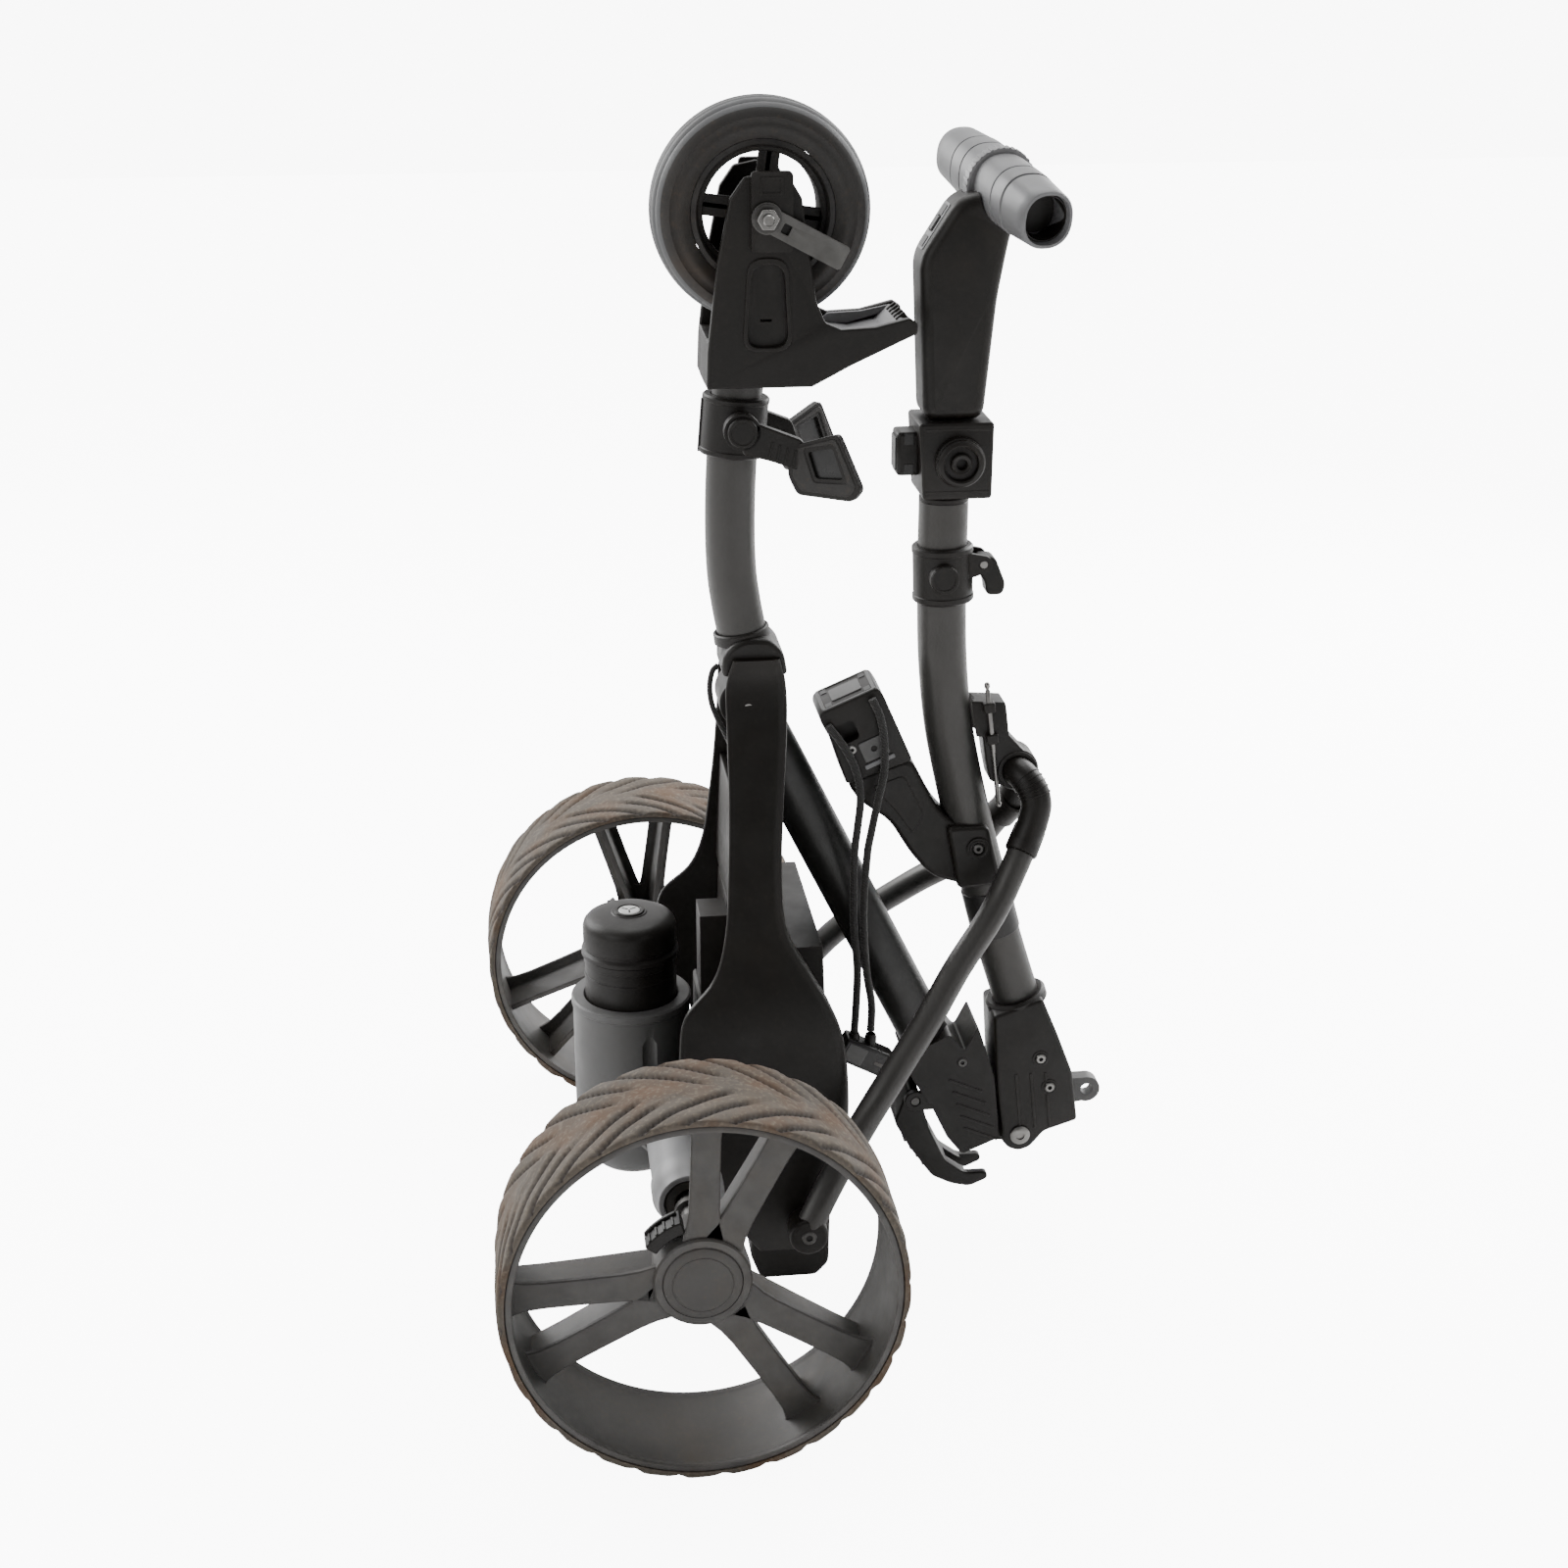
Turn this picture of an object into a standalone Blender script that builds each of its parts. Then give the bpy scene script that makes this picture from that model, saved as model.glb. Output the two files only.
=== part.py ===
"""A folded electric golf trolley, standing on end on its drive wheels and its rear foot.

Metres, +Z up. The trolley frame has its origin on the floor under the drive axle: X runs
from the axle towards the folded handle, Y along the axle, Z up the chassis towards the
front wheel. The near side is at -Y and the far side at +Y. The whole frame is shifted by
AXLE_X and raised a little, so that the object is centred and stands on the world's floor.
"""
import math

import bmesh
import bpy
from mathutils import Matrix, Vector

# ---- Driving dimensions -------------------------------------------------------------
AXLE_X = -0.1031            # the drive axle's place, so that the object is centred in X
GAP = 0.0003                # space left between touching pieces
RUNNING = 0.0005            # radial play round a turning piece

WHEEL_RADIUS = 0.1412       # drive wheel
AXLE_HEIGHT = 0.140         # height of the drive axle in the trolley frame
WHEEL_WIDTH = 0.0880
WHEEL_GAUGE = 0.5442        # distance between the two drive wheels' middle planes
TYRE_THICKNESS = 0.0060
RIM_WALL = 0.0035
HUB_RADIUS = 0.034
HUB_CAP_RADIUS = 0.0275
SPOKE_ANGLES = (62, 88, 182, 208, 302, 328)   # degrees, three pairs
FAR_WHEEL_TURN = 20         # degrees that the far wheel has rolled on from the near one
CATCH_ANGLE = 126           # degrees, the quick-release catch on the hub
CATCH_TRAVEL = 0.003
SHAFT_RADIUS = 0.0085

FRONT_WHEEL = (0.0737, 0.8178)     # x, z of the front wheel's centre
FRONT_RADIUS = 0.0769
FRONT_WIDTH = 0.055
FRONT_TYRE_BORE = 0.0500
FRONT_AXLE_RADIUS = 0.004
FRONT_SPOKE_ANGLES = (82, 172, 262, 352)
FORK_INNER = 0.0330         # half the space between the fork legs
FORK_WALL = 0.0070

MAIN_TUBE = 0.0183          # radius of the front and upper tubes
LOWER_TUBE = 0.0195         # radius of the lower main tube
STRUT_TUBE = 0.0105
CROWN_TUBE = 0.0117
KNUCKLE_HALF = 0.0245       # half the knuckle's width
TONGUE_HALF = 0.0118        # half the width of the knuckle's tongue
PIN_RADIUS = 0.005
LOCK_PIN = 0.0022           # radius of the lock pin
BLOCK_SIDE = 0.0120         # half the sliding block's width

NECK_PIVOT = (0.0605, 0.4620)      # the lower tube turns here
KNUCKLE_PIVOT = (0.2785, 0.0880)   # the upper tube folds here
CROWN_PIVOT = (0.2685, 0.3965)     # the struts turn here, in the sliding block
STRUT_FOOT = (0.0915, 0.0840)      # the struts' feet, the pivot where the linkage is open
TILT_PIVOT = (0.2143, 0.6414)      # the handle tilts here
CRADLE_PIVOT = (0.0570, 0.6690)    # the lower bag cradle turns here
PRONG_INNER = 0.0120        # the latch hook's two prongs, from the middle plane
PRONG_OUTER = 0.0185
LUG = (0.3366, 0.1153)             # the hole of the strap lug
LUG_HALF = 0.0060
LATCH_PIVOT = (0.1930, 0.1230)
CLAMP_PIVOT = (0.2375, 0.5600)

CASING_RADIUS = 0.0265      # axle casings
CASING_END = 0.186          # distance of their outer ends from the middle
PANEL_WALL = 0.004
NECK_HALF = 0.0250          # half the neck socket's width
HOUSING_RADIUS = 0.0465     # gearbox housing
HOUSING_X = -0.0290
MOTOR_RADIUS = 0.0357
MOTOR_FOOT = 0.192          # height of the motor's lower end
MOTOR_LIP = 0.2570          # height of the joint between the motor's can and its cap
MOTOR_TOP = 0.2916
HOUSING_TOP = 0.2220

TRAY_FRONT = 0.110          # x of the battery tray's open side
TRAY_BACK = 0.0475
TRAY_WALL = 0.004
FOOT_HALF = 0.070           # half the rear foot's width

HEAD_HALF = 0.0235          # half the bag head's width
HANDLE_HALF = 0.0210
GRIP_CENTRE = (0.2448, 0.8310)
GRIP_HALF = 0.0810
GRIP_RADIUS = 0.0225
GRIP_RUN = Vector((-0.0325, 0.1640, 0.0282)).normalized()    # the grip's direction, near to far
DIAL_RADIUS = 0.0262
DIAL_WIDTH = 0.0080
DIAL_PLACE = 0.0060         # along the grip, from its middle
BLOCK_HALF = 0.0260         # half the tilt joint's width
CHEEK_GAP = 0.0160          # half the space between the tilt joint's cheeks

PAD_SWING = math.radians(40)       # the lower bag cradle's pads, out from the middle plane

# Tube centre lines, x and z in the middle plane
FRONT_LINE = ((0.0615, 0.4870), (0.0601, 0.5070), (0.0556, 0.5320), (0.0521, 0.5593),
              (0.0512, 0.5970), (0.0527, 0.6400), (0.0560, 0.6800), (0.0603, 0.7160))
LOWER_LINE = (NECK_PIVOT, (0.2139, 0.1500))
UPPER_LINE = ((0.3000, 0.1280), (0.2823, 0.1831), (0.2615, 0.2488), (0.2485, 0.2970),
              (0.2354, 0.3458), (0.2228, 0.3988), (0.2152, 0.4388), (0.2105, 0.4850),
              (0.2088, 0.5300), (0.2084, 0.5695), (0.2085, 0.5950), (0.2085, 0.6070))
# Strut leg and crown centre lines: x, distance from the middle plane, z
LEG_LINE = ((0.2431, 0.0580, 0.2996), (0.2115, 0.0850, 0.2680), (0.1866, 0.1090, 0.2403),
            (0.1601, 0.1310, 0.2120), (0.1390, 0.1440, 0.1857), (0.1229, 0.1500, 0.1608),
            (0.1059, 0.1475, 0.1236), (STRUT_FOOT[0], 0.1400, STRUT_FOOT[1]))
CROWN_LINE = ((CROWN_PIVOT[0], 0.0125, CROWN_PIVOT[1]), (0.2690, 0.0160, 0.3962),
              (0.2712, 0.0205, 0.3947), (0.2745, 0.0248, 0.3910), (0.2775, 0.0280, 0.3858),
              (0.2793, 0.0300, 0.3795), (0.2794, 0.0315, 0.3725), (0.2762, 0.0338, 0.3605))
CROWN_END = (0.2665, 0.0400, 0.3396)          # where each leg leaves the crown
CROWN_RUN = Vector((-0.0440, 0.0460, -0.0770)).normalized()    # and in which direction
# Side panel sections from top to bottom: z, front edge x, rear edge x, half width
PANEL_SECTIONS = ((0.498, 0.0500, 0.0850, 0.0310), (0.478, 0.0445, 0.0890, 0.0315),
                  (0.450, 0.0440, 0.0890, 0.0400), (0.400, 0.0430, 0.0840, 0.0620),
                  (0.350, 0.0400, 0.0800, 0.0830), (0.310, 0.0360, 0.0820, 0.0990),
                  (0.280, 0.0260, 0.0980, 0.1110), (0.255, 0.0040, 0.1120, 0.1190),
                  (0.225, -0.001, 0.1220, 0.1230), (0.170, -0.001, 0.1250, 0.1250),
                  (0.120, 0.0120, 0.1200, 0.1250), (0.080, 0.0400, 0.1110, 0.1240),
                  (0.054, 0.0580, 0.1080, 0.1180))
PANEL_LIP = 0.014           # width of the panels' inward lip
# Cord routes, hand-chosen points in trolley coordinates
BUNGEE_RADIUS = 0.0030
BUNGEE_LEFT = ((0.1205, -0.0272, 0.4440), (0.1314, -0.0280, 0.4292), (0.1397, -0.0285, 0.4133),
               (0.1440, -0.0295, 0.3981), (0.1448, -0.0310, 0.3827), (0.1426, -0.0325, 0.3634),
               (0.1403, -0.0340, 0.3411), (0.1400, -0.0355, 0.2900), (0.1430, -0.0370, 0.2500),
               (0.1420, -0.0400, 0.2200), (0.1400, -0.0440, 0.1960))
BUNGEE_RIGHT = ((0.1533, -0.0272, 0.4640), (0.1591, -0.0280, 0.4512), (0.1623, -0.0285, 0.4356),
                (0.1631, -0.0290, 0.4204), (0.1625, -0.0300, 0.4051), (0.1585, -0.0310, 0.3860),
                (0.1530, -0.0330, 0.3593), (0.1500, -0.0340, 0.3406), (0.1475, -0.0355, 0.2950),
                (0.1500, -0.0370, 0.2480), (0.1540, -0.0400, 0.2200), (0.1530, -0.0440, 0.1985))
CABLE_RADIUS = 0.0021
CABLE_LOOP = ((0.0405, -0.0120, 0.4900), (0.0360, -0.0140, 0.4860), (0.0337, -0.0165, 0.4760),
              (0.0345, -0.0190, 0.4640), (0.0385, -0.0215, 0.4520), (0.0440, -0.0235, 0.4410),
              (0.0490, -0.0245, 0.4280), (0.0515, -0.0245, 0.4130), (0.0520, -0.0240, 0.4000))

# ---- Scene and helpers --------------------------------------------------------------
for old in list(bpy.data.objects):
    bpy.data.objects.remove(old)

parts = bpy.data.collections.new("golf_trolley")
cutters = bpy.data.collections.new("cutters")
for group in (parts, cutters):
    bpy.context.scene.collection.children.link(group)

trolley = bpy.data.objects.new("trolley_frame", None)
trolley.location = (AXLE_X, 0, WHEEL_RADIUS - AXLE_HEIGHT)
parts.objects.link(trolley)


def joint(name, x, y, z):
    """An empty on a joint's axis, which the moving pieces hang from."""
    empty = bpy.data.objects.new(name, None)
    empty.location = (x, y, z)
    empty.parent = trolley
    empty.empty_display_size = 0.02
    parts.objects.link(empty)
    return empty


def material(name, colour, roughness, metallic=0.0):
    made = bpy.data.materials.new(name)
    made.use_nodes = True
    shader = made.node_tree.nodes["Principled BSDF"]
    shader.inputs["Base Color"].default_value = (*colour, 1)
    shader.inputs["Roughness"].default_value = roughness
    shader.inputs["Metallic"].default_value = metallic
    return made


BLACK_PLASTIC = material("black_plastic", (0.020, 0.019, 0.018), 0.50)
GREY_PLASTIC = material("grey_plastic", (0.16, 0.16, 0.16), 0.50)
PALE_GREY = material("pale_grey", (0.50, 0.50, 0.51), 0.40)
GRAPHITE = material("graphite_tube", (0.09, 0.088, 0.085), 0.35, 0.5)
TYRE_RUBBER = material("tyre_rubber", (0.16, 0.14, 0.12), 0.85)
SOFT_RUBBER = material("soft_rubber", (0.03, 0.03, 0.03), 0.80)
STEEL = material("steel", (0.55, 0.54, 0.52), 0.30, 1.0)
CORD = material("cord", (0.02, 0.02, 0.02), 0.90)


def add(name, data, finish, location=(0, 0, 0), rotation=(0, 0, 0), hang=None):
    """Makes the object of a node and hangs it from a joint's empty, or from the trolley."""
    made = bpy.data.objects.new(name, data)
    made.location = location
    made.rotation_euler = rotation
    if finish is not None:
        data.materials.append(finish)
    if hang is None:
        made.parent = trolley
    else:
        made.parent = hang
        made.matrix_parent_inverse = Matrix.Translation(-hang.location)
    parts.objects.link(made)
    return made


def tool(made):
    """Turns an object into a hidden cutter, or a hidden piece to be joined."""
    parts.objects.unlink(made)
    cutters.objects.link(made)
    made.hide_render = True
    made.display_type = "WIRE"
    return made


def combine(made, other, operation):
    step = made.modifiers.new(operation.lower(), "BOOLEAN")
    step.operation = operation
    step.solver = "EXACT"
    step.object = tool(other)
    return made


def cut(made, *others):
    for other in others:
        combine(made, other, "DIFFERENCE")
    return made


def unite(made, *others):
    for other in others:
        combine(made, other, "UNION")
    return made


def mesh_from(bm, name, angle=35):
    data = bpy.data.meshes.new(name)
    bmesh.ops.recalc_face_normals(bm, faces=bm.faces)
    bm.to_mesh(data)
    bm.free()
    data.shade_smooth()
    data.set_sharp_from_angle(angle=math.radians(angle))
    return data


def soften(made, width, segments=1):
    if width:
        step = made.modifiers.new("edges", "BEVEL")
        step.width = width
        step.segments = segments
        step.limit_method = "ANGLE"
        step.angle_limit = math.radians(40)
    return made


def block(name, size, centre, finish, turn=0.0, bevel=0.0, hang=None, yaw=0.0):
    """A box: turn is its angle about Y, yaw its angle about Z."""
    bm = bmesh.new()
    bmesh.ops.create_cube(bm, size=1.0)
    bmesh.ops.scale(bm, vec=size, verts=bm.verts)
    made = add(name, mesh_from(bm, name), finish, centre, (0, turn, yaw), hang)
    return soften(made, bevel)


def rod(name, radius, start, end, finish, sides=24, hang=None, radius_end=None):
    """A cylinder or cone between two points."""
    start, end = Vector(start), Vector(end)
    bm = bmesh.new()
    bmesh.ops.create_cone(bm, cap_ends=True, segments=sides, radius1=radius,
                          radius2=radius if radius_end is None else radius_end,
                          depth=(end - start).length)
    rotation = (end - start).to_track_quat("Z", "Y").to_euler()
    return add(name, mesh_from(bm, name), finish, (start + end) / 2, rotation, hang)


def turned(name, profile, finish, centre, rotation=(0, 0, 0), steps=32, closed=False, hang=None):
    """A solid of revolution about its own Z: profile is (radius, height), outer side downwards."""
    bm = bmesh.new()
    points = [bm.verts.new((radius, 0, height)) for radius, height in profile]
    for first, second in zip(points, points[1:] + ([points[0]] if closed else [])):
        bm.edges.new((first, second))
    data = bpy.data.meshes.new(name)
    bm.to_mesh(data)
    bm.free()
    made = add(name, data, finish, centre, rotation, hang)
    screw = made.modifiers.new("turn", "SCREW")
    screw.steps = steps
    screw.render_steps = steps
    screw.use_merge_vertices = True
    screw.merge_threshold = 0.00001
    screw.use_smooth_shade = True
    return made


def rounded(outline, radius, steps=2):
    """The outline with each corner rounded off by a short curve."""
    made = []
    count = len(outline)
    for i, corner in enumerate(outline):
        corner = Vector(corner)
        before = Vector(outline[i - 1]) - corner
        after = Vector(outline[(i + 1) % count]) - corner
        start = corner + before.normalized() * min(radius, before.length * 0.45)
        end = corner + after.normalized() * min(radius, after.length * 0.45)
        for step in range(steps + 1):
            u = step / steps
            made.append(start * (1 - u) ** 2 + corner * 2 * u * (1 - u) + end * u ** 2)
    return made


def solid_of(curve_object):
    """Replaces a curve object with its mesh, caps welded, so that it takes a Boolean or a Bevel."""
    graph = bpy.context.evaluated_depsgraph_get()
    data = bpy.data.meshes.new_from_object(curve_object.evaluated_get(graph))
    bm = bmesh.new()
    bm.from_mesh(data)
    bmesh.ops.remove_doubles(bm, verts=bm.verts, dist=0.000005)
    bmesh.ops.dissolve_limit(bm, angle_limit=0.001, verts=bm.verts, edges=bm.edges)
    bmesh.ops.recalc_face_normals(bm, faces=bm.faces)
    bm.to_mesh(data)
    bm.free()
    data.shade_smooth()
    data.set_sharp_from_angle(angle=math.radians(35))
    name = curve_object.name
    made = bpy.data.objects.new(name, data)
    made.location = curve_object.location
    made.rotation_euler = curve_object.rotation_euler
    made.parent = curve_object.parent
    made.matrix_parent_inverse = curve_object.matrix_parent_inverse
    bpy.data.objects.remove(curve_object)
    made.name = name
    parts.objects.link(made)
    return made


def plate(name, outline, low, high, finish, corner=0.0, bevel=0.0, hang=None, steps=2):
    """A flat outline in X and Z, as thick as from y = low to y = high."""
    points = rounded(outline, corner, steps) if corner else [Vector(point) for point in outline]
    data = bpy.data.curves.new(name, "CURVE")
    data.dimensions = "2D"
    data.fill_mode = "BOTH"
    data.extrude = (high - low) / 2
    spline = data.splines.new("POLY")
    spline.points.add(len(points) - 1)
    for slot, point in zip(spline.points, points):
        slot.co = (point[0], point[1], 0, 1)
    spline.use_cyclic_u = True
    made = add(name, data, finish, (0, (low + high) / 2, 0), (math.pi / 2, 0, 0), hang)
    return soften(solid_of(made), bevel)


def smooth(points, per_span=3):
    """Points on a Catmull-Rom curve through the given ones."""
    points = [Vector(point) for point in points]
    padded = [2 * points[0] - points[1]] + points + [2 * points[-1] - points[-2]]
    made = []
    for a, b, c, d in zip(padded, padded[1:], padded[2:], padded[3:]):
        for step in range(per_span):
            u = step / per_span
            made.append(((b * 2) + (c - a) * u + (a * 2 - b * 5 + c * 4 - d) * u ** 2
                         + (b * 3 - a - c * 3 + d) * u ** 3) / 2)
    return made + [points[-1]]


def tube(name, points, radius, finish, resolution=6, hang=None):
    """A round bar along a line of points, with filled ends."""
    data = bpy.data.curves.new(name, "CURVE")
    data.dimensions = "3D"
    data.bevel_depth = radius
    data.bevel_resolution = resolution
    data.use_fill_caps = True
    spline = data.splines.new("POLY")
    spline.points.add(len(points) - 1)
    for slot, point in zip(spline.points, points):
        slot.co = (*point, 1)
    return add(name, data, finish, hang=hang)


def in_middle(line):
    """The points of an x, z line as points in the middle plane."""
    return [(x, 0, z) for x, z in line]


def circle(centre, radius, start=0, end=360, count=12):
    """Points round a circle, or an arc of it, in X and Z."""
    whole = end - start == 360
    return [(centre[0] + radius * math.cos(math.radians(start + (end - start) * i / count)),
             centre[1] + radius * math.sin(math.radians(start + (end - start) * i / count)))
            for i in range(count + (0 if whole else 1))]


def across(name, radius, centre, low, high, finish=None, sides=20, hang=None):
    """A round bar parallel to the axle, from y = low to y = high."""
    return rod(name, radius, (centre[0], low, centre[1]), (centre[0], high, centre[1]),
               finish, sides, hang)


def socket(name, line, radius, hang=None):
    """A cutter that leaves room for a tube along the line."""
    return solid_of(tube(name, smooth(line, 1), radius + GAP, None, 5, hang))


def panel_half_width(height):
    """The side panels' half width at a height, measured outside."""
    for (top, *_, wide_top), (low, *_, wide_low) in zip(PANEL_SECTIONS, PANEL_SECTIONS[1:]):
        if low <= height <= top:
            return wide_top + (wide_low - wide_top) * (top - height) / (top - low)
    return PANEL_SECTIONS[-1][3]


# ---- Chassis ------------------------------------------------------------------------
def side_panel(name, side):
    """One wall of the chassis: a bent skin with an inward lip along its rear edge."""
    bm = bmesh.new()
    rows = []
    for z, front, rear, half in PANEL_SECTIONS:
        middle = (front + rear) / 2
        row = ((front, half - 0.001), (middle, half), (rear - 0.003, half - 0.0005),
               (rear, half - 0.004), (rear, half - PANEL_LIP * min(1, half / 0.09)))
        rows.append([bm.verts.new((x, side * y, z)) for x, y in row])
    for upper, lower in zip(rows, rows[1:]):
        for i in range(len(upper) - 1):
            bm.faces.new((upper[i], upper[i + 1], lower[i + 1], lower[i]))
    bmesh.ops.recalc_face_normals(bm, faces=bm.faces)
    outward = sum(face.normal.y * side for face in bm.faces)
    if outward < 0:
        bmesh.ops.reverse_faces(bm, faces=bm.faces)
    data = bpy.data.meshes.new(name)
    bm.to_mesh(data)
    bm.free()
    made = add(name, data, BLACK_PLASTIC)
    wall = made.modifiers.new("wall", "SOLIDIFY")
    wall.thickness = PANEL_WALL
    wall.offset = -1
    wall.use_even_offset = True
    ends = sorted((0, side * 0.2))
    cut(made,
        across(name + "_axle_hole", CASING_RADIUS + 2 * GAP, (0, AXLE_HEIGHT), *ends, sides=24),
        across(name + "_pin_hole", PIN_RADIUS + GAP, NECK_PIVOT, *ends))
    return made


def build_chassis():
    side_panel("side_panel_near", -1)
    side_panel("side_panel_far", 1)

    # The battery tray is a block with a pocket, open towards +X
    tray = ((0.062, 0.098), (0.120, 0.104), (0.225, 0.104), (0.290, 0.082))
    outline = [(z, half) for z, half in tray] + [(z, -half) for z, half in reversed(tray)]
    body = slab("battery_tray", outline, TRAY_BACK, TRAY_FRONT)
    inner = [(z + (TRAY_WALL if z < 0.2 else -TRAY_WALL * (z > 0.28)), math.copysign(abs(y) - TRAY_WALL, y))
             for z, y in outline]
    cut(body, slab("tray_pocket", inner, TRAY_BACK + TRAY_WALL, TRAY_FRONT + 0.02))

    # The web closes the chassis above the tray
    heights = (0.292, 0.350, 0.395)
    half = [(z, panel_half_width(z) - PANEL_WALL * 1.35) for z in heights]
    slab("nose_web", half + [(z, -y) for z, y in reversed(half)], TRAY_BACK, TRAY_BACK + TRAY_WALL)

    floor = AXLE_HEIGHT - WHEEL_RADIUS
    foot = ((0.0640, floor), (0.1080, floor), (0.1180, 0.0100), (0.1190, 0.0610), (0.0580, 0.0610),
            (0.0560, 0.0200))
    plate("rear_foot", foot, -FOOT_HALF, FOOT_HALF, BLACK_PLASTIC, corner=0.004, bevel=0.002)

    arch = ((0.0425, 0.4840), (0.0425, 0.4980), (0.0480, 0.5070), (0.0590, 0.5125),
            (0.0780, 0.5120), (0.0880, 0.5020), (0.0910, 0.4840))
    neck = plate("neck_socket", arch, -NECK_HALF, NECK_HALF, BLACK_PLASTIC)
    above = [(0.0616, 0.4862)] + list(FRONT_LINE[1:3])
    cut(neck, socket("front_tube_socket", in_middle(above), MAIN_TUBE))
    across("neck_pin", PIN_RADIUS, NECK_PIVOT, -0.0345, 0.0345, STEEL, 16)
    tube("front_tube", smooth(in_middle(FRONT_LINE), 2), MAIN_TUBE, GRAPHITE, 5)
    tube("cable_loop", smooth(CABLE_LOOP, 2), CABLE_RADIUS, CORD, 2)


def slab(name, outline, back, front, finish=BLACK_PLASTIC):
    """A flat outline of (z, y) points, as thick as from x = back to x = front."""
    bm = bmesh.new()
    face = bm.faces.new([bm.verts.new((back, y, z)) for z, y in outline])
    grown = bmesh.ops.extrude_face_region(bm, geom=[face])
    moved = [item for item in grown["geom"] if isinstance(item, bmesh.types.BMVert)]
    bmesh.ops.translate(bm, vec=(front - back, 0, 0), verts=moved)
    return add(name, mesh_from(bm, name), finish)


def build_drive():
    """Gearbox, motor and the two axle casings."""
    profile = [(0, HOUSING_TOP), (HOUSING_RADIUS, HOUSING_TOP), (HOUSING_RADIUS, 0.1250),
               (0.0450, 0.1030), (0.0390, 0.0860), (0.0260, 0.0760), (0, 0.0720)]
    housing = turned("gearbox_housing", profile, GREY_PLASTIC, (HOUSING_X, 0, 0))
    unite(housing, across("gearbox_barrel", 0.0340, (0, AXLE_HEIGHT), -0.0650, 0.0650, sides=28))
    cut(housing, rod("motor_seat", MOTOR_RADIUS + GAP, (HOUSING_X, 0, MOTOR_FOOT - GAP),
                     (HOUSING_X, 0, HOUSING_TOP + 0.01), None, 32))
    rod("motor_can", MOTOR_RADIUS, (HOUSING_X, 0, MOTOR_FOOT), (HOUSING_X, 0, MOTOR_LIP), BLACK_PLASTIC, 32)
    cap = [(0, MOTOR_TOP), (0.0090, MOTOR_TOP), (0.0100, MOTOR_TOP - 0.0010), (0.0130, MOTOR_TOP - 0.0010),
           (0.0140, MOTOR_TOP - 0.0020), (0.0290, MOTOR_TOP - 0.0040), (0.0345, MOTOR_TOP - 0.0065),
           (MOTOR_RADIUS + 0.0003, MOTOR_TOP - 0.0110), (MOTOR_RADIUS + 0.0003, MOTOR_LIP + 0.0035),
           (MOTOR_RADIUS + 0.0018, MOTOR_LIP + 0.0025), (MOTOR_RADIUS + 0.0018, MOTOR_LIP + GAP),
           (0, MOTOR_LIP + GAP)]
    turned("motor_cap", cap, BLACK_PLASTIC, (HOUSING_X, 0, 0))
    mount = block("gearbox_mount", (0.0250, 0.060, 0.050), (0.0340, 0, 0.2000), BLACK_PLASTIC, bevel=0.002)
    unite(mount, block("motor_plug", (0.0220, 0.034, 0.080), (0.0350, 0, 0.2500), None))
    cut(mount,
        across("barrel_room", 0.0340 + GAP, (0, AXLE_HEIGHT), -0.08, 0.08, sides=28),
        rod("housing_room", HOUSING_RADIUS + GAP, (HOUSING_X, 0, 0.1), (HOUSING_X, 0, 0.3), None, 32))
    for side, word in ((-1, "near"), (1, "far")):
        inner = 0.0650 + GAP
        shell = [(CASING_RADIUS, CASING_END - 0.012), (CASING_RADIUS, inner), (0.0100, inner),
                 (0.0100, CASING_END - 0.020), (0.0185, CASING_END - 0.020), (0.0185, CASING_END),
                 (0.0225, CASING_END)]
        turned("axle_casing_" + word, shell, PALE_GREY, (0, 0, AXLE_HEIGHT),
               (-side * math.pi / 2, 0, 0), 24, True)


# ---- Drive wheels -------------------------------------------------------------------
def t_spoke(name, angle, inner, outer):
    """A spoke with a flat front flange and a deep web behind it, along the wheel's local X."""
    section = ((-0.0110, 0.0150), (0.0110, 0.0150), (0.0110, 0.0110), (0.0028, 0.0100),
               (0.0028, -0.0240), (-0.0028, -0.0240), (-0.0028, 0.0100), (-0.0110, 0.0110))
    bm = bmesh.new()
    face = bm.faces.new([bm.verts.new((inner, y, z)) for y, z in section])
    grown = bmesh.ops.extrude_face_region(bm, geom=[face])
    moved = [item for item in grown["geom"] if isinstance(item, bmesh.types.BMVert)]
    bmesh.ops.translate(bm, vec=(outer - inner, 0, 0), verts=moved)
    bmesh.ops.rotate(bm, matrix=Matrix.Rotation(math.radians(angle), 3, "Z"), verts=bm.verts)
    return mesh_from(bm, name)


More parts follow.
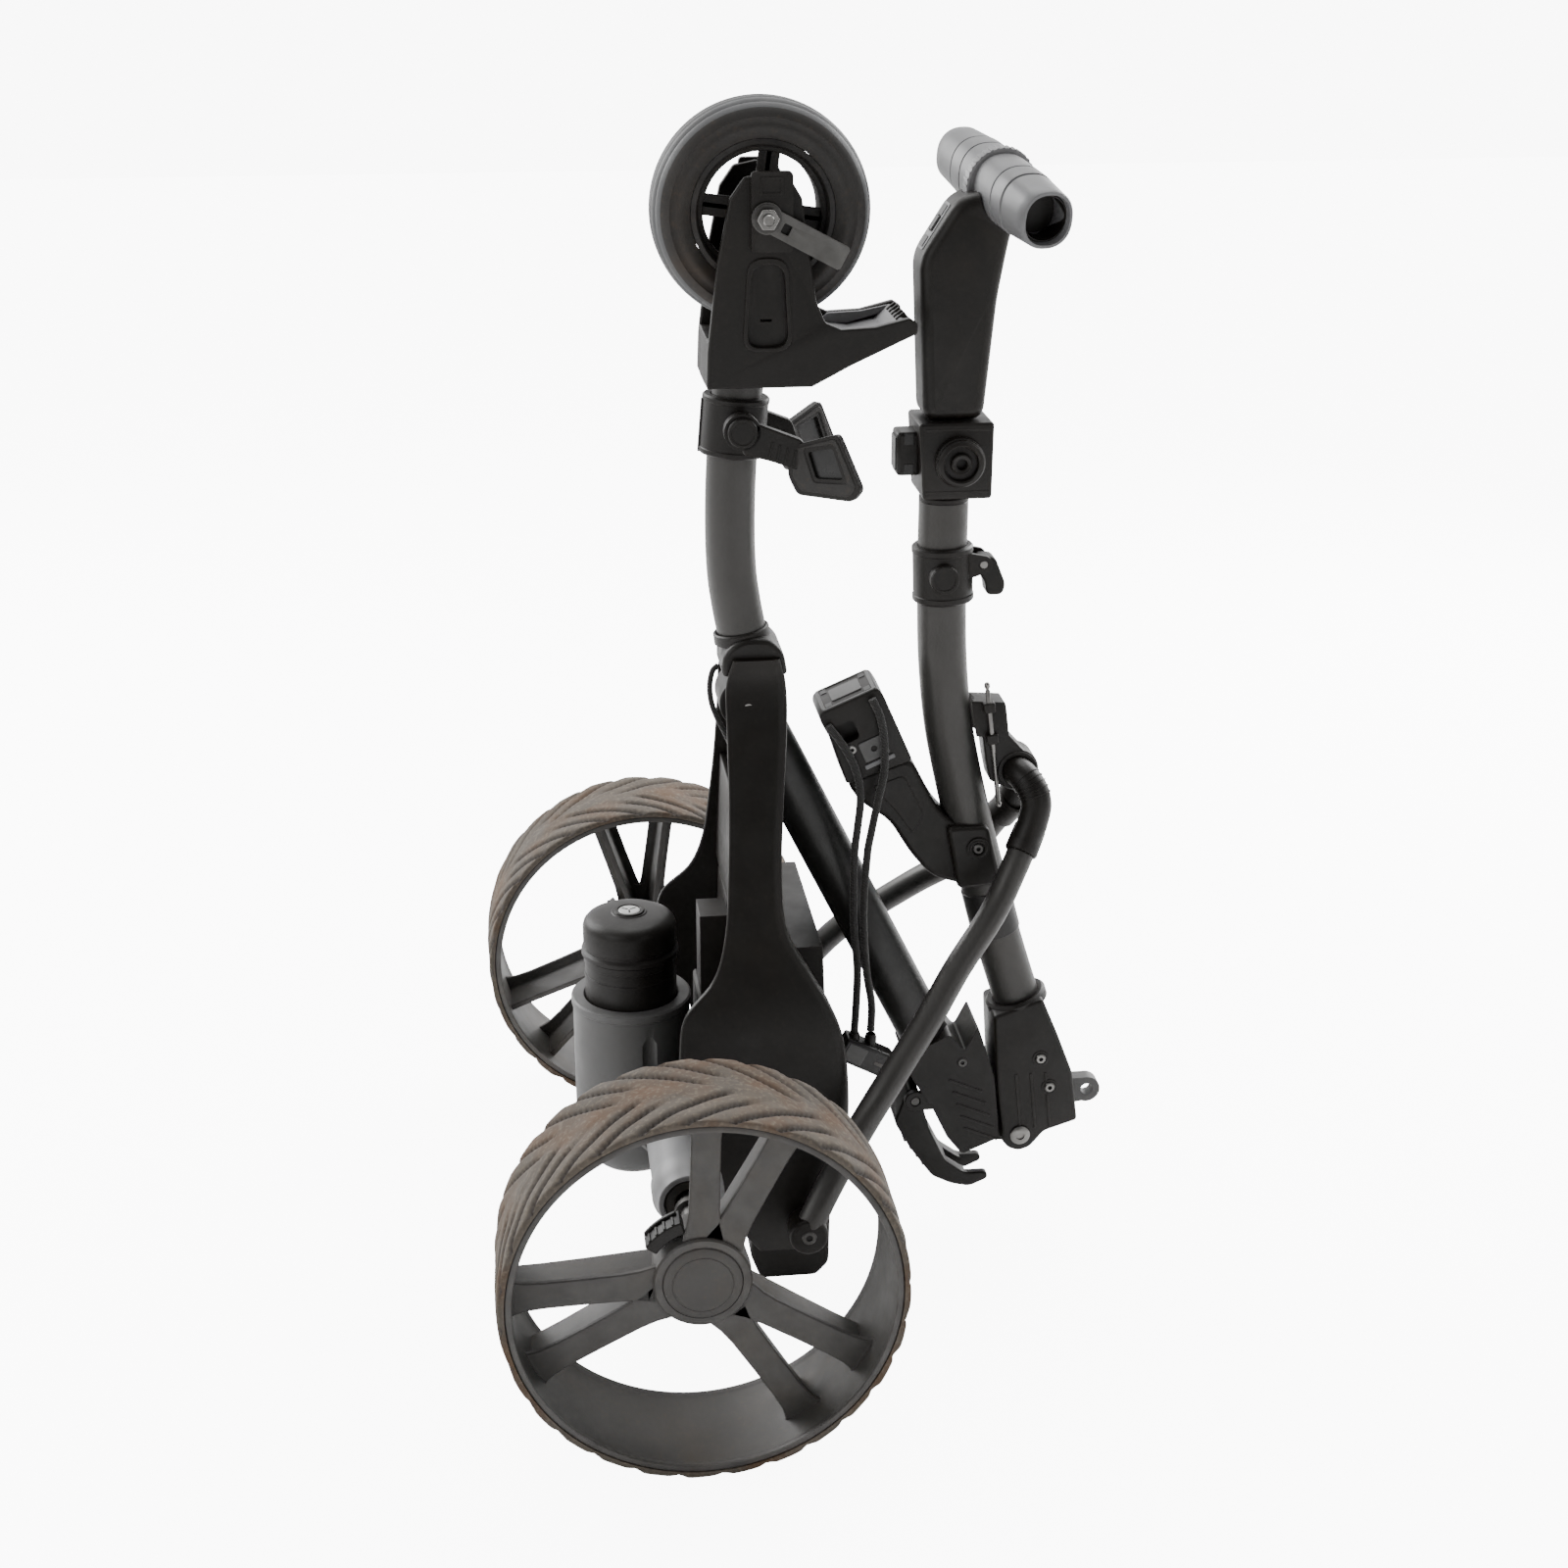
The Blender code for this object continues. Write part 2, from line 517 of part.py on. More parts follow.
def build_drive_wheel(side, word):
    """One drive wheel. Its local Z points away from the trolley."""
    centre = (0, side * WHEEL_GAUGE / 2, AXLE_HEIGHT)
    upright = (-side * math.pi / 2, 0, 0)
    axle = joint("wheel_axis_" + word, *centre)
    half = WHEEL_WIDTH / 2
    bore = WHEEL_RADIUS - TYRE_THICKNESS
    tyre = [(WHEEL_RADIUS, half - 0.003), (WHEEL_RADIUS, -half + 0.003), (WHEEL_RADIUS - 0.0015, -half),
            (bore + GAP, -half), (bore + GAP, half), (WHEEL_RADIUS - 0.0015, half)]
    turned("rear_tyre_" + word, tyre, TYRE_RUBBER, centre, upright, 48, True, axle)

    wall = half - 0.0005
    barrel = [(bore, wall), (bore, -wall), (bore - RIM_WALL, -wall), (bore - RIM_WALL, wall)]
    rim = turned("rear_rim_" + word, barrel, GREY_PLASTIC, centre, upright, 48, True, axle)
    hub = [(0, 0.0180), (HUB_RADIUS, 0.0180), (HUB_RADIUS, -0.0150), (0.0260, -0.0340), (0, -0.0340)]
    unite(rim, turned("hub_" + word, hub, None, centre, upright, 24, False, axle))
    for number, angle in enumerate(SPOKE_ANGLES):
        name = f"spoke_{word}_{number}"
        turn = angle if side < 0 else -(angle + FAR_WHEEL_TURN)
        spoke = t_spoke(name, turn, HUB_RADIUS - 0.008, bore - RIM_WALL / 2)
        unite(rim, add(name, spoke, None, centre, upright, axle))
    cut(rim,
        turned("cap_seat_" + word, [(0, 0.03), (HUB_CAP_RADIUS + GAP, 0.03), (HUB_CAP_RADIUS + GAP, 0.0150),
                                    (0, 0.0150)], None, centre, upright, 24, False, axle),
        rod("shaft_bore_" + word, SHAFT_RADIUS + GAP, (0, centre[1] - side * 0.05, AXLE_HEIGHT),
            (0, centre[1] - side * 0.0100, AXLE_HEIGHT), None, 16, axle))
    cap = [(0, 0.0208), (HUB_CAP_RADIUS - 0.004, 0.0204), (HUB_CAP_RADIUS, 0.0186),
           (HUB_CAP_RADIUS, 0.0150 + GAP), (0, 0.0150 + GAP)]
    turned("hub_cap_" + word, cap, GREY_PLASTIC, centre, upright, 24, False, axle)
    rod("drive_shaft_" + word, SHAFT_RADIUS, (0, side * 0.1700, AXLE_HEIGHT),
        (0, centre[1] - side * (0.0100 + GAP), AXLE_HEIGHT), STEEL, 16, axle)

    turn = math.radians(CATCH_ANGLE if side < 0 else CATCH_ANGLE + FAR_WHEEL_TURN)
    reach = HUB_RADIUS + CATCH_TRAVEL + 0.0060
    place = (reach * math.cos(turn), centre[1] + side * 0.0050, AXLE_HEIGHT + reach * math.sin(turn))
    slot = joint("catch_slide_" + word, *place)
    block("release_catch_" + word, (0.0100, 0.0200, 0.0220), place, BLACK_PLASTIC, -turn, 0.0015, slot)


# ---- Front wheel and fork -----------------------------------------------------------
def build_front_wheel():
    centre = (FRONT_WHEEL[0], 0, FRONT_WHEEL[1])
    upright = (math.pi / 2, 0, 0)
    axle = joint("front_wheel_axis", *centre)
    half = FRONT_WIDTH / 2
    tyre = [(FRONT_RADIUS, half - 0.018), (FRONT_RADIUS, -half + 0.018), (FRONT_RADIUS - 0.0055, -half + 0.004),
            (FRONT_RADIUS - 0.0110, -half), (FRONT_TYRE_BORE + 0.006, -half), (FRONT_TYRE_BORE + GAP, -half + 0.004),
            (FRONT_TYRE_BORE + GAP, half - 0.004), (FRONT_TYRE_BORE + 0.006, half), (FRONT_RADIUS - 0.0110, half),
            (FRONT_RADIUS - 0.0055, half - 0.004)]
    turned("front_tyre", tyre, SOFT_RUBBER, centre, upright, 40, True, axle)
    wall = half - 0.0045
    barrel = [(FRONT_TYRE_BORE, wall), (FRONT_TYRE_BORE, -wall), (FRONT_TYRE_BORE - 0.006, -wall),
              (FRONT_TYRE_BORE - 0.009, -wall + 0.008), (FRONT_TYRE_BORE - 0.009, wall - 0.008),
              (FRONT_TYRE_BORE - 0.006, wall)]
    rim = turned("front_rim", barrel, GREY_PLASTIC, centre, upright, 40, True, axle)
    unite(rim, across("front_hub", 0.0140, FRONT_WHEEL, -0.0260, 0.0260, sides=20, hang=axle))
    for number, angle in enumerate(FRONT_SPOKE_ANGLES):
        turn = math.radians(angle)
        length = FRONT_TYRE_BORE - 0.006 - 0.011
        reach = 0.011 + length / 2
        place = (centre[0] + reach * math.cos(turn), 0, centre[2] + reach * math.sin(turn))
        unite(rim, block(f"front_spoke_{number}", (length, 0.0250, 0.0050), place, None, -turn, hang=axle))
    cut(rim, across("front_bore", FRONT_AXLE_RADIUS + GAP, FRONT_WHEEL, -0.04, 0.04, sides=12, hang=axle))

    leg = ((0.0320, 0.7005), (0.0330, 0.7264), (0.0400, 0.7860), (0.0490, 0.8300), (0.0570, 0.8425),
           (0.0745, 0.8465), (0.0910, 0.8425), (0.0985, 0.8300), (0.1085, 0.7600), (0.1150, 0.7450),
           (0.1260, 0.7400), (0.1500, 0.7410), (0.1740, 0.7470), (0.1800, 0.7430), (0.1800, 0.7360),
           (0.1340, 0.7150), (0.1060, 0.7005))
    window = ((0.0600, 0.7290), (0.0890, 0.7290), (0.0860, 0.7860), (0.0640, 0.7860))
    fork = plate("fork", leg, -FORK_INNER - FORK_WALL, -FORK_INNER, BLACK_PLASTIC)
    unite(fork,
          plate("fork_leg_far", leg, FORK_INNER, FORK_INNER + FORK_WALL, None),
          plate("fork_base", ((0.0320, 0.7005), (0.0335, 0.7330), (0.1000, 0.7330), (0.1060, 0.7005)),
                -FORK_INNER - 0.001, FORK_INNER + 0.001, None))
    pad = FORK_INNER + FORK_WALL
    for side in (-1, 1):
        unite(fork, block(f"axle_pad_{side + 1}", (0.0290, 0.0100, 0.0540), (0.0775, side * pad, 0.8215), None))
    cut(fork,
        plate("fork_window", window, -0.06, 0.06, None, corner=0.008),
        across("fork_bore", FRONT_AXLE_RADIUS + GAP, FRONT_WHEEL, -0.06, 0.06, sides=12),
        across("wheel_room", FRONT_RADIUS + 0.004, FRONT_WHEEL, -FORK_INNER, FORK_INNER, sides=40),
        socket("fork_socket", in_middle(FRONT_LINE[4:] + ((0.0607, 0.7195),)), MAIN_TUBE + GAP))

    scoop = ((0.1090, 0.7100), (0.1310, 0.7185), (0.1765, 0.7380), (0.1785, 0.7430), (0.1700, 0.7450),
             (0.1600, 0.7350), (0.1400, 0.7310), (0.1250, 0.7330), (0.1170, 0.7380), (0.1090, 0.7380))
    inner = FORK_INNER - GAP
    plate("bag_rest_scoop", scoop, -inner, inner, PALE_GREY)

    outer = pad + 0.0050
    nut = outer + 0.0040
    profile = [(0, nut + 0.0060), (0.0075, nut + 0.0060), (0.0075, nut), (FRONT_AXLE_RADIUS, nut),
               (FRONT_AXLE_RADIUS, -outer - GAP), (0.0075, -outer - GAP), (0.0075, -outer - 0.0060), (0, -outer - 0.0060)]
    turned("front_axle", profile, STEEL, centre, upright, 12)
    lever_axis = joint("wheel_lever_axis", centre[0], -outer, centre[2])
    direction = math.radians(-28)
    length = 0.0600
    middle = (centre[0] + length / 2 * math.cos(direction), -outer - 0.0019,
              centre[2] + length / 2 * math.sin(direction))
    lever = block("wheel_lever", (length, 0.0030, 0.0175), middle, STEEL, -direction, hang=lever_axis)
    unite(lever, across("lever_eye", 0.0110, FRONT_WHEEL, -outer - 0.0034, -outer - 0.0004, hang=lever_axis))
    cut(lever, across("lever_bore", FRONT_AXLE_RADIUS + GAP, FRONT_WHEEL, -0.06, -0.04, sides=12, hang=lever_axis))


def build_lower_cradle():
    """The lower bag cradle: a collar on the front tube and two hinged wings."""
    ring = socket("lower_collar", in_middle(((0.0529, 0.6460), (0.0565, 0.6885))), 0.0242)
    ring.data.materials.append(BLACK_PLASTIC)
    for side in (-1, 1):
        ends = sorted((side * 0.0200, side * 0.0380))
        heads = sorted((side * 0.0379, side * 0.0410))
        unite(ring, across(f"cradle_stub_{side + 1}", 0.0075, CRADLE_PIVOT, *ends, sides=16),
              across(f"cradle_head_{side + 1}", 0.0107, CRADLE_PIVOT, *heads, sides=20))
    cut(ring, socket("collar_bore", in_middle(FRONT_LINE[4:]), MAIN_TUBE))
    axis = joint("cradle_axis", CRADLE_PIVOT[0], 0, CRADLE_PIVOT[1])
    arm = ((CRADLE_PIVOT[0], 0.6530), (0.0760, 0.6480), (0.0990, 0.6400), (0.1040, 0.6500), (0.1000, 0.6620),
           (CRADLE_PIVOT[0], 0.6790))
    # The pads are drawn flat from the point where they meet the arm, then swung outwards
    pad = ((-0.0050, 0.0010), (0.0330, 0.0140), (0.0360, 0.0130), (0.0550, -0.0230), (0.0480, -0.0320),
           (0.0020, -0.0330), (-0.0060, -0.0200))
    hole = ((0.0110, -0.0010), (0.0310, 0.0040), (0.0400, -0.0170), (0.0180, -0.0190))
    for side, word in ((-1, "near"), (1, "far")):
        low, high = sorted((side * 0.0278, side * 0.0374))
        wing = plate("lower_wing_" + word, arm, low, high, BLACK_PLASTIC, hang=axis)
        shapes = [plate(f"wing_{kind}_{word}", outline, -half, half, None, corner=corner, hang=axis)
                  for kind, outline, half, corner in (("pad", pad, 0.0035, 0.004), ("hole", hole, 0.02, 0.002))]
        for shape in shapes:
            shape.location = (0.0960, side * 0.0330, 0.6560)
            shape.rotation_euler.z = side * PAD_SWING
        unite(wing, across("wing_eye_" + word, 0.0130, CRADLE_PIVOT, low, high, hang=axis), shapes[0])
        cut(wing, shapes[1],
            across("wing_bore_" + word, 0.0075 + GAP, CRADLE_PIVOT, low - 0.01, high + 0.01, sides=16, hang=axis))


# ---- Main tubes and knuckle ---------------------------------------------------------
def build_lower_frame():
    axis = joint("neck_axis", NECK_PIVOT[0], 0, NECK_PIVOT[1])
    eye = across("lower_tube", 0.0200, NECK_PIVOT, -0.0205, 0.0205, GRAPHITE, 24, axis)
    line = solid_of(tube("lower_tube_bar", in_middle(LOWER_LINE), LOWER_TUBE, None, 6, axis))
    unite(eye, line)
    cut(eye, across("neck_bore", PIN_RADIUS + GAP, NECK_PIVOT, -0.03, 0.03, sides=16, hang=axis))

    half = ((0.1830, 0.1620), (0.2195, 0.1810), (0.2316, 0.1660), (0.2420, 0.1867), (0.2490, 0.1650),
            (0.2560, 0.1408), (0.2595, 0.1100), (0.2605, 0.0950), (0.2600, 0.0855), (0.2318, 0.0735),
            (0.2190, 0.0900), (0.2075, 0.1150), (0.1905, 0.1430))
    body = plate("knuckle_lower", half, -KNUCKLE_HALF, KNUCKLE_HALF, BLACK_PLASTIC, hang=axis)
    tongue = [(0.2450, 0.1000), (0.2450, 0.0800)] + circle(KNUCKLE_PIVOT, 0.0130, -110, 110, 10)
    unite(body, plate("knuckle_tongue", tongue, -TONGUE_HALF, TONGUE_HALF, None, hang=axis))
    for side in (-1, 1):
        low, high = sorted((side * 0.0190, side * 0.0240))
        lug = circle(LATCH_PIVOT, 0.0085, 60, 250, 8) + [(0.2080, 0.1150), (0.2000, 0.1380)]
        unite(body, plate(f"latch_lug_{side + 1}", lug, low, high, None, hang=axis))
    start = Vector((LOWER_LINE[1][0], 0, LOWER_LINE[1][1]))
    along = (start - Vector((NECK_PIVOT[0], 0, NECK_PIVOT[1]))).normalized()
    cut(body,
        rod("lower_socket", LOWER_TUBE + GAP, start + along * GAP, start - along * 0.08, None, 28, axis),
        across("tongue_bore", PIN_RADIUS + GAP, KNUCKLE_PIVOT, -0.03, 0.03, sides=16, hang=axis),
        across("latch_bore", 0.0035 + GAP, LATCH_PIVOT, -0.03, 0.03, sides=12, hang=axis))
    outer = KNUCKLE_HALF + GAP
    pin = [(0, outer + 0.0025), (0.0080, outer + 0.0020), (0.0080, outer), (PIN_RADIUS, outer),
           (PIN_RADIUS, -outer), (0.0080, -outer), (0.0080, -outer - 0.0020), (0, -outer - 0.0025)]
    turned("knuckle_pin", pin, STEEL, (KNUCKLE_PIVOT[0], 0, KNUCKLE_PIVOT[1]), (math.pi / 2, 0, 0), 16, False, axis)

    latch_axis = joint("latch_axis", LATCH_PIVOT[0], 0, LATCH_PIVOT[1])
    lever = ((0.1880, 0.1320), (0.1777, 0.1017), (0.1905, 0.0780), (0.2090, 0.0511), (0.2250, 0.0430),
             (0.2400, 0.0395), (0.2550, 0.0460), (0.2540, 0.0520), (0.2360, 0.0520), (0.2200, 0.0640),
             (0.2060, 0.0930), (0.1970, 0.1290))
    latch = plate("latch_lever", lever, -PRONG_OUTER, PRONG_OUTER, BLACK_PLASTIC, hang=latch_axis)
    cut(latch,
        block("latch_gap", (0.0400, 2 * PRONG_INNER, 0.0300), (0.2565, 0, 0.0460), None, hang=latch_axis),
        block("lug_gap", (0.0300, 2 * (LUG_HALF + 2 * GAP), 0.0300), (0.2285, 0, 0.0480), None, hang=latch_axis))
    unite(latch, across("latch_trunnion", 0.0035, LATCH_PIVOT, -0.0238, 0.0238, sides=12, hang=latch_axis))


def build_upper_frame():
    axis = joint("knuckle_axis", KNUCKLE_PIVOT[0], 0, KNUCKLE_PIVOT[1])
    tube("upper_tube", smooth(in_middle(UPPER_LINE), 1), MAIN_TUBE, GRAPHITE, 5, axis)
    half = ((0.2545, 0.1945), (0.2930, 0.2076), (0.3065, 0.1750), (0.3195, 0.1411), (0.3254, 0.0980),
            (0.2985, 0.0893), (0.2925, 0.0818), (0.2870, 0.0755), (0.2785, 0.0728), (0.2700, 0.0755),
            (0.2640, 0.0830), (0.2640, 0.0950), (0.2615, 0.1100), (0.2580, 0.1400))
    body = plate("knuckle_upper", half, -KNUCKLE_HALF, KNUCKLE_HALF, BLACK_PLASTIC, hang=axis)
    lug = [(0.3100, 0.1260), (0.3100, 0.1020)] + circle(LUG, 0.0108, -110, 100, 8)
    unite(body, plate("strap_lug", lug, -LUG_HALF, LUG_HALF, None, hang=axis))
    sector = circle(KNUCKLE_PIVOT, 0.0680, -12, 56, 6) + circle(KNUCKLE_PIVOT, 0.0400, 56, -12, 6)
    for side in (-1, 1):
        ends = sorted((side * (PRONG_INNER - 0.0005), side * (PRONG_OUTER + 0.0005)))
        cut(body, plate(f"prong_slot_{side + 1}", sector, *ends, None, hang=axis))
    cut(body,
        block("tongue_slot", (0.12, 2 * (TONGUE_HALF + 0.0004), 0.0500),
              (0.2900, 0, KNUCKLE_PIVOT[1] + 0.0148 - 0.0250), None, hang=axis),
        socket("upper_socket", in_middle(UPPER_LINE[:3]), MAIN_TUBE, axis),
        across("cheek_bore", PIN_RADIUS + GAP, KNUCKLE_PIVOT, -0.04, 0.04, sides=16, hang=axis),
        across("lug_bore", 0.0050, LUG, -0.02, 0.02, sides=16, hang=axis))

    # Upper bag support: a bracket round the tube with an arm, and a head on the arm
    arm = ((0.1358, 0.3950), (0.1852, 0.4116), (0.2057, 0.3715), (0.2200, 0.3560), (0.2400, 0.3530),
           (0.2400, 0.3060), (0.2250, 0.3060), (0.2035, 0.3133), (0.1870, 0.3329), (0.1700, 0.3612),
           (0.1470, 0.3775))
    wrap = ((0.2130, 0.3560), (0.2455, 0.3560), (0.2520, 0.3300), (0.2580, 0.3070), (0.2230, 0.3040))
    bracket = plate("bag_bracket", arm, -0.0160, 0.0160, BLACK_PLASTIC, hang=axis)
    unite(bracket,
          plate("bracket_wrap", wrap, -0.0230, 0.0230, None, hang=axis),
          across("bracket_bolt", 0.0070, (0.2375, 0.3384), -0.0255, 0.0255, sides=16, hang=axis))
    cut(bracket, socket("bracket_bore", in_middle(UPPER_LINE[2:7]), MAIN_TUBE, axis))
    head = ((0.1157, 0.4531), (0.1580, 0.4712), (0.1630, 0.4640), (0.1855, 0.4124), (0.1354, 0.3955),
            (0.1240, 0.4300), (0.1150, 0.4470))
    support = plate("bag_head", head, -HEAD_HALF, HEAD_HALF, BLACK_PLASTIC, bevel=0.0015, hang=axis)
    cut(support, block("head_pocket", (0.0240, 0.0200, 0.0300), (0.1430, -HEAD_HALF, 0.4400), None,
                       math.radians(20), hang=axis))
    tube("bungee_left", smooth(BUNGEE_LEFT, 2), BUNGEE_RADIUS, CORD, 2, axis)
    tube("bungee_right", smooth(BUNGEE_RIGHT, 2), BUNGEE_RADIUS, CORD, 2, axis)
    block("bungee_hook", (0.0420, 0.0180, 0.0200), (0.1480, -0.0440, 0.1790), PALE_GREY,
          math.radians(28), 0.0020, axis)

    collar = socket("clamp_collar", in_middle(((0.2098, 0.5310), (0.2084, 0.5735))), 0.0228, axis)
    collar.data.materials.append(BLACK_PLASTIC)
    unite(collar, across("collar_cap", 0.0107, (0.2061, 0.5530), -0.0280, -0.0150, hang=axis))
    for side in (-1, 1):
        low, high = sorted((side * 0.0096, side * 0.0135))
        ear = [(0.2215, 0.5700), (0.2215, 0.5480)] + circle(CLAMP_PIVOT, 0.0065, -80, 80, 6)
        unite(collar, plate(f"clamp_ear_{side + 1}", ear, low, high, None, hang=axis))
    cut(collar, socket("clamp_bore", in_middle(UPPER_LINE[7:]), MAIN_TUBE, axis),
        across("ear_bore", 0.0030 + GAP, CLAMP_PIVOT, -0.02, 0.02, sides=12, hang=axis))
    clamp_axis = joint("clamp_axis", CLAMP_PIVOT[0], 0, CLAMP_PIVOT[1])
    lever = ((0.2343, 0.5645), (0.2400, 0.5650), (0.2470, 0.5640), (0.2554, 0.5430), (0.2530, 0.5350),
             (0.2410, 0.5350), (0.2400, 0.5450), (0.2345, 0.5530))
    cam = plate("clamp_lever", lever, -0.0090, 0.0090, BLACK_PLASTIC, bevel=0.0010, hang=clamp_axis)
    unite(cam, across("clamp_pin", 0.0030, CLAMP_PIVOT, -0.0134, 0.0134, sides=12, hang=clamp_axis))

    base = rod("tilt_tongue", MAIN_TUBE, (0.2085, 0, 0.6073), (0.2085, 0, 0.6110), BLACK_PLASTIC, 24, axis)
    tongue = [(0.2010, 0.6105), (0.2225, 0.6105)] + circle(TILT_PIVOT, 0.0130, -10, 190, 10)
    unite(base, plate("tilt_tongue_plate", tongue, -0.0155, 0.0155, None, hang=axis))
    cut(base, across("tilt_bore", 0.0040 + GAP, TILT_PIVOT, -0.03, 0.03, sides=12, hang=axis))


# ---- Handle -------------------------------------------------------------------------
def build_handle():
    axis = joint("tilt_axis", TILT_PIVOT[0], 0, TILT_PIVOT[1])
    outline = ((0.1885, 0.6130), (0.1850, 0.6690), (0.2395, 0.6690), (0.2390, 0.6130))
    body = plate("joint_block", outline, -BLOCK_HALF, BLOCK_HALF, BLACK_PLASTIC, corner=0.003, hang=axis, steps=1)
    unite(body, block("side_clip", (0.0180, 0.0240, 0.0320), (0.1805, 0, 0.6440), None, hang=axis))
    cut(body,
        block("tongue_room", (0.0520, 2 * CHEEK_GAP, 0.0480), (0.2235, 0, 0.6330), None, hang=axis),
        across("pin_room", 0.0040 + GAP, TILT_PIVOT, -0.03, -0.0150, sides=12, hang=axis))
    across("tilt_pin", 0.0040, TILT_PIVOT, -BLOCK_HALF, CHEEK_GAP - GAP, STEEL, 12, axis)
    knob_axis = joint("knob_axis", TILT_PIVOT[0], -BLOCK_HALF, TILT_PIVOT[1])
    knob = [(0, 0.0120), (0.0070, 0.0120), (0.0080, 0.0070), (0.0120, 0.0070), (0.0135, 0.0110), (0.0170, 0.0100),
            (0.0180, 0.0070), (0.0180, GAP), (0, GAP)]
    turned("joint_knob", knob, BLACK_PLASTIC, (TILT_PIVOT[0], -BLOCK_HALF, TILT_PIVOT[1]),
           (math.pi / 2, 0, 0), 24, False, knob_axis)

    shell = ((0.1893, 0.6693), (0.1842, 0.7840), (0.2100, 0.8250), (0.2380, 0.8330), (0.2540, 0.8200),
             (0.2479, 0.7959), (0.2408, 0.7566), (0.2328, 0.6693))
    housing = plate("handle_housing", shell, -HANDLE_HALF, HANDLE_HALF, BLACK_PLASTIC, bevel=0.0030, hang=axis)
    along = GRIP_RUN
    centre = Vector((GRIP_CENTRE[0], 0, GRIP_CENTRE[1]))
    face = Vector((0.2100 - 0.1842, 0, 0.8250 - 0.7840)).normalized()
    normal = Vector((-face.z, 0, face.x))
    button_at = Vector((0.1980, 0, 0.8060)) + normal * -0.0010
    tilt = math.atan2(-face.z, face.x)
    cut(housing,
        rod("grip_room", GRIP_RADIUS + GAP, centre - along * 0.06, centre + along * 0.06, None, 32, axis),
        rod("dial_room", DIAL_RADIUS + RUNNING, centre + along * (DIAL_PLACE - DIAL_WIDTH / 2 - RUNNING),
            centre + along * (DIAL_PLACE + DIAL_WIDTH / 2 + RUNNING), None, 32, axis),
        block("button_room", (0.0120, 0.0120, 0.0100), button_at, None, tilt, hang=axis))

    quat = along.to_track_quat("Z", "Y").to_euler()
    groove = DIAL_PLACE
    end = GRIP_HALF
    profile = [(0.0150, end), (0.0185, end), (0.0200, end - 0.010), (GRIP_RADIUS, 0.0420),
               (GRIP_RADIUS, groove + DIAL_WIDTH / 2 + GAP), (0.0140, groove + DIAL_WIDTH / 2 + GAP),
               (0.0140, groove - DIAL_WIDTH / 2 - GAP), (GRIP_RADIUS, groove - DIAL_WIDTH / 2 - GAP),
               (GRIP_RADIUS, -0.0420), (0.0200, -end + 0.010), (0.0185, -end), (0.0150, -end),
               (0.0160, -end + 0.030), (0, -end + 0.032)]
    grip = turned("grip_bar", [(0, end - 0.032), (0.0160, end - 0.030)] + profile, PALE_GREY, centre, quat, 32,
                  False, axis)
    grip.name = "grip_bar"
    dial_at = centre + along * DIAL_PLACE
    dial_axis = joint("dial_axis", *dial_at)
    half = DIAL_WIDTH / 2
    ring = [(DIAL_RADIUS - 0.001, half), (DIAL_RADIUS, half - 0.001), (DIAL_RADIUS, -half + 0.001),
            (DIAL_RADIUS - 0.001, -half), (0.0140 + RUNNING, -half), (0.0140 + RUNNING, half)]
    turned("speed_dial", ring, PALE_GREY, dial_at, quat, 28, True, dial_axis)
    button_axis = joint("button_slide", *button_at)
    block("power_button", (0.0110, 0.0110, 0.0050), button_at + normal * 0.0005, PALE_GREY, tilt, 0.0008,
          button_axis)


# ---- Struts -------------------------------------------------------------------------
def build_struts():
    slide = joint("block_slide", CROWN_PIVOT[0], 0, CROWN_PIVOT[1])
    outline = [(0.2309, 0.4535), (0.2575, 0.4515), (0.2588, 0.4450), (0.2612, 0.4250)]
    outline += circle(CROWN_PIVOT, 0.0165, 75, -130, 10)
    outline += [(0.2475, 0.3890), (0.2440, 0.4050), (0.2410, 0.4245), (0.2330, 0.4250)]
    body = plate("crown_block", outline, -BLOCK_SIDE, BLOCK_SIDE, BLACK_PLASTIC, hang=slide)
    pin_low = Vector((0.2542, -BLOCK_SIDE - 0.0030, 0.3686))
    pin_high = Vector((0.2419, -BLOCK_SIDE - 0.0030, 0.4694))
    for share in (0.55, 0.80):
        at = pin_low.lerp(pin_high, share)
        unite(body, block(f"pin_guide_{int(share * 100)}", (0.0090, 0.0090, 0.0080),
                          (at.x, -BLOCK_SIDE - 0.0020, at.z), None, hang=slide))
    cut(body,
        across("crown_bore", CROWN_TUBE + GAP, CROWN_PIVOT, -0.03, 0.03, sides=24, hang=slide),
        solid_of(tube("tube_room", smooth(in_middle(UPPER_LINE[4:9]), 1), MAIN_TUBE + 0.0035, None, 5, slide)),
        rod("pin_bore", LOCK_PIN + GAP, pin_low, pin_high, None, 10, slide))
    pin_axis = joint("lock_pin_slide", *pin_low)
    rod("lock_pin", LOCK_PIN, pin_low, pin_high, STEEL, 10, pin_axis)

    axis = joint("crown_axis", CROWN_PIVOT[0], 0, CROWN_PIVOT[1])
    end = Vector(CROWN_END)
    far = [Vector(point) for point in CROWN_LINE]
    bent = far + [end - CROWN_RUN * 0.006, end - CROWN_RUN * GAP]
    near = [Vector((x, -y, z)) for x, y, z in reversed(bent)]
    tube("strut_crown", near + bent, CROWN_TUBE, BLACK_PLASTIC, 5, axis)
    for side, word in ((-1, "near"), (1, "far")):
        line = [end] + smooth([end + CROWN_RUN * 0.006] + list(LEG_LINE), 2)
        line = [(x, side * y, z) for x, y, z in line]
        leg = solid_of(tube("strut_" + word, line, STRUT_TUBE, GRAPHITE, 4, axis))
        ends = sorted((side * 0.1295, side * 0.1520))
        unite(leg, across("strut_eye_" + word, 0.0145, STRUT_FOOT, *ends, hang=axis))


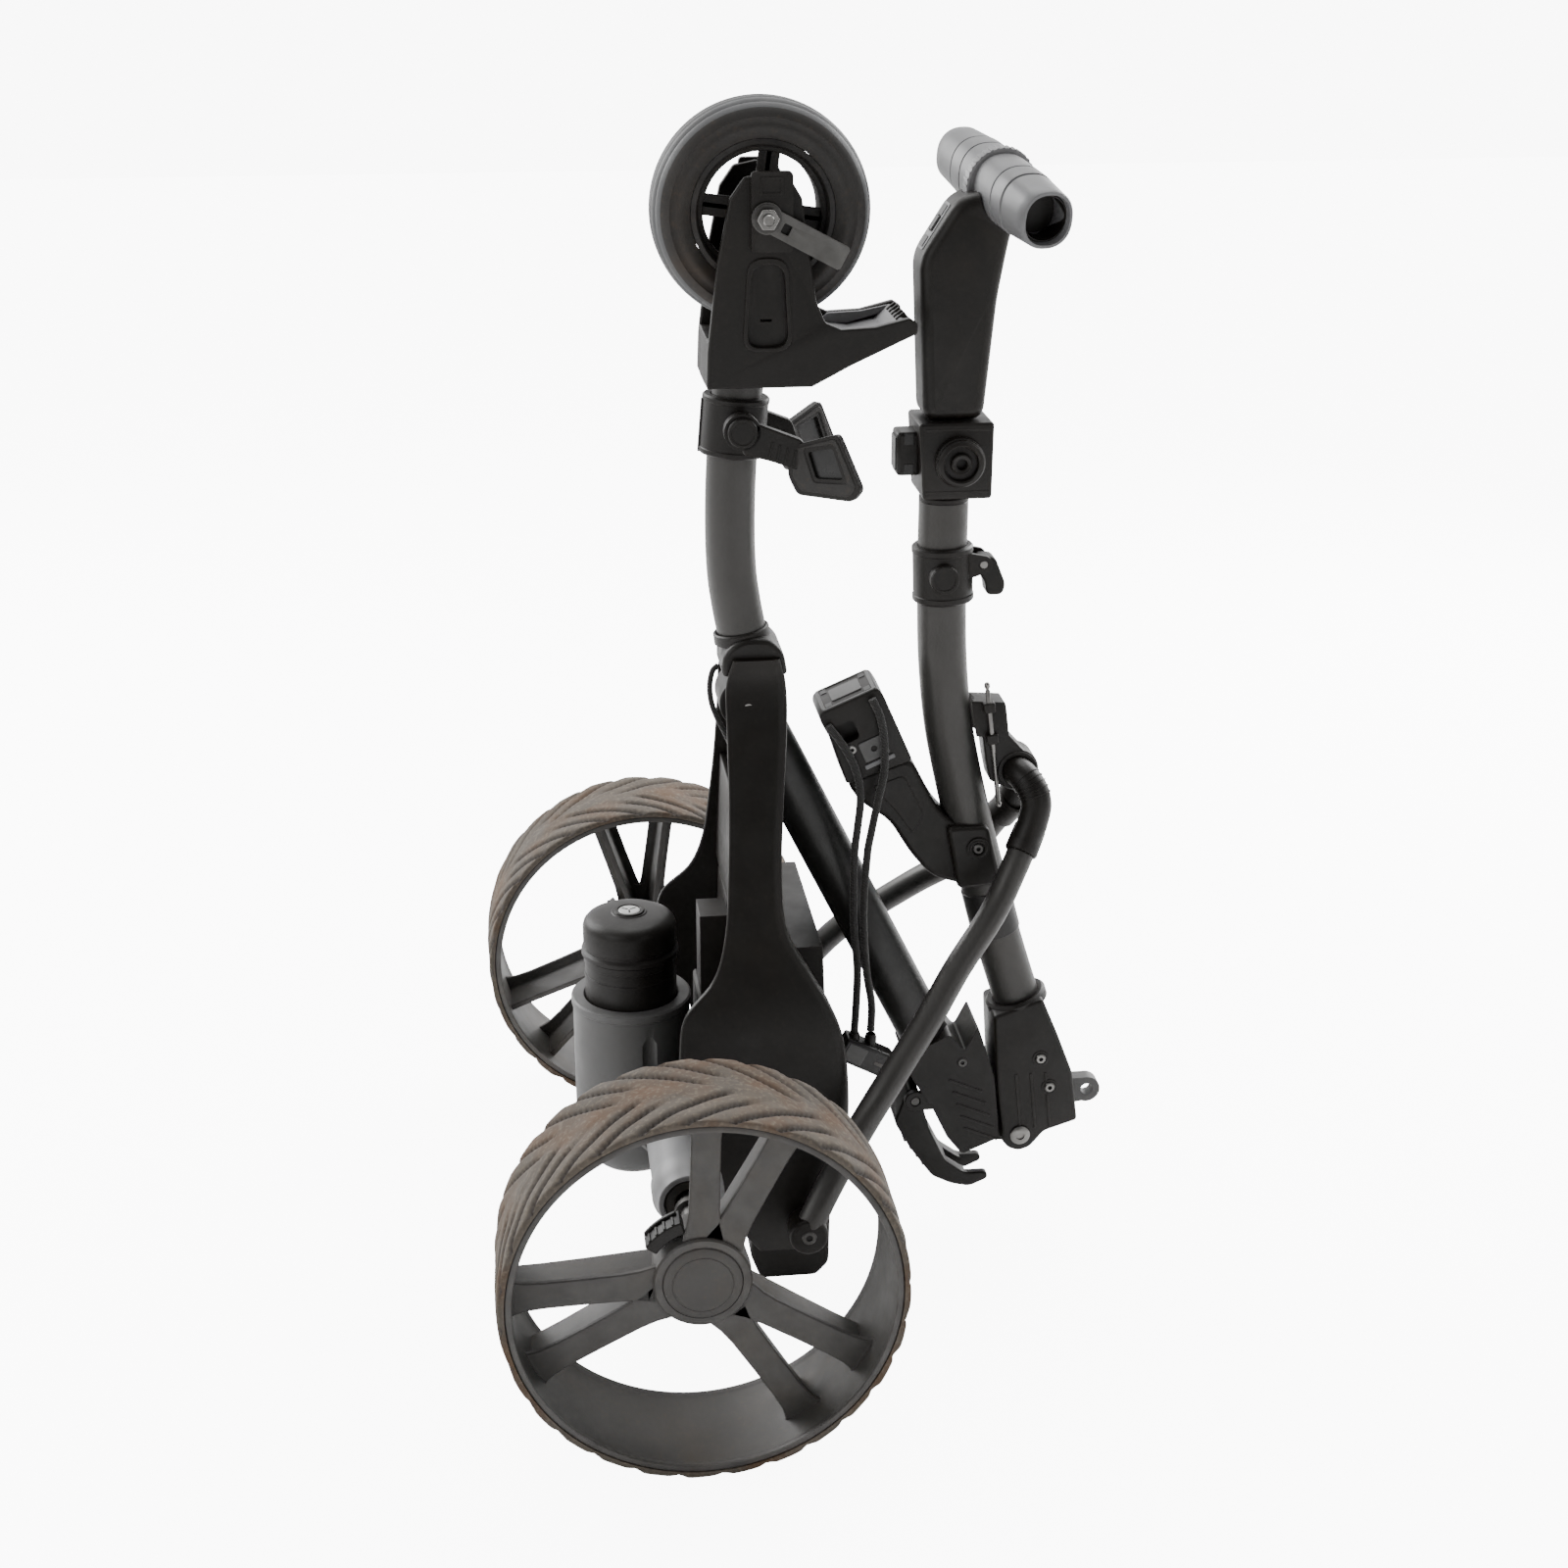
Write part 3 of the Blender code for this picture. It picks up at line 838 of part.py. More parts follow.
build_chassis()
build_drive()
build_drive_wheel(-1, "near")
build_drive_wheel(1, "far")
build_front_wheel()
build_lower_cradle()
build_lower_frame()
build_upper_frame()
build_handle()
build_struts()
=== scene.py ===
"""The looks of a folded electric golf trolley that stands on its drive wheels and its rear foot.

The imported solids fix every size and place. Shapes here are drawn in the trolley's own frame: metres,
origin on the floor under the drive axle, X from the axle towards the folded handle, Y along the axle
(near side at -Y) and Z up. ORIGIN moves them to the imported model's frame.
"""
import logging
import math
from dataclasses import dataclass
from enum import Enum
from typing import Iterable, Sequence

import bmesh
import bpy
import numpy as np
from mathutils import Matrix, Vector


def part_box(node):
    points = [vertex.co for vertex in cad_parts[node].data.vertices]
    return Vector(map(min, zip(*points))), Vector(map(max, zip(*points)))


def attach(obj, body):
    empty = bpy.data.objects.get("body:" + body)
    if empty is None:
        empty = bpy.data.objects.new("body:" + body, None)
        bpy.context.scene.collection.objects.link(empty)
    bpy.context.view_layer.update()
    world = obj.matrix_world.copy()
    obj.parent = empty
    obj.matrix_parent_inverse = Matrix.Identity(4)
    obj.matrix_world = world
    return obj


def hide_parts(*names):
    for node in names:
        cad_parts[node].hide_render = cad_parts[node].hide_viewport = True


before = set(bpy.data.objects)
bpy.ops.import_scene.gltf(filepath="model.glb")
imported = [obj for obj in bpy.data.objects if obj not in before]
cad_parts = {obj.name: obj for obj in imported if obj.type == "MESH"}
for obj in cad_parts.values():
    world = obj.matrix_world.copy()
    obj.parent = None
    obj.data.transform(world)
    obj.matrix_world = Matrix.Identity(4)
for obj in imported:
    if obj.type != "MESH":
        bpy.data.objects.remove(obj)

LOG = logging.getLogger("golf_trolley")
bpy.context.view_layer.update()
AXLE_HEIGHT = 0.140
GAP = 0.0004
Points = Sequence[Sequence[float]]


def axle_origin() -> Vector:
    """The trolley frame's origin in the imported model's frame.

    Returns:
        The point AXLE_HEIGHT under the drive axle, in the middle plane.
    """
    low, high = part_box("rear_tyre_near")
    middle = (low + high) / 2
    return Vector((middle.x, 0, middle.z - AXLE_HEIGHT))


ORIGIN = axle_origin()


class Side(Enum):
    """The two sides of the trolley, with the sign of their Y."""

    NEAR = -1
    FAR = 1

    @property
    def word(self) -> str:
        """The side's name in pieces and bodies."""
        return self.name.lower()


class Slot(Enum):
    """The record's material slots."""

    BLACK = "black_plastic"
    GREY = "grey_plastic"
    PALE = "pale_grey"
    TUBE = "graphite_tube"
    TYRE = "tyre_rubber"
    RUBBER = "soft_rubber"
    STEEL = "steel"
    CORD = "cord"


class Relief(Enum):
    """The kinds of fine surface that a finish can have."""

    MOULDED = "moulded"
    SATIN_METAL = "satin metal"
    BRUSHED = "brushed"
    # Tyre earth, plus a painted shade in the tread grooves.
    EARTH_AND_GROOVE_SHADE = "earth_and_groove_shade"
    BRAIDED = "braided"


# ---- Finishes -----------------------------------------------------------------------
class NodeBench:
    """Short wiring for one material's nodes."""

    def __init__(self, name: str) -> None:
        """Makes the material and keeps its tree and its Principled BSDF.

        Args:
            name: the material's name.
        """
        self.material = bpy.data.materials.new(name)
        self.material.use_nodes = True
        self.tree = self.material.node_tree
        self.shader = self.tree.nodes["Principled BSDF"]
        self.place = self.node("ShaderNodeTexCoord").outputs["Object"]

    def node(self, kind: str, **inputs: object) -> bpy.types.Node:
        """Adds a node and sets or links its inputs.

        Args:
            kind: the node's type name.
            inputs: values or sockets, by the input's name with _ for a space.

        Returns:
            The new node.
        """
        made = self.tree.nodes.new(kind)
        for name, value in inputs.items():
            socket = made.inputs[name.replace("_", " ")]
            if isinstance(value, bpy.types.NodeSocket):
                self.tree.links.new(value, socket)
            else:
                socket.default_value = value
        return made

    def noise(self, scale: float, detail: float = 3.0, stretch: Sequence[float] = (1, 1,
            1)) -> bpy.types.NodeSocket:
        """A noise value from 0 to 1 over the piece.

        Args:
            scale: cells in a metre.
            detail: how many finer layers it has.
            stretch: the cells' squeeze along each axis.

        Returns:
            The noise node's value socket.
        """
        vector = self.place
        if tuple(stretch) != (1, 1, 1):
            vector = self.node("ShaderNodeMapping", Vector=self.place, Scale=stretch).outputs[0]
        return self.node("ShaderNodeTexNoise", Vector=vector, Scale=scale, Detail=detail).outputs[0]

    def spread(self, value: bpy.types.NodeSocket, low: float, high: float,
               to_low: float = 0.0, to_high: float = 1.0) -> bpy.types.NodeSocket:
        """Stretches the range low..high of a value to to_low..to_high, and clamps it.

        Args:
            value: the socket to stretch.
            low: where the range starts.
            high: where it ends.
            to_low: what the start becomes.
            to_high: what the end becomes.

        Returns:
            The stretched value's socket.
        """
        made = self.node("ShaderNodeMapRange", Value=value)
        for number, amount in enumerate((low, high, to_low, to_high), 1):
            made.inputs[number].default_value = amount
        return made.outputs[0]

    def product(self, first: bpy.types.NodeSocket,
            second: bpy.types.NodeSocket | float) -> bpy.types.NodeSocket:
        """The product of a value and another value or number."""
        made = self.tree.nodes.new("ShaderNodeMath")
        made.operation = "MULTIPLY"
        self.tree.links.new(first, made.inputs[0])
        if isinstance(second, bpy.types.NodeSocket):
            self.tree.links.new(second, made.inputs[1])
        else:
            made.inputs[1].default_value = second
        return made.outputs[0]

    def blend(self, share: bpy.types.NodeSocket, under: object,
            over: Sequence[float]) -> bpy.types.NodeSocket:
        """Lays one colour over another.

        Args:
            share: how much of the upper colour shows.
            under: the lower colour, as numbers or a socket.
            over: the upper colour.

        Returns:
            The mixed colour's socket.
        """
        made = self.tree.nodes.new("ShaderNodeMix")
        made.data_type = "RGBA"
        self.tree.links.new(share, made.inputs[0])
        if isinstance(under, bpy.types.NodeSocket):
            self.tree.links.new(under, made.inputs[6])
        else:
            made.inputs[6].default_value = (*under, 1)
        made.inputs[7].default_value = (*over, 1)
        return made.outputs[2]

    def bump(self, height: bpy.types.NodeSocket, strength: float, depth: float) -> None:
        """Adds a bump on top of the bumps that the shader already has.

        Args:
            height: the relief, from 0 to 1.
            strength: the bump's strength.
            depth: the relief's height in metres.
        """
        made = self.node("ShaderNodeBump", Height=height, Strength=strength, Distance=depth)
        socket = self.shader.inputs["Normal"]
        if socket.is_linked:
            self.tree.links.new(socket.links[0].from_socket, made.inputs["Normal"])
        self.tree.links.new(made.outputs[0], socket)


@dataclass(frozen=True)
class Finish:
    """One finish of the trolley, made as a node material on first use."""

    name: str
    slot: Slot
    relief: Relief
    colour: tuple[float, float, float]
    dust: tuple[float, float, float]
    roughness: float
    metallic: float = 0.0
    dusty: float = 0.4
    # Strength of the pale convex edges: a painted highlight, partly edge wear.
    worn: float = 0.5
    grain: float = 1400.0
    depth: float = 0.00012
    sheen: float = 0.0
    coat: float = 0.0
    specular: float = 0.5

    def material(self) -> bpy.types.Material:
        """The finish's material.

        Returns:
            The material, made once and shared by every piece that has the finish.
        """
        found = bpy.data.materials.get("finish_" + self.name)
        return found if found else self.brew()

    def brew(self) -> bpy.types.Material:
        """Builds the node material: colour, dust, a painted highlight on convex edges that is partly edge
        wear, roughness and relief.

        Returns:
            The new material.
        """
        bench = NodeBench("finish_" + self.name)
        shader = bench.shader
        shader.inputs["Metallic"].default_value = self.metallic
        shader.inputs["Coat Weight"].default_value = self.coat
        shader.inputs["Specular IOR Level"].default_value = self.specular
        shader.inputs["Coat Roughness"].default_value = 0.25
        shader.inputs["Sheen Weight"].default_value = self.sheen
        shader.inputs["Sheen Roughness"].default_value = 0.5
        patches = bench.spread(bench.noise(11, 5), 0.42, 0.72)
        specks = bench.spread(bench.noise(230, 4), 0.56, 0.70)
        cover = bench.spread(bench.node("ShaderNodeTexNoise", Vector=bench.place, Scale=38.0,
                Detail=6.0).outputs[0],
                             0.35, 0.75)
        dust = bench.product(bench.product(patches, cover), self.dusty)
        colour = bench.blend(dust, self.colour, self.dust)
        colour = bench.blend(bench.product(specks, self.dusty * 0.35), colour, self.dust)
        # Painted highlight along convex edges (high pointiness), lightened towards a pale copy of the
        # colour; partly edge wear.
        point = bench.node("ShaderNodeNewGeometry").outputs["Pointiness"]
        edge_highlight_and_wear = bench.product(bench.spread(point, 0.515, 0.60), bench.spread(bench.noise(60, 3), 0.3, 0.7))
        pale = tuple(min(1.0, part * 2.2 + 0.03) for part in self.colour)
        colour = bench.blend(bench.product(edge_highlight_and_wear, self.worn), colour, pale)
        if self.relief is Relief.EARTH_AND_GROOVE_SHADE:
            colour = self.add_earth_and_groove_shade(bench, colour)
        bench.tree.links.new(colour, shader.inputs["Base Color"])
        rough = bench.spread(bench.noise(45, 4), 0.25, 0.75, self.roughness - 0.07, self.roughness + 0.09)
        bench.tree.links.new(rough, shader.inputs["Roughness"])
        self.add_relief(bench)
        return bench.material

    def add_earth_and_groove_shade(self, bench: NodeBench, colour: bpy.types.NodeSocket) -> bpy.types.NodeSocket:
        """Dried earth on rubber: brown smears beside the grooves and grit, and a painted shade that darkens
        the grooves themselves.

        Args:
            bench: the material's nodes.
            colour: the colour so far.

        Returns:
            The colour with the earth and the painted groove shade on it.
        """
        groove = bench.node("ShaderNodeAttribute")
        groove.attribute_name = "groove"
        smear = bench.product(bench.spread(bench.noise(24, 5), 0.46, 0.66), 0.75)
        colour = bench.blend(smear, colour, (0.115, 0.062, 0.030))
        grit = bench.product(bench.spread(bench.noise(310, 3), 0.52, 0.66), 0.45)
        colour = bench.blend(grit, colour, (0.20, 0.165, 0.125))
        # Painted shade: the tread grooves darkened almost to black.
        return bench.blend(groove.outputs["Fac"], colour, (0.013, 0.009, 0.007))

    def add_relief(self, bench: NodeBench) -> None:
        """Adds the fine bumps of the finish.

        Args:
            bench: the material's nodes.
        """
        if self.relief is Relief.BRUSHED:
            bench.bump(bench.noise(900, 2, (0.04, 1, 1)), 0.35, 0.00005)
        elif self.relief is Relief.BRAIDED:
            wave = bench.node("ShaderNodeTexWave", Vector=bench.place, Scale=260.0, Distortion=1.5)
            wave.bands_direction = "DIAGONAL"
            bench.bump(wave.outputs[1], 0.8, 0.0004)
        elif self.relief is Relief.SATIN_METAL:
            bench.bump(bench.noise(2600, 2), 0.12, self.depth)
        else:
            bench.bump(bench.noise(self.grain, 3), 0.30, self.depth)
        scratch = bench.spread(bench.noise(90, 6, (1, 1, 0.12)), 0.60, 0.72)
        bench.bump(scratch, 0.10, 0.0001)


WARM_DUST = (0.16, 0.125, 0.09)
BLACK_SHELL = Finish("black_shell", Slot.BLACK, Relief.MOULDED, (0.0095, 0.0078, 0.0064), WARM_DUST, 0.42,
                     dusty=0.06, worn=0.30, specular=0.36)
BLACK_GLOSS = Finish("black_gloss", Slot.BLACK, Relief.MOULDED, (0.012, 0.0115, 0.011), WARM_DUST, 0.30,
                     dusty=0.05, worn=0.3, grain=2400, depth=0.00004)
# The front rim is dark grey; this near-black colour adds painted shade to it.
SHADE_DARKENED_RIM = Finish("shade_darkened_rim", Slot.GREY, Relief.MOULDED, (0.012, 0.011, 0.010), (0.12, 0.08, 0.05), 0.55,
                   dusty=0.30, worn=0.5)
WHEEL_GREY = Finish("wheel_grey", Slot.GREY, Relief.MOULDED, (0.066, 0.063, 0.060), (0.13, 0.095, 0.06),
        0.50,
                    dusty=0.38, worn=0.45)
CASE_GREY = Finish("case_grey", Slot.GREY, Relief.MOULDED, (0.098, 0.097, 0.096), (0.10, 0.08, 0.06), 0.42,
                   dusty=0.16, worn=0.3)
PALE_GREY = Finish("pale_case", Slot.PALE, Relief.MOULDED, (0.22, 0.22, 0.225), (0.16, 0.13, 0.10), 0.38,
                   dusty=0.20, worn=0.3)
GRIP_GREY = Finish("grip_grey", Slot.PALE, Relief.MOULDED, (0.175, 0.175, 0.18), (0.12, 0.11, 0.10), 0.38,
                   dusty=0.25, worn=0.2, grain=2200, depth=0.00005)
GRAPHITE = Finish("graphite", Slot.TUBE, Relief.SATIN_METAL, (0.060, 0.058, 0.055), (0.12, 0.10, 0.08), 0.40,
                  metallic=0.35, dusty=0.10, worn=0.4, depth=0.00003, coat=0.1)
TREAD = Finish("tread", Slot.TYRE, Relief.EARTH_AND_GROOVE_SHADE, (0.092, 0.078, 0.063), (0.17, 0.13, 0.09), 0.82,
               dusty=0.6, worn=0.5, grain=900, depth=0.0003)
SOFT_TYRE = Finish("soft_tyre", Slot.RUBBER, Relief.MOULDED, (0.026, 0.024, 0.022), (0.085, 0.055, 0.032),
        0.62,
                   dusty=0.55, worn=0.3, grain=700, depth=0.0002)
# A lighter copy of the front tyre's rubber for its tread band: a painted highlight.
TREAD_HIGHLIGHT = Finish("tread_highlight", Slot.RUBBER, Relief.MOULDED, (0.085, 0.087, 0.090), (0.16, 0.13, 0.10),
        0.60,
                    dusty=0.3, worn=0.3, grain=700, depth=0.0002)
PLATED = Finish("plated_steel", Slot.STEEL, Relief.BRUSHED, (0.27, 0.265, 0.255), (0.16, 0.12, 0.09), 0.30,
                metallic=1.0, dusty=0.25, worn=0.2)
LEVER_STEEL = Finish("lever_steel", Slot.STEEL, Relief.BRUSHED, (0.130, 0.127, 0.122), (0.12, 0.09, 0.06),
        0.36,
                     metallic=0.9, dusty=0.3, worn=0.3)
DARK_STEEL = Finish("dark_steel", Slot.STEEL, Relief.BRUSHED, (0.10, 0.098, 0.095), (0.10, 0.07, 0.05), 0.42,
                    metallic=0.9, dusty=0.25, worn=0.4)
CORD_BLACK = Finish("cord_black", Slot.CORD, Relief.BRAIDED, (0.014, 0.013, 0.012), (0.10, 0.08, 0.06), 0.75,
                    dusty=0.15, worn=0.1, sheen=0.4)
WHITE_DISC = Finish("white_disc", Slot.PALE, Relief.MOULDED, (0.62, 0.62, 0.60), (0.25, 0.22, 0.18), 0.32,
                    dusty=0.2, worn=0.1, grain=2400, depth=0.00003)


# ---- Mesh tools ---------------------------------------------------------------------
def keep(name: str, data: bpy.types.Mesh, finish: Finish, angle: float = 32) -> bpy.types.Object:
    """Makes the object of a mesh drawn in the trolley frame.

    Args:
        name: the object's name.
        data: its mesh.
        finish: its finish.
        angle: edges sharper than this many degrees stay crisp.

    Returns:
        The object, at ORIGIN.
    """
    data.shade_smooth()
    data.set_sharp_from_angle(angle=math.radians(angle))
    data.materials.clear()
    data.materials.append(finish.material())
    made = bpy.data.objects.new(name, data)
    made.location = ORIGIN
    bpy.context.scene.collection.objects.link(made)
    return made


def mesh_of(bm: bmesh.types.BMesh, name: str, weld: float = 0.000005) -> bpy.types.Mesh:
    """Turns a bmesh into a mesh with its doubles welded and its faces out."""
    bmesh.ops.remove_doubles(bm, verts=bm.verts, dist=weld)
    bmesh.ops.recalc_face_normals(bm, faces=bm.faces)
    data = bpy.data.meshes.new(name)
    bm.to_mesh(data)
    bm.free()
    return data


def rounded(outline: Points, radius: float, steps: int = 5) -> list[Vector]:
    """A closed outline with its corners rounded off.

    Args:
        outline: the corners.
        radius: how far from its corner each curve starts.
        steps: spans in each curve.

    Returns:
        The outline's new points.
    """
    made = []
    for i, place in enumerate(outline):
        corner = Vector(place)
        before = Vector(outline[i - 1]) - corner
        after = Vector(outline[(i + 1) % len(outline)]) - corner
        start = corner + before.normalized() * min(radius, before.length * 0.45)
        end = corner + after.normalized() * min(radius, after.length * 0.45)
        for step in range(steps + 1):
            u = step / steps
            made.append(start * (1 - u) ** 2 + corner * 2 * u * (1 - u) + end * u ** 2)
    return made


def smooth(points: Points, per_span: int = 6) -> list[Vector]:
    """Points on a smooth curve through the given ones.

    Args:
        points: the points to pass through.
        per_span: new points between two given ones.

    Returns:
        The curve's points.
    """
    given = [Vector(point) for point in points]
    padded = [2 * given[0] - given[1]] + given + [2 * given[-1] - given[-2]]
    made = []
    for a, b, c, d in zip(padded, padded[1:], padded[2:], padded[3:]):
        for step in range(per_span):
            u = step / per_span
            made.append(((b * 2) + (c - a) * u + (a * 2 - b * 5 + c * 4 - d) * u ** 2
                         + (b * 3 - a - c * 3 + d) * u ** 3) / 2)
    return made + [given[-1]]


def arc(centre: Sequence[float], radius: float, start: float = 0, end: float = 360,
        count: int = 32) -> list[tuple[float, float]]:
    """Points round a circle or an arc of it.

    Args:
        centre: the circle's middle.
        radius: its radius.
        start: the first angle in degrees.
        end: the last angle in degrees.
        count: spans round it.

    Returns:
        The points, without a second copy of the first on a whole circle.
    """
    whole = abs(end - start) == 360
    turns = [math.radians(start + (end - start) * i / count) for i in range(count + (0 if whole else 1))]
    return [(centre[0] + radius * math.cos(turn), centre[1] + radius * math.sin(turn)) for turn in turns]


def facing(direction: Sequence[float], centre: Sequence[float] = (0, 0, 0)) -> Matrix:
    """The matrix that turns local Z to a direction and moves the origin to a centre."""
    quat = Vector(direction).to_track_quat("Z", "Y")
    return Matrix.Translation(Vector(centre)) @ quat.to_matrix().to_4x4()


def turned(name: str, profile: Points, finish: Finish, place: Matrix, segments: int = 96,
           closed: bool = False, angle: float = 32) -> bpy.types.Object:
    """A turned piece.

    Args:
        name: the piece's name.
        profile: (radius, height) points.
        finish: its finish.
        place: moves the local Z axis to the piece's axis.
        segments: faces round it.
        closed: whether the profile's last point joins its first.
        angle: edges sharper than this stay crisp.

    Returns:
        The piece.
    """
    turns = np.linspace(0, 2 * math.pi, segments, endpoint=False)
    rows = np.array([[radius, height] for radius, height in profile])
    count = len(rows)
    points = np.stack([np.outer(np.cos(turns), rows[:, 0]), np.outer(np.sin(turns), rows[:, 0]),
                       np.outer(np.ones(segments), rows[:, 1])], axis=2).reshape(-1, 3)
    spans = count if closed else count - 1
    faces = [(i * count + j, ((i + 1) % segments) * count + j,
            ((i + 1) % segments) * count + (j + 1) % count,
              i * count + (j + 1) % count) for i in range(segments) for j in range(spans)]
    data = bpy.data.meshes.new(name)
    data.from_pydata(points.tolist(), [], faces)
    bm = bmesh.new()
    bm.from_mesh(data)
    bpy.data.meshes.remove(data)
    data = mesh_of(bm, name)
    data.transform(place)
    return keep(name, data, finish, angle)


def swept(name: str, points: Points, radius: float, finish: Finish, sides: int = 12,
          radii: Sequence[float] | None = None) -> bpy.types.Object:
    """A round bar along points, with filled ends.

    Args:
        name: the piece's name.
        points: the centre line.
        radius: the bar's radius.
        finish: its finish.
        sides: a quarter of the faces round it, less one.
        radii: each point's share of the radius.

    Returns:
        The piece.
    """
    curve = wire(name, points, radius, sides, radii)
    graph = bpy.context.evaluated_depsgraph_get()
    data = bpy.data.meshes.new_from_object(curve.evaluated_get(graph))
    bpy.data.objects.remove(curve)
    bm = bmesh.new()
    bm.from_mesh(data)
    made = keep(name, mesh_of(bm, name), finish)
    return bevelled(made, min(0.0010, radius * 0.2))


def wire(name: str, points: Points, radius: float, sides: int = 3,
         radii: Sequence[float] | None = None) -> bpy.types.Object:
    """A curve object along points, with filled ends; the arguments are those of swept."""
    data = bpy.data.curves.new(name, "CURVE")
    data.dimensions = "3D"
    data.bevel_depth = radius
    data.bevel_resolution = sides
    data.use_fill_caps = True
    spline = data.splines.new("POLY")
    spline.points.add(len(points) - 1)
    for number, point in enumerate(points):
        spline.points[number].co = (*point, 1)
        spline.points[number].radius = radii[number] if radii else 1
    made = bpy.data.objects.new(name, data)
    made.location = ORIGIN
    bpy.context.scene.collection.objects.link(made)
    return made


def bevelled(piece: bpy.types.Object, width: float, segments: int = 3,
        angle: float = 42) -> bpy.types.Object:
    """Rounds the piece's crisp edges."""
    if width > 0:
        step = piece.modifiers.new("edges", "BEVEL")
        step.width = width
        step.segments = segments
        step.limit_method = "ANGLE"
        step.angle_limit = math.radians(angle)
        step.miter_outer = "MITER_ARC"
    return piece


SIDEWAYS = Matrix.Rotation(math.pi / 2, 4, "X")
LENGTHWAYS = Matrix(((0, 0, 1, 0), (1, 0, 0, 0), (0, 1, 0, 0), (0, 0, 0, 1)))


def cutout(name: str, outline: Points, low: float, high: float, finish: Finish, holes: Iterable[Points] = (),
           corner: float = 0.0, bevel: float = 0.0008, place: Matrix | None = None) -> bpy.types.Object:
    """A flat outline with holes, thickened, with rounded edges.

    Args:
        name: the piece's name.
        outline: its points, x and z in the trolley frame unless place says otherwise.
        low: where it starts, along y.
        high: where it ends.
        finish: its finish.
        holes: outlines of the holes through it.
        corner: the rounding of the outline's corners.
        bevel: the rounding of its edges.
        place: another way to put the flat drawing; its local Z then runs from low to high.

    Returns:
        The piece.
    """
    data = bpy.data.curves.new(name, "CURVE")
    data.dimensions = "2D"
    data.fill_mode = "BOTH"
    data.extrude = (high - low) / 2
    for ring in (outline, *holes):
        points = rounded(ring, corner) if corner else [Vector(point) for point in ring]
        spline = data.splines.new("POLY")
        spline.points.add(len(points) - 1)
        for number, point in enumerate(points):
            spline.points[number].co = (point[0], point[1], 0, 1)
        spline.use_cyclic_u = True
    flat = bpy.data.objects.new(name, data)
    bpy.context.scene.collection.objects.link(flat)
    graph = bpy.context.evaluated_depsgraph_get()
    solid = bpy.data.meshes.new_from_object(flat.evaluated_get(graph))
    bpy.data.objects.remove(flat)
    bm = bmesh.new()
    bm.from_mesh(solid)
    bmesh.ops.remove_doubles(bm, verts=bm.verts, dist=0.000005)
    bmesh.ops.dissolve_limit(bm, angle_limit=0.001, verts=bm.verts, edges=bm.edges)
    solid = mesh_of(bm, name)
    middle = (low + high) / 2
    if place is None:
        solid.transform(Matrix.Translation((0, middle, 0)) @ SIDEWAYS)
    else:
        solid.transform(place @ Matrix.Translation((0, 0, middle)))
    return bevelled(keep(name, solid, finish), bevel)


def lofted(name: str, rings: Sequence[Points], finish: Finish, angle: float = 32,
           caps: bool = True) -> bpy.types.Object:
    """A skin over rings of points.

    Args:
        name: the piece's name.
        rings: closed rings with the same number of points.
        finish: its finish.
        angle: edges sharper than this stay crisp.
        caps: whether the first and the last ring are filled.

    Returns:
        The piece.
    """
    bm = bmesh.new()
    rows = [[bm.verts.new(point) for point in ring] for ring in rings]
    count = len(rows[0])
    for upper, lower in zip(rows, rows[1:]):
        for i in range(count):
            bm.faces.new((upper[i], upper[(i + 1) % count], lower[(i + 1) % count], lower[i]))
    if caps:
        bm.faces.new(rows[0])
        bm.faces.new(rows[-1])
    return keep(name, mesh_of(bm, name), finish, angle)


def block(name: str, size: Sequence[float], centre: Sequence[float], finish: Finish, turn: float = 0.0,
          yaw: float = 0.0, bevel: float = 0.001, roll: float = 0.0) -> bpy.types.Object:
    """A box with rounded edges.

    Args:
        name: the piece's name.
        size: its length along X, Y and Z before it is turned.
        centre: its middle.
        finish: its finish.
        turn: its angle about Y, in radians.
        yaw: its angle about Z, in radians.
        bevel: the rounding of its edges.
        roll: its angle about X, in radians.

    Returns:
        The piece.
    """
    bm = bmesh.new()
    bmesh.ops.create_cube(bm, size=1.0)
    bmesh.ops.scale(bm, vec=size, verts=bm.verts)
    data = mesh_of(bm, name)
    data.transform(Matrix.Translation(Vector(centre)) @ Matrix.Rotation(yaw, 4, "Z")
                   @ Matrix.Rotation(turn, 4, "Y") @ Matrix.Rotation(roll, 4, "X"))
    return bevelled(keep(name, data, finish), bevel)


def fused(name: str, pieces: Sequence[bpy.types.Object]) -> bpy.types.Object:
    """Gathers shapes, their modifiers done, as one piece that keeps each one's finish.

    Args:
        name: the new piece's name.
        pieces: the shapes, which are removed.

    Returns:
        The piece.
    """
    graph = bpy.context.evaluated_depsgraph_get()
    bm = bmesh.new()
    finishes: list[bpy.types.Material] = []
    for shape in pieces:
        data = bpy.data.meshes.new_from_object(shape.evaluated_get(graph))
        material = shape.data.materials[0]
        if material not in finishes:
            finishes.append(material)
        for face in data.polygons:
            face.material_index = finishes.index(material)
        bm.from_mesh(data)
        bpy.data.meshes.remove(data)
    for shape in pieces:
        bpy.data.objects.remove(shape)
    data = bpy.data.meshes.new(name)
    bm.to_mesh(data)
    bm.free()
    for material in finishes:
        data.materials.append(material)
    made = bpy.data.objects.new(name, data)
    made.location = ORIGIN
    bpy.context.scene.collection.objects.link(made)
    return made


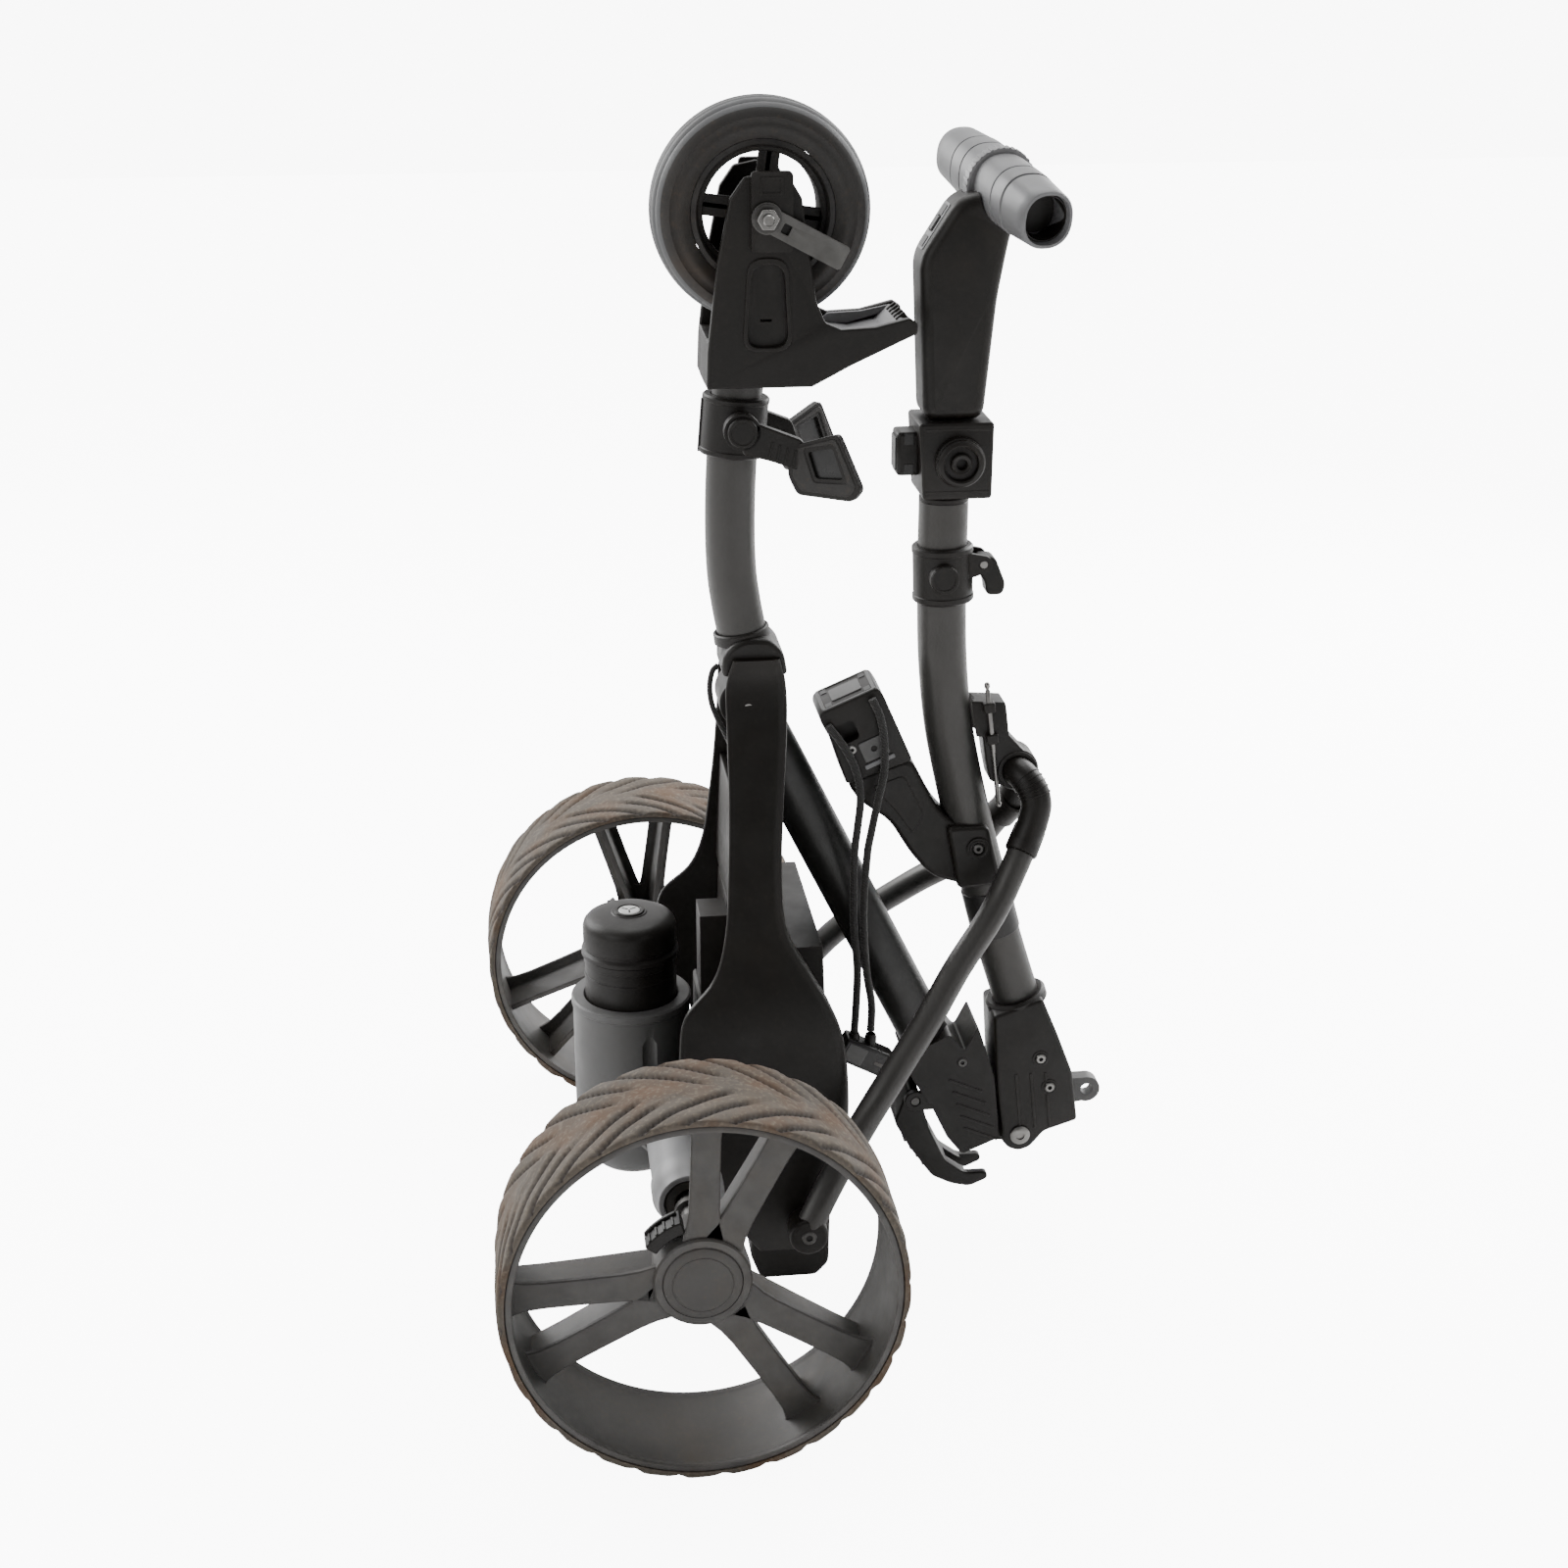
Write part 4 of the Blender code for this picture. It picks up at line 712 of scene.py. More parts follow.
def carved(piece: bpy.types.Object, *tools: bpy.types.Object) -> bpy.types.Object:
    """Cuts the tools' shapes from a piece and removes the tools.

    Args:
        piece: what is cut.
        tools: the cutting shapes.

    Returns:
        The piece, its modifiers done.
    """
    for tool in tools:
        step = piece.modifiers.new("cut", "BOOLEAN")
        step.operation = "DIFFERENCE"
        step.solver = "EXACT"
        step.object = tool
    bpy.context.view_layer.update()
    graph = bpy.context.evaluated_depsgraph_get()
    data = bpy.data.meshes.new_from_object(piece.evaluated_get(graph))
    piece.modifiers.clear()
    piece.data = data
    data.set_sharp_from_angle(angle=math.radians(35))
    for tool in tools:
        bpy.data.objects.remove(tool)
    return piece


def settle(piece: bpy.types.Object, body: str, finish: Finish, *nodes: str) -> bpy.types.Object:
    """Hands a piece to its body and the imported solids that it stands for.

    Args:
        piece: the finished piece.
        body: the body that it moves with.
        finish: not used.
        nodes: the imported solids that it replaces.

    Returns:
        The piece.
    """
    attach(piece, body)
    if nodes:
        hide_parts(*nodes)
    LOG.info("piece %s on body %s", piece.name, body)
    return piece


def dressed(node: str, finish: Finish, bevel: float = 0.0006) -> bpy.types.Object:
    """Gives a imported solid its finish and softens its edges.

    Args:
        node: the solid's name.
        finish: its finish.
        bevel: the rounding of its edges.

    Returns:
        The solid's object.
    """
    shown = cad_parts[node]
    shown.data.materials.clear()
    shown.data.materials.append(finish.material())
    weld = shown.modifiers.new("weld", "WELD")
    weld.merge_threshold = 0.00001
    bevelled(shown, bevel, 2)
    LOG.info("solid %s dressed", node)
    return shown


def screw_head(name: str, centre: Sequence[float], direction: Sequence[float], radius: float,
               finish: Finish) -> bpy.types.Object:
    """A round screw head with a hexagonal socket, facing a direction."""
    place = facing(direction, centre)
    rim = [(radius * 0.42, radius * 0.45), (radius * 0.80, radius * 0.45), (radius, radius * 0.22),
            (radius, -radius),
           (0, -radius), (0, -radius * 0.15), (radius * 0.42, -radius * 0.15)]
    return turned(name, rim, finish, place, 24, True)


# ---- Stage --------------------------------------------------------------------------
@dataclass
class Studio:
    """Camera, soft lights and a pale floor."""

    camera_place: tuple[float, float, float] = (-0.2197, -1.7019, 1.0521)
    camera_tilt: float = 0.3684
    camera_swing: float = -0.1213
    lens: float = 55.6
    floor_size: float = 14.0
    floor_colour: tuple[float, float, float] = (0.90, 0.90, 0.90)
    floor_glow: float = 0.08
    white: float = 9.0

    def build(self) -> None:
        """Makes the camera, the lights, the world and the floor."""
        self.add_camera()
        self.add_floor()
        self.add_world()
        self.add_light("rim_left", (-1.7, 1.5, 1.5), 1.6, 55)
        self.add_light("rim_right", (1.7, 1.3, 1.3), 1.6, 60)
        self.add_light("top", (0.2, 0.9, 2.9), 1.8, 30)
        self.add_light("front_left", (-1.9, -1.5, 1.5), 1.4, 14)
        self.add_light("front_right", (1.8, -2.2, 1.1), 1.4, 5)

    def add_camera(self) -> None:
        """Puts the camera in place and makes it the scene's own."""
        data = bpy.data.cameras.new("camera")
        data.lens = self.lens
        data.sensor_width = 36
        made = bpy.data.objects.new("camera", data)
        made.location = self.camera_place
        made.rotation_euler = (math.pi / 2 - self.camera_tilt, 0, self.camera_swing)
        bpy.context.scene.collection.objects.link(made)
        bpy.context.scene.camera = made

    def add_floor(self) -> None:
        """Makes the floor, a broad pale sheet."""
        bm = bmesh.new()
        bmesh.ops.create_grid(bm, x_segments=8, y_segments=8, size=self.floor_size / 2)
        data = bpy.data.meshes.new("floor")
        bm.to_mesh(data)
        bm.free()
        made = bpy.data.objects.new("floor", data)
        paint = bpy.data.materials.new("floor_paint")
        paint.use_nodes = True
        shader = paint.node_tree.nodes["Principled BSDF"]
        shader.inputs["Base Color"].default_value = (*self.floor_colour, 1)
        shader.inputs["Roughness"].default_value = 0.9
        shader.inputs["Specular IOR Level"].default_value = 0.1
        shader.inputs["Emission Color"].default_value = (1, 1, 1, 1)
        seen = paint.node_tree.nodes.new("ShaderNodeLightPath")
        glow = paint.node_tree.nodes.new("ShaderNodeMix")
        glow.inputs[2].default_value = self.floor_glow
        glow.inputs[3].default_value = self.white
        paint.node_tree.links.new(seen.outputs["Is Camera Ray"], glow.inputs[0])
        paint.node_tree.links.new(glow.outputs[0], shader.inputs["Emission Strength"])
        data.materials.append(paint)
        bpy.context.scene.collection.objects.link(made)

    def add_world(self) -> None:
        """Makes a pale surround that is brighter behind the trolley than before it."""
        world = bpy.data.worlds.new("surround")
        bpy.context.scene.world = world
        world.use_nodes = True
        tree = world.node_tree
        coordinates = tree.nodes.new("ShaderNodeTexCoord")
        split = tree.nodes.new("ShaderNodeSeparateXYZ")
        level = tree.nodes.new("ShaderNodeMapRange")
        for number, amount in enumerate((-0.5, 0.8, 0.16, 1.5), 1):
            level.inputs[number].default_value = amount
        seen = tree.nodes.new("ShaderNodeLightPath")
        mix = tree.nodes.new("ShaderNodeMix")
        mix.inputs[3].default_value = self.white
        back = tree.nodes["Background"]
        back.inputs["Color"].default_value = (1, 1, 1, 1)
        tree.links.new(coordinates.outputs["Generated"], split.inputs[0])
        tree.links.new(split.outputs["Y"], level.inputs[0])
        tree.links.new(level.outputs[0], mix.inputs[2])
        tree.links.new(seen.outputs["Is Camera Ray"], mix.inputs[0])
        tree.links.new(mix.outputs[0], back.inputs["Strength"])

    @staticmethod
    def add_light(name: str, place: Sequence[float], size: float, power: float) -> None:
        """Adds a square soft light that faces the trolley's middle.

        Args:
            name: the light's name.
            place: where it stands.
            size: its side in metres.
            power: its power in watts.
        """
        data = bpy.data.lights.new(name, "AREA")
        data.size = size
        data.energy = power
        made = bpy.data.objects.new(name, data)
        made.location = place
        aim = Vector((0, 0, 0.42)) - Vector(place)
        made.rotation_euler = aim.to_track_quat("-Z", "Y").to_euler()
        bpy.context.scene.collection.objects.link(made)


# ---- Drive wheels -------------------------------------------------------------------
@dataclass
class DriveWheel:
    """One drive wheel with its tyre, rim, hub cap, shaft and release catch.

    The wheel is drawn with its local Z pointing away from the trolley.
    """

    side: Side
    radius: float = 0.1412
    width: float = 0.0880
    gauge: float = 0.5442
    tyre_thickness: float = 0.0060
    rim_wall: float = 0.0035
    hub_radius: float = 0.0340
    cap_radius: float = 0.0275
    shaft_radius: float = 0.0085
    spoke_angles: tuple[float, ...] = (62, 88, 182, 208, 302, 328)
    far_turn: float = 20
    catch_angle: float = 126
    pitches: int = 28

    @property
    def place(self) -> Matrix:
        """The matrix from the wheel's own frame to the trolley's."""
        turn = Matrix.Rotation(-self.side.value * math.pi / 2, 4, "X")
        return Matrix.Translation((0, self.side.value * self.gauge / 2, AXLE_HEIGHT)) @ turn

    def local_angle(self, angle: float) -> float:
        """An angle on the near wheel as this wheel's own angle, in degrees."""
        return angle if self.side is Side.NEAR else -(angle + self.far_turn)

    def build(self) -> None:
        """Builds the wheel's pieces."""
        word = self.side.word
        body = "wheel_" + word
        settle(self.tyre(), body, TREAD, "rear_tyre_" + word)
        settle(self.rim(), body, WHEEL_GREY, "rear_rim_" + word)
        settle(self.cap(), body, WHEEL_GREY, "hub_cap_" + word)
        settle(self.shaft(), body, DARK_STEEL, "drive_shaft_" + word)
        settle(self.catch(), "catch_" + word, BLACK_SHELL, "release_catch_" + word)

    def tread(self, turn: np.ndarray, across: np.ndarray) -> tuple[np.ndarray, np.ndarray]:
        """The tread's relief at places on the tyre.

        Args:
            turn: angles round the tyre, in radians.
            across: places across it, from -1 to 1.

        Returns:
            How far each place lies under the full radius, and how far it is in a groove.
        """
        half = (across > 0) * 0.5
        reach = np.abs(across)
        lean = 2.35 * reach ** 0.92
        phase = turn * self.pitches / (2 * math.pi) + half - lean
        number = np.floor(phase)
        part = phase - number
        odd = np.mod(number, 2)
        start = np.where(odd > 0, 0.30, 0.04)
        fade = np.clip((reach - start) / 0.16, 0, 1)
        fade = fade * fade * (3 - 2 * fade)
        groove = np.exp(-((part - 0.5) / 0.125) ** 2) * fade
        scale = 0.0009 * np.mod(part + 0.5, 1.0) * np.clip((reach - 0.02) / 0.2, 0, 1)
        worn = 0.00022 * np.sin(turn * 9 + across * 2) + 0.00016 * np.sin(turn * 23 + across * 5)
        return 0.0027 * groove + scale + worn + 0.0002, groove

    def tyre(self) -> bpy.types.Object:
        """The tyre, a thin band with long slanting grooves from both shoulders."""
        around, rows = self.pitches * 36, 35
        half = self.width / 2
        bore = self.radius - self.tyre_thickness
        across = np.linspace(-1, 1, rows)
        edge = [(bore, 0.0), (bore + 0.0022, 0.10), (self.radius - 0.0022, 0.65)]
        turns = np.linspace(0, 2 * math.pi, around, endpoint=False)
        loops, marks = [], []
        for base, weight in edge:
            drop, groove = self.tread(turns, np.full(around, -1.0))
            loops.append((base - weight * drop * 0.8, np.full(around, -half)))
            marks.append(groove * weight)
        for value in across:
            drop, groove = self.tread(turns, np.full(around, value))
            crown = 0.0010 * max(0.0, abs(value) - 0.80) / 0.20
            loops.append((self.radius - drop - crown, np.full(around, value * (half - 0.0006))))
            marks.append(groove)
        for base, weight in reversed(edge):
            drop, groove = self.tread(turns, np.full(around, 1.0))
            loops.append((base - weight * drop * 0.8, np.full(around, half)))
            marks.append(groove * weight)
        points = np.stack([np.stack([radius * np.cos(turns), radius * np.sin(turns), height], axis=1)
                           for radius, height in loops], axis=0).reshape(-1, 3)
        count = len(loops)
        faces = [(j * around + i, j * around + (i + 1) % around,
                ((j + 1) % count) * around + (i + 1) % around,
                  ((j + 1) % count) * around + i) for j in range(count) for i in range(around)]
        data = bpy.data.meshes.new("tyre_band_" + self.side.word)
        data.from_pydata(points.tolist(), [], faces)
        groove = data.attributes.new("groove", "FLOAT", "POINT")
        groove.data.foreach_set("value", np.concatenate(marks).astype(np.float32))
        data.transform(self.place)
        return keep(data.name, data, TREAD, 60)

    def spoke(self, angle: float, number: int) -> bpy.types.Object:
        """A spoke: a flat front flange that flares at both ends, and a deep web behind it."""
        bore = self.radius - self.tyre_thickness
        stations = ((0.0250, 0.0150, 0.0290), (0.0330, 0.0140, 0.0290), (0.0420, 0.0118, 0.0285),
                (0.0540, 0.0106, 0.0275),
                    (0.0800, 0.0102, 0.0255), (0.1080, 0.0102, 0.0240), (0.1220, 0.0112, 0.0240),
                    (0.1290, 0.0132, 0.0240), (bore - self.rim_wall / 2, 0.0165, 0.0240))
        rings = []
        turn = Matrix.Rotation(math.radians(angle), 4, "Z")
        for reach, wide, deep in stations:
            web = 0.0030
            section = ((-wide, 0.0142), (-wide + 0.0009, 0.0150), (wide - 0.0009, 0.0150), (wide, 0.0142),
                       (wide, 0.0116), (wide - 0.0012, 0.0108), (web + 0.0016, 0.0098), (web, 0.0078),
                       (web * 0.8, -deep + 0.0008), (web * 0.5, -deep), (-web * 0.5, -deep),
                       (-web * 0.8, -deep + 0.0008), (-web, 0.0078), (-web - 0.0016, 0.0098),
                       (-wide + 0.0012, 0.0108), (-wide, 0.0116))
            rings.append([self.place @ (turn @ Vector((reach, y, z))) for y, z in section])
        return lofted(f"spoke_{number}", rings, WHEEL_GREY, 40)

    def rim(self) -> bpy.types.Object:
        """The rim: a deep barrel with rolled lips, six spokes in pairs, and the hub."""
        bore = self.radius - self.tyre_thickness
        wall, half = self.rim_wall, self.width / 2 - 0.0003
        barrel = [(bore - 0.0003, half - 0.0010), (bore - 0.0003, -half + 0.0010), (bore - 0.0014, -half),
                  (bore - wall - 0.0012, -half), (bore - wall - 0.0018, -half + 0.0016),
                  (bore - wall - 0.0004, -half + 0.0044), (bore - wall, -half + 0.0070),
                  (bore - wall, half - 0.0070), (bore - wall - 0.0004, half - 0.0044),
                  (bore - wall - 0.0018, half - 0.0016), (bore - wall - 0.0012, half), (bore - 0.0014, half)]
        shapes = [turned("barrel", barrel, WHEEL_GREY, self.place, 160, True, 50)]
        front = 0.0150 + 0.0028
        hub = [(self.cap_radius + GAP, 0.0150), (self.cap_radius + GAP, front), (self.hub_radius - 0.0012,
                front),
               (self.hub_radius, front - 0.0014), (self.hub_radius + 0.0006, 0.0060),
               (self.hub_radius - 0.0012, -0.0150),
               (0.0262, -0.0300), (0.0250, -0.0340), (self.shaft_radius + GAP, -0.0340),
               (self.shaft_radius + GAP, 0.0080), (0.0, 0.0080), (0.0, 0.0150)]
        shapes.append(turned("hub", hub, WHEEL_GREY, self.place, 72, False, 35))
        for number, angle in enumerate(self.spoke_angles):
            shapes.append(self.spoke(self.local_angle(angle), number))
        for number in range(0, len(self.spoke_angles), 2):
            shapes.append(self.pair_web(self.spoke_angles[number], self.spoke_angles[number + 1], number))
        return fused("wheel_rim_" + self.side.word, shapes)

    def pair_web(self, first: float, second: float, number: int) -> bpy.types.Object:
        """The rounded web that joins a pair of spokes at the hub."""
        middle = math.radians(self.local_angle((first + second) / 2))
        spread = math.radians(abs(second - first) / 2 + 9)
        inner, crotch, outer = 0.0300, 0.0485, 0.0560
        outline = [(inner * math.cos(middle - spread), inner * math.sin(middle - spread)),
                   (outer * math.cos(middle - spread * 0.62), outer * math.sin(middle - spread * 0.62)),
                   (crotch * math.cos(middle), crotch * math.sin(middle)),
                   (outer * math.cos(middle + spread * 0.62), outer * math.sin(middle + spread * 0.62)),
                   (inner * math.cos(middle + spread), inner * math.sin(middle + spread))]
        return cutout(f"pair_web_{number}", outline, 0.0100, 0.0149, WHEEL_GREY, corner=0.006, bevel=0.0006,
                      place=self.place)

    def cap(self) -> bpy.types.Object:
        """The hub cap: a shallow dome with one fine ring turned into it."""
        edge = self.cap_radius
        dome = [(0, 0.0207), (0.0080, 0.0206), (0.0160, 0.0203), (edge - 0.0072, 0.0199), (edge - 0.0069,
                0.0195),
                (edge - 0.0064, 0.0195), (edge - 0.0061, 0.0198), (edge - 0.0022, 0.0192), (edge - 0.0006,
                0.0186),
                (edge, 0.0176), (edge, 0.0150 + GAP), (0, 0.0150 + GAP)]
        return turned("wheel_cap_" + self.side.word, dome, WHEEL_GREY, self.place, 96, False, 25)

    def shaft(self) -> bpy.types.Object:
        """The plain end of the drive shaft with its grooves and collar."""
        inner = self.gauge / 2 - 0.1700
        radius = self.shaft_radius
        tip = -0.0104
        profile = [(0, tip), (radius - 0.0008, tip), (radius, tip - 0.0008), (radius, -0.0370),
                   (radius - 0.0012, -0.0376), (radius - 0.0012, -0.0392), (radius, -0.0398),
                   (radius, -inner + 0.0300), (radius + 0.0035, -inner + 0.0296), (radius + 0.0035,
                   -inner + 0.0240),
                   (radius, -inner + 0.0236), (radius, -inner), (0, -inner)]
        return turned("wheel_shaft_" + self.side.word, profile, DARK_STEEL, self.place, 48)

    def catch(self) -> bpy.types.Object:
        """The release catch: a ribbed saddle beside the hub."""
        turn = math.radians(self.local_angle(self.catch_angle))
        frame_turn = self.place @ Matrix.Rotation(turn, 4, "Z")
        body = arc((0, 0), 0.0472, -19, 19, 14) + arc((0, 0), 0.0378, 19, -19, 14)
        lip = arc((0, 0), 0.0492, -16, 16, 12) + arc((0, 0), 0.0440, 16, -16, 12)
        shapes = [cutout("saddle", body, -0.0050, 0.0130, BLACK_SHELL, bevel=0.0010, place=frame_turn),
                  cutout("saddle_lip", lip, -0.0030, 0.0005, BLACK_SHELL, bevel=0.0008, place=frame_turn)]
        for number in range(4):
            angle = -12 + number * 8
            rib = arc((0, 0), 0.0481, angle - 1.2, angle + 1.2, 2) + arc((0, 0), 0.0460, angle + 1.2,
                    angle - 1.2, 2)
            shapes.append(cutout(f"saddle_rib_{number}", rib, 0.0015, 0.0120, BLACK_SHELL, bevel=0.0004,
                                 place=frame_turn))
        return fused("hub_catch_" + self.side.word, shapes)


# ---- Front wheel and fork -----------------------------------------------------------
@dataclass
class FrontWheel:
    """The front wheel, its fork, the axle with its lever, and the bag rest's scoop."""

    centre: tuple[float, float] = (0.0737, 0.8178)
    radius: float = 0.0769
    width: float = 0.055
    bore: float = 0.0500
    axle_radius: float = 0.004
    spoke_angles: tuple[float, ...] = (82, 172, 262, 352)
    fork_inner: float = 0.0330
    fork_wall: float = 0.0070
    lever_angle: float = -28
    leg: tuple[tuple[float, float], ...] = (
        (0.0320, 0.7005), (0.0330, 0.7264), (0.0400, 0.7860), (0.0490, 0.8300), (0.0590, 0.8440),
        (0.0745, 0.8472),
        (0.0900, 0.8440), (0.0985, 0.8300), (0.1085, 0.7600), (0.1150, 0.7450), (0.1260, 0.7400),
        (0.1500, 0.7410),
        (0.1740, 0.7470), (0.1800, 0.7430), (0.1800, 0.7360), (0.1340, 0.7150), (0.1060, 0.7005))

    @property
    def place(self) -> Matrix:
        """The matrix that lays local Z along the axle, towards the near side."""
        return Matrix.Translation((self.centre[0], 0, self.centre[1])) @ SIDEWAYS

    def build(self) -> None:
        """Builds the wheel, the fork and what is on them."""
        settle(self.tyre(), "front_wheel", SOFT_TYRE, "front_tyre")
        settle(self.rim(), "front_wheel", SHADE_DARKENED_RIM, "front_rim")
        settle(self.fork(), "chassis", BLACK_SHELL, "fork")
        settle(self.scoop(), "chassis", PALE_GREY, "bag_rest_scoop")
        settle(self.axle(), "chassis", PLATED, "front_axle")
        settle(self.lever(), "axle_lever", LEVER_STEEL, "wheel_lever")

    def tyre(self) -> bpy.types.Object:
        """The solid tyre: a round tread with fine grooves and stepped walls."""
        half, top = self.width / 2, self.radius
        tread = [(top - 0.0060, half - 0.0038)]
        for number in range(25):
            share = 1 - number / 12
            height = (half - 0.0050) * share
            drop = 0.0050 * abs(share) ** 3
            groove = 0.0011 if number in (3, 7, 12, 17, 21) else 0
            tread.append((top - drop - groove, height))
        tread.append((top - 0.0060, -half + 0.0038))
        wall = [(top - 0.0092, half - 0.0010), (top - 0.0120, half), (top - 0.0128, half - 0.0006),
                (self.bore + 0.0100, half - 0.0004), (self.bore + 0.0090, half), (self.bore + 0.0060,
                half - 0.0004),
                (self.bore + GAP, half - 0.0040)]
        inner = [(radius, -height) for radius, height in reversed(wall)]
        profile = tread + [(radius, -height) for radius, height in wall] + [(r, -h) for r, h in inner]
        made = turned("front_wheel_tyre", profile, SOFT_TYRE, self.place, 144, True, 50)
        made.data.materials.append(TREAD_HIGHLIGHT.material())
        axis = Vector((self.centre[0], 0, self.centre[1]))
        # The tread faces get the lighter rubber: a painted highlight on the same tyre.
        for face in made.data.polygons:
            across = face.center - axis
            reach = math.hypot(across.x, across.z)
            if reach > top - 0.0062 and abs(across.y) < half - 0.0040:
                face.material_index = 1
        return made

    def rim(self) -> bpy.types.Object:
        """The rim: a stepped dish, four spokes and the hub."""
        wall = self.width / 2 - 0.0045
        edge = self.bore
        profile = [(edge, wall), (edge, -wall), (edge - 0.0035, -wall - 0.0006), (edge - 0.0050,
                -wall + 0.0010),
                   (edge - 0.0056, -wall + 0.0050), (edge - 0.0082, -wall + 0.0056), (edge - 0.0090,
                   -wall + 0.0085),
                   (edge - 0.0090, wall - 0.0085), (edge - 0.0082, wall - 0.0056), (edge - 0.0056,
                   wall - 0.0050),
                   (edge - 0.0050, wall - 0.0010), (edge - 0.0035, wall + 0.0006)]
        shapes = [turned("dish", profile, SHADE_DARKENED_RIM, self.place, 112, True, 40)]
        hub = [(0.0120, 0.0265), (0.0140, 0.0250), (0.0148, 0.0100), (0.0148, -0.0100), (0.0140, -0.0250),
               (0.0120, -0.0265), (self.axle_radius + GAP, -0.0265), (self.axle_radius + GAP, 0.0265)]
        shapes.append(turned("front_hub", hub, SHADE_DARKENED_RIM, self.place, 48, True))
        for number, angle in enumerate(self.spoke_angles):
            turn = math.radians(angle)
            reach = (0.0120 + edge - 0.0080) / 2
            centre = (self.centre[0] + reach * math.cos(turn), 0, self.centre[1] + reach * math.sin(turn))
            length = edge - 0.0080 - 0.0120
            shapes.append(block(f"web_{number}", (length, 0.0250, 0.0050), centre, SHADE_DARKENED_RIM, -turn,
                    bevel=0.0010))
            shapes.append(block(f"flange_{number}", (length, 0.0030, 0.0150), (centre[0], -0.0110,
                    centre[2]),
                                SHADE_DARKENED_RIM, -turn, bevel=0.0010))
        return fused("front_wheel_rim", shapes)

    def fork(self) -> bpy.types.Object:
        """The fork: two shaped legs on a socket, with a ringed window, an axle pad and ribs."""
        pad = self.fork_inner + self.fork_wall
        window = ((0.0600, 0.7290), (0.0890, 0.7290), (0.0860, 0.7860), (0.0640, 0.7860))
        shapes = []
        for side in (-1, 1):
            low, high = sorted((side * self.fork_inner, side * pad))
            shapes.append(cutout(f"leg_{side + 1}", self.leg, low, high, BLACK_SHELL,
                    [rounded(window, 0.010)], 0.0,
                                 0.0014))
            ring_out = ((0.0570, 0.7260), (0.0920, 0.7260), (0.0890, 0.7905), (0.0610, 0.7905))
            low, high = sorted((side * (pad - 0.0020), side * (pad + 0.0014)))
            shapes.append(cutout(f"window_ring_{side + 1}", rounded(ring_out, 0.012), low, high, BLACK_SHELL,
                                 [rounded(window, 0.010)], 0.0, 0.0008))
            low, high = sorted((side * (self.fork_inner + 0.0006), side * (self.fork_inner + 0.0030)))
            slit = ((0.0700, 0.7460), (0.0780, 0.7460), (0.0780, 0.7478), (0.0700, 0.7478))
            shapes.append(cutout(f"window_back_{side + 1}", rounded(window, 0.010), low, high, BLACK_SHELL,
                    [slit],
                                 0.0, 0.0))
            low, high = sorted((side * (pad - 0.0010), side * (pad + 0.0050)))
            axle_pad = ((0.0632, 0.7945), (0.0918, 0.7945), (0.0918, 0.8485), (0.0632, 0.8485))
            shapes.append(cutout(f"axle_pad_{side + 1}", axle_pad, low, high, BLACK_SHELL,
                                 [arc(self.centre, self.axle_radius + GAP, count=20)], 0.0035, 0.0010))
            low, high = sorted((side * (pad + 0.0040), side * (pad + 0.0056)))
            slot_outline = ((0.0690, 0.8330), (0.0850, 0.8330), (0.0850, 0.8450), (0.0690, 0.8450))
            hollow = ((0.0705, 0.8345), (0.0835, 0.8345), (0.0835, 0.8435), (0.0705, 0.8435))
            shapes.append(cutout(f"pad_frame_{side + 1}", slot_outline, low, high, BLACK_SHELL, [hollow],
                    0.0012,
                                 0.0004))
        base = ((0.0320, 0.7005), (0.0335, 0.7330), (0.1000, 0.7330), (0.1060, 0.7005))
        low, high = -self.fork_inner - 0.0010, self.fork_inner + 0.0010
        for number, (first, last) in enumerate(((low, -0.0190), (0.0190, high))):
            shapes.append(cutout(f"base_{number}", base, first, last, BLACK_SHELL, bevel=0.0012))
        for number, wall in enumerate((((0.0320, 0.7005), (0.0335, 0.7330), (0.0440, 0.7330),
                (0.0420, 0.7005)),
                                       ((0.0800, 0.7005), (0.0805, 0.7330), (0.1000, 0.7330),
                                       (0.1060, 0.7005)),
                                       ((0.0400, 0.7195), (0.0400, 0.7330), (0.0900, 0.7330),
                                       (0.0900, 0.7195)))):
            shapes.append(cutout(f"base_wall_{number}", wall, -0.0195, 0.0195, BLACK_SHELL, bevel=0.0006))
        for number, x in enumerate((0.0420, 0.0560, 0.0860)):
            shapes.append(block(f"base_rib_{number}", (0.0018, 0.0480, 0.0100), (x, 0, 0.6990 + 0.0040),
                    BLACK_SHELL,
                                bevel=0.0004))
        return fused("fork_shell", shapes)

    def scoop(self) -> bpy.types.Object:
        """The bag rest: a pale shallow scoop between the fork's arms, ridged at its tip."""
        inner = self.fork_inner - GAP
        lower = ((0.1090, 0.7105), (0.1310, 0.7185), (0.1765, 0.7380), (0.1785, 0.7430))
        upper = ((0.1700, 0.7448), (0.1600, 0.7352), (0.1400, 0.7312), (0.1250, 0.7332), (0.1170, 0.7378),
                 (0.1090, 0.7378))
        shapes = [cutout("scoop_bed", [*lower, *upper], -inner, inner, PALE_GREY, bevel=0.0010)]
        for number in range(5):
            shapes.append(block(f"tip_ridge_{number}", (0.0080, 0.0030, 0.0050),
                    (0.1715, -0.0200 + number * 0.0100, 0.7440),
                                BLACK_SHELL, math.radians(-38), bevel=0.0006))
        for side in (-1, 1):
            low, high = sorted((side * inner, side * (inner - 0.0030)))
            cheek = ((0.1180, 0.7330), (0.1400, 0.7320), (0.1640, 0.7385), (0.1700, 0.7445),
                    (0.1500, 0.7405),
                     (0.1260, 0.7395))
            shapes.append(cutout(f"cheek_{side + 1}", cheek, low, high, PALE_GREY, bevel=0.0006))
        return fused("scoop_tray", shapes)

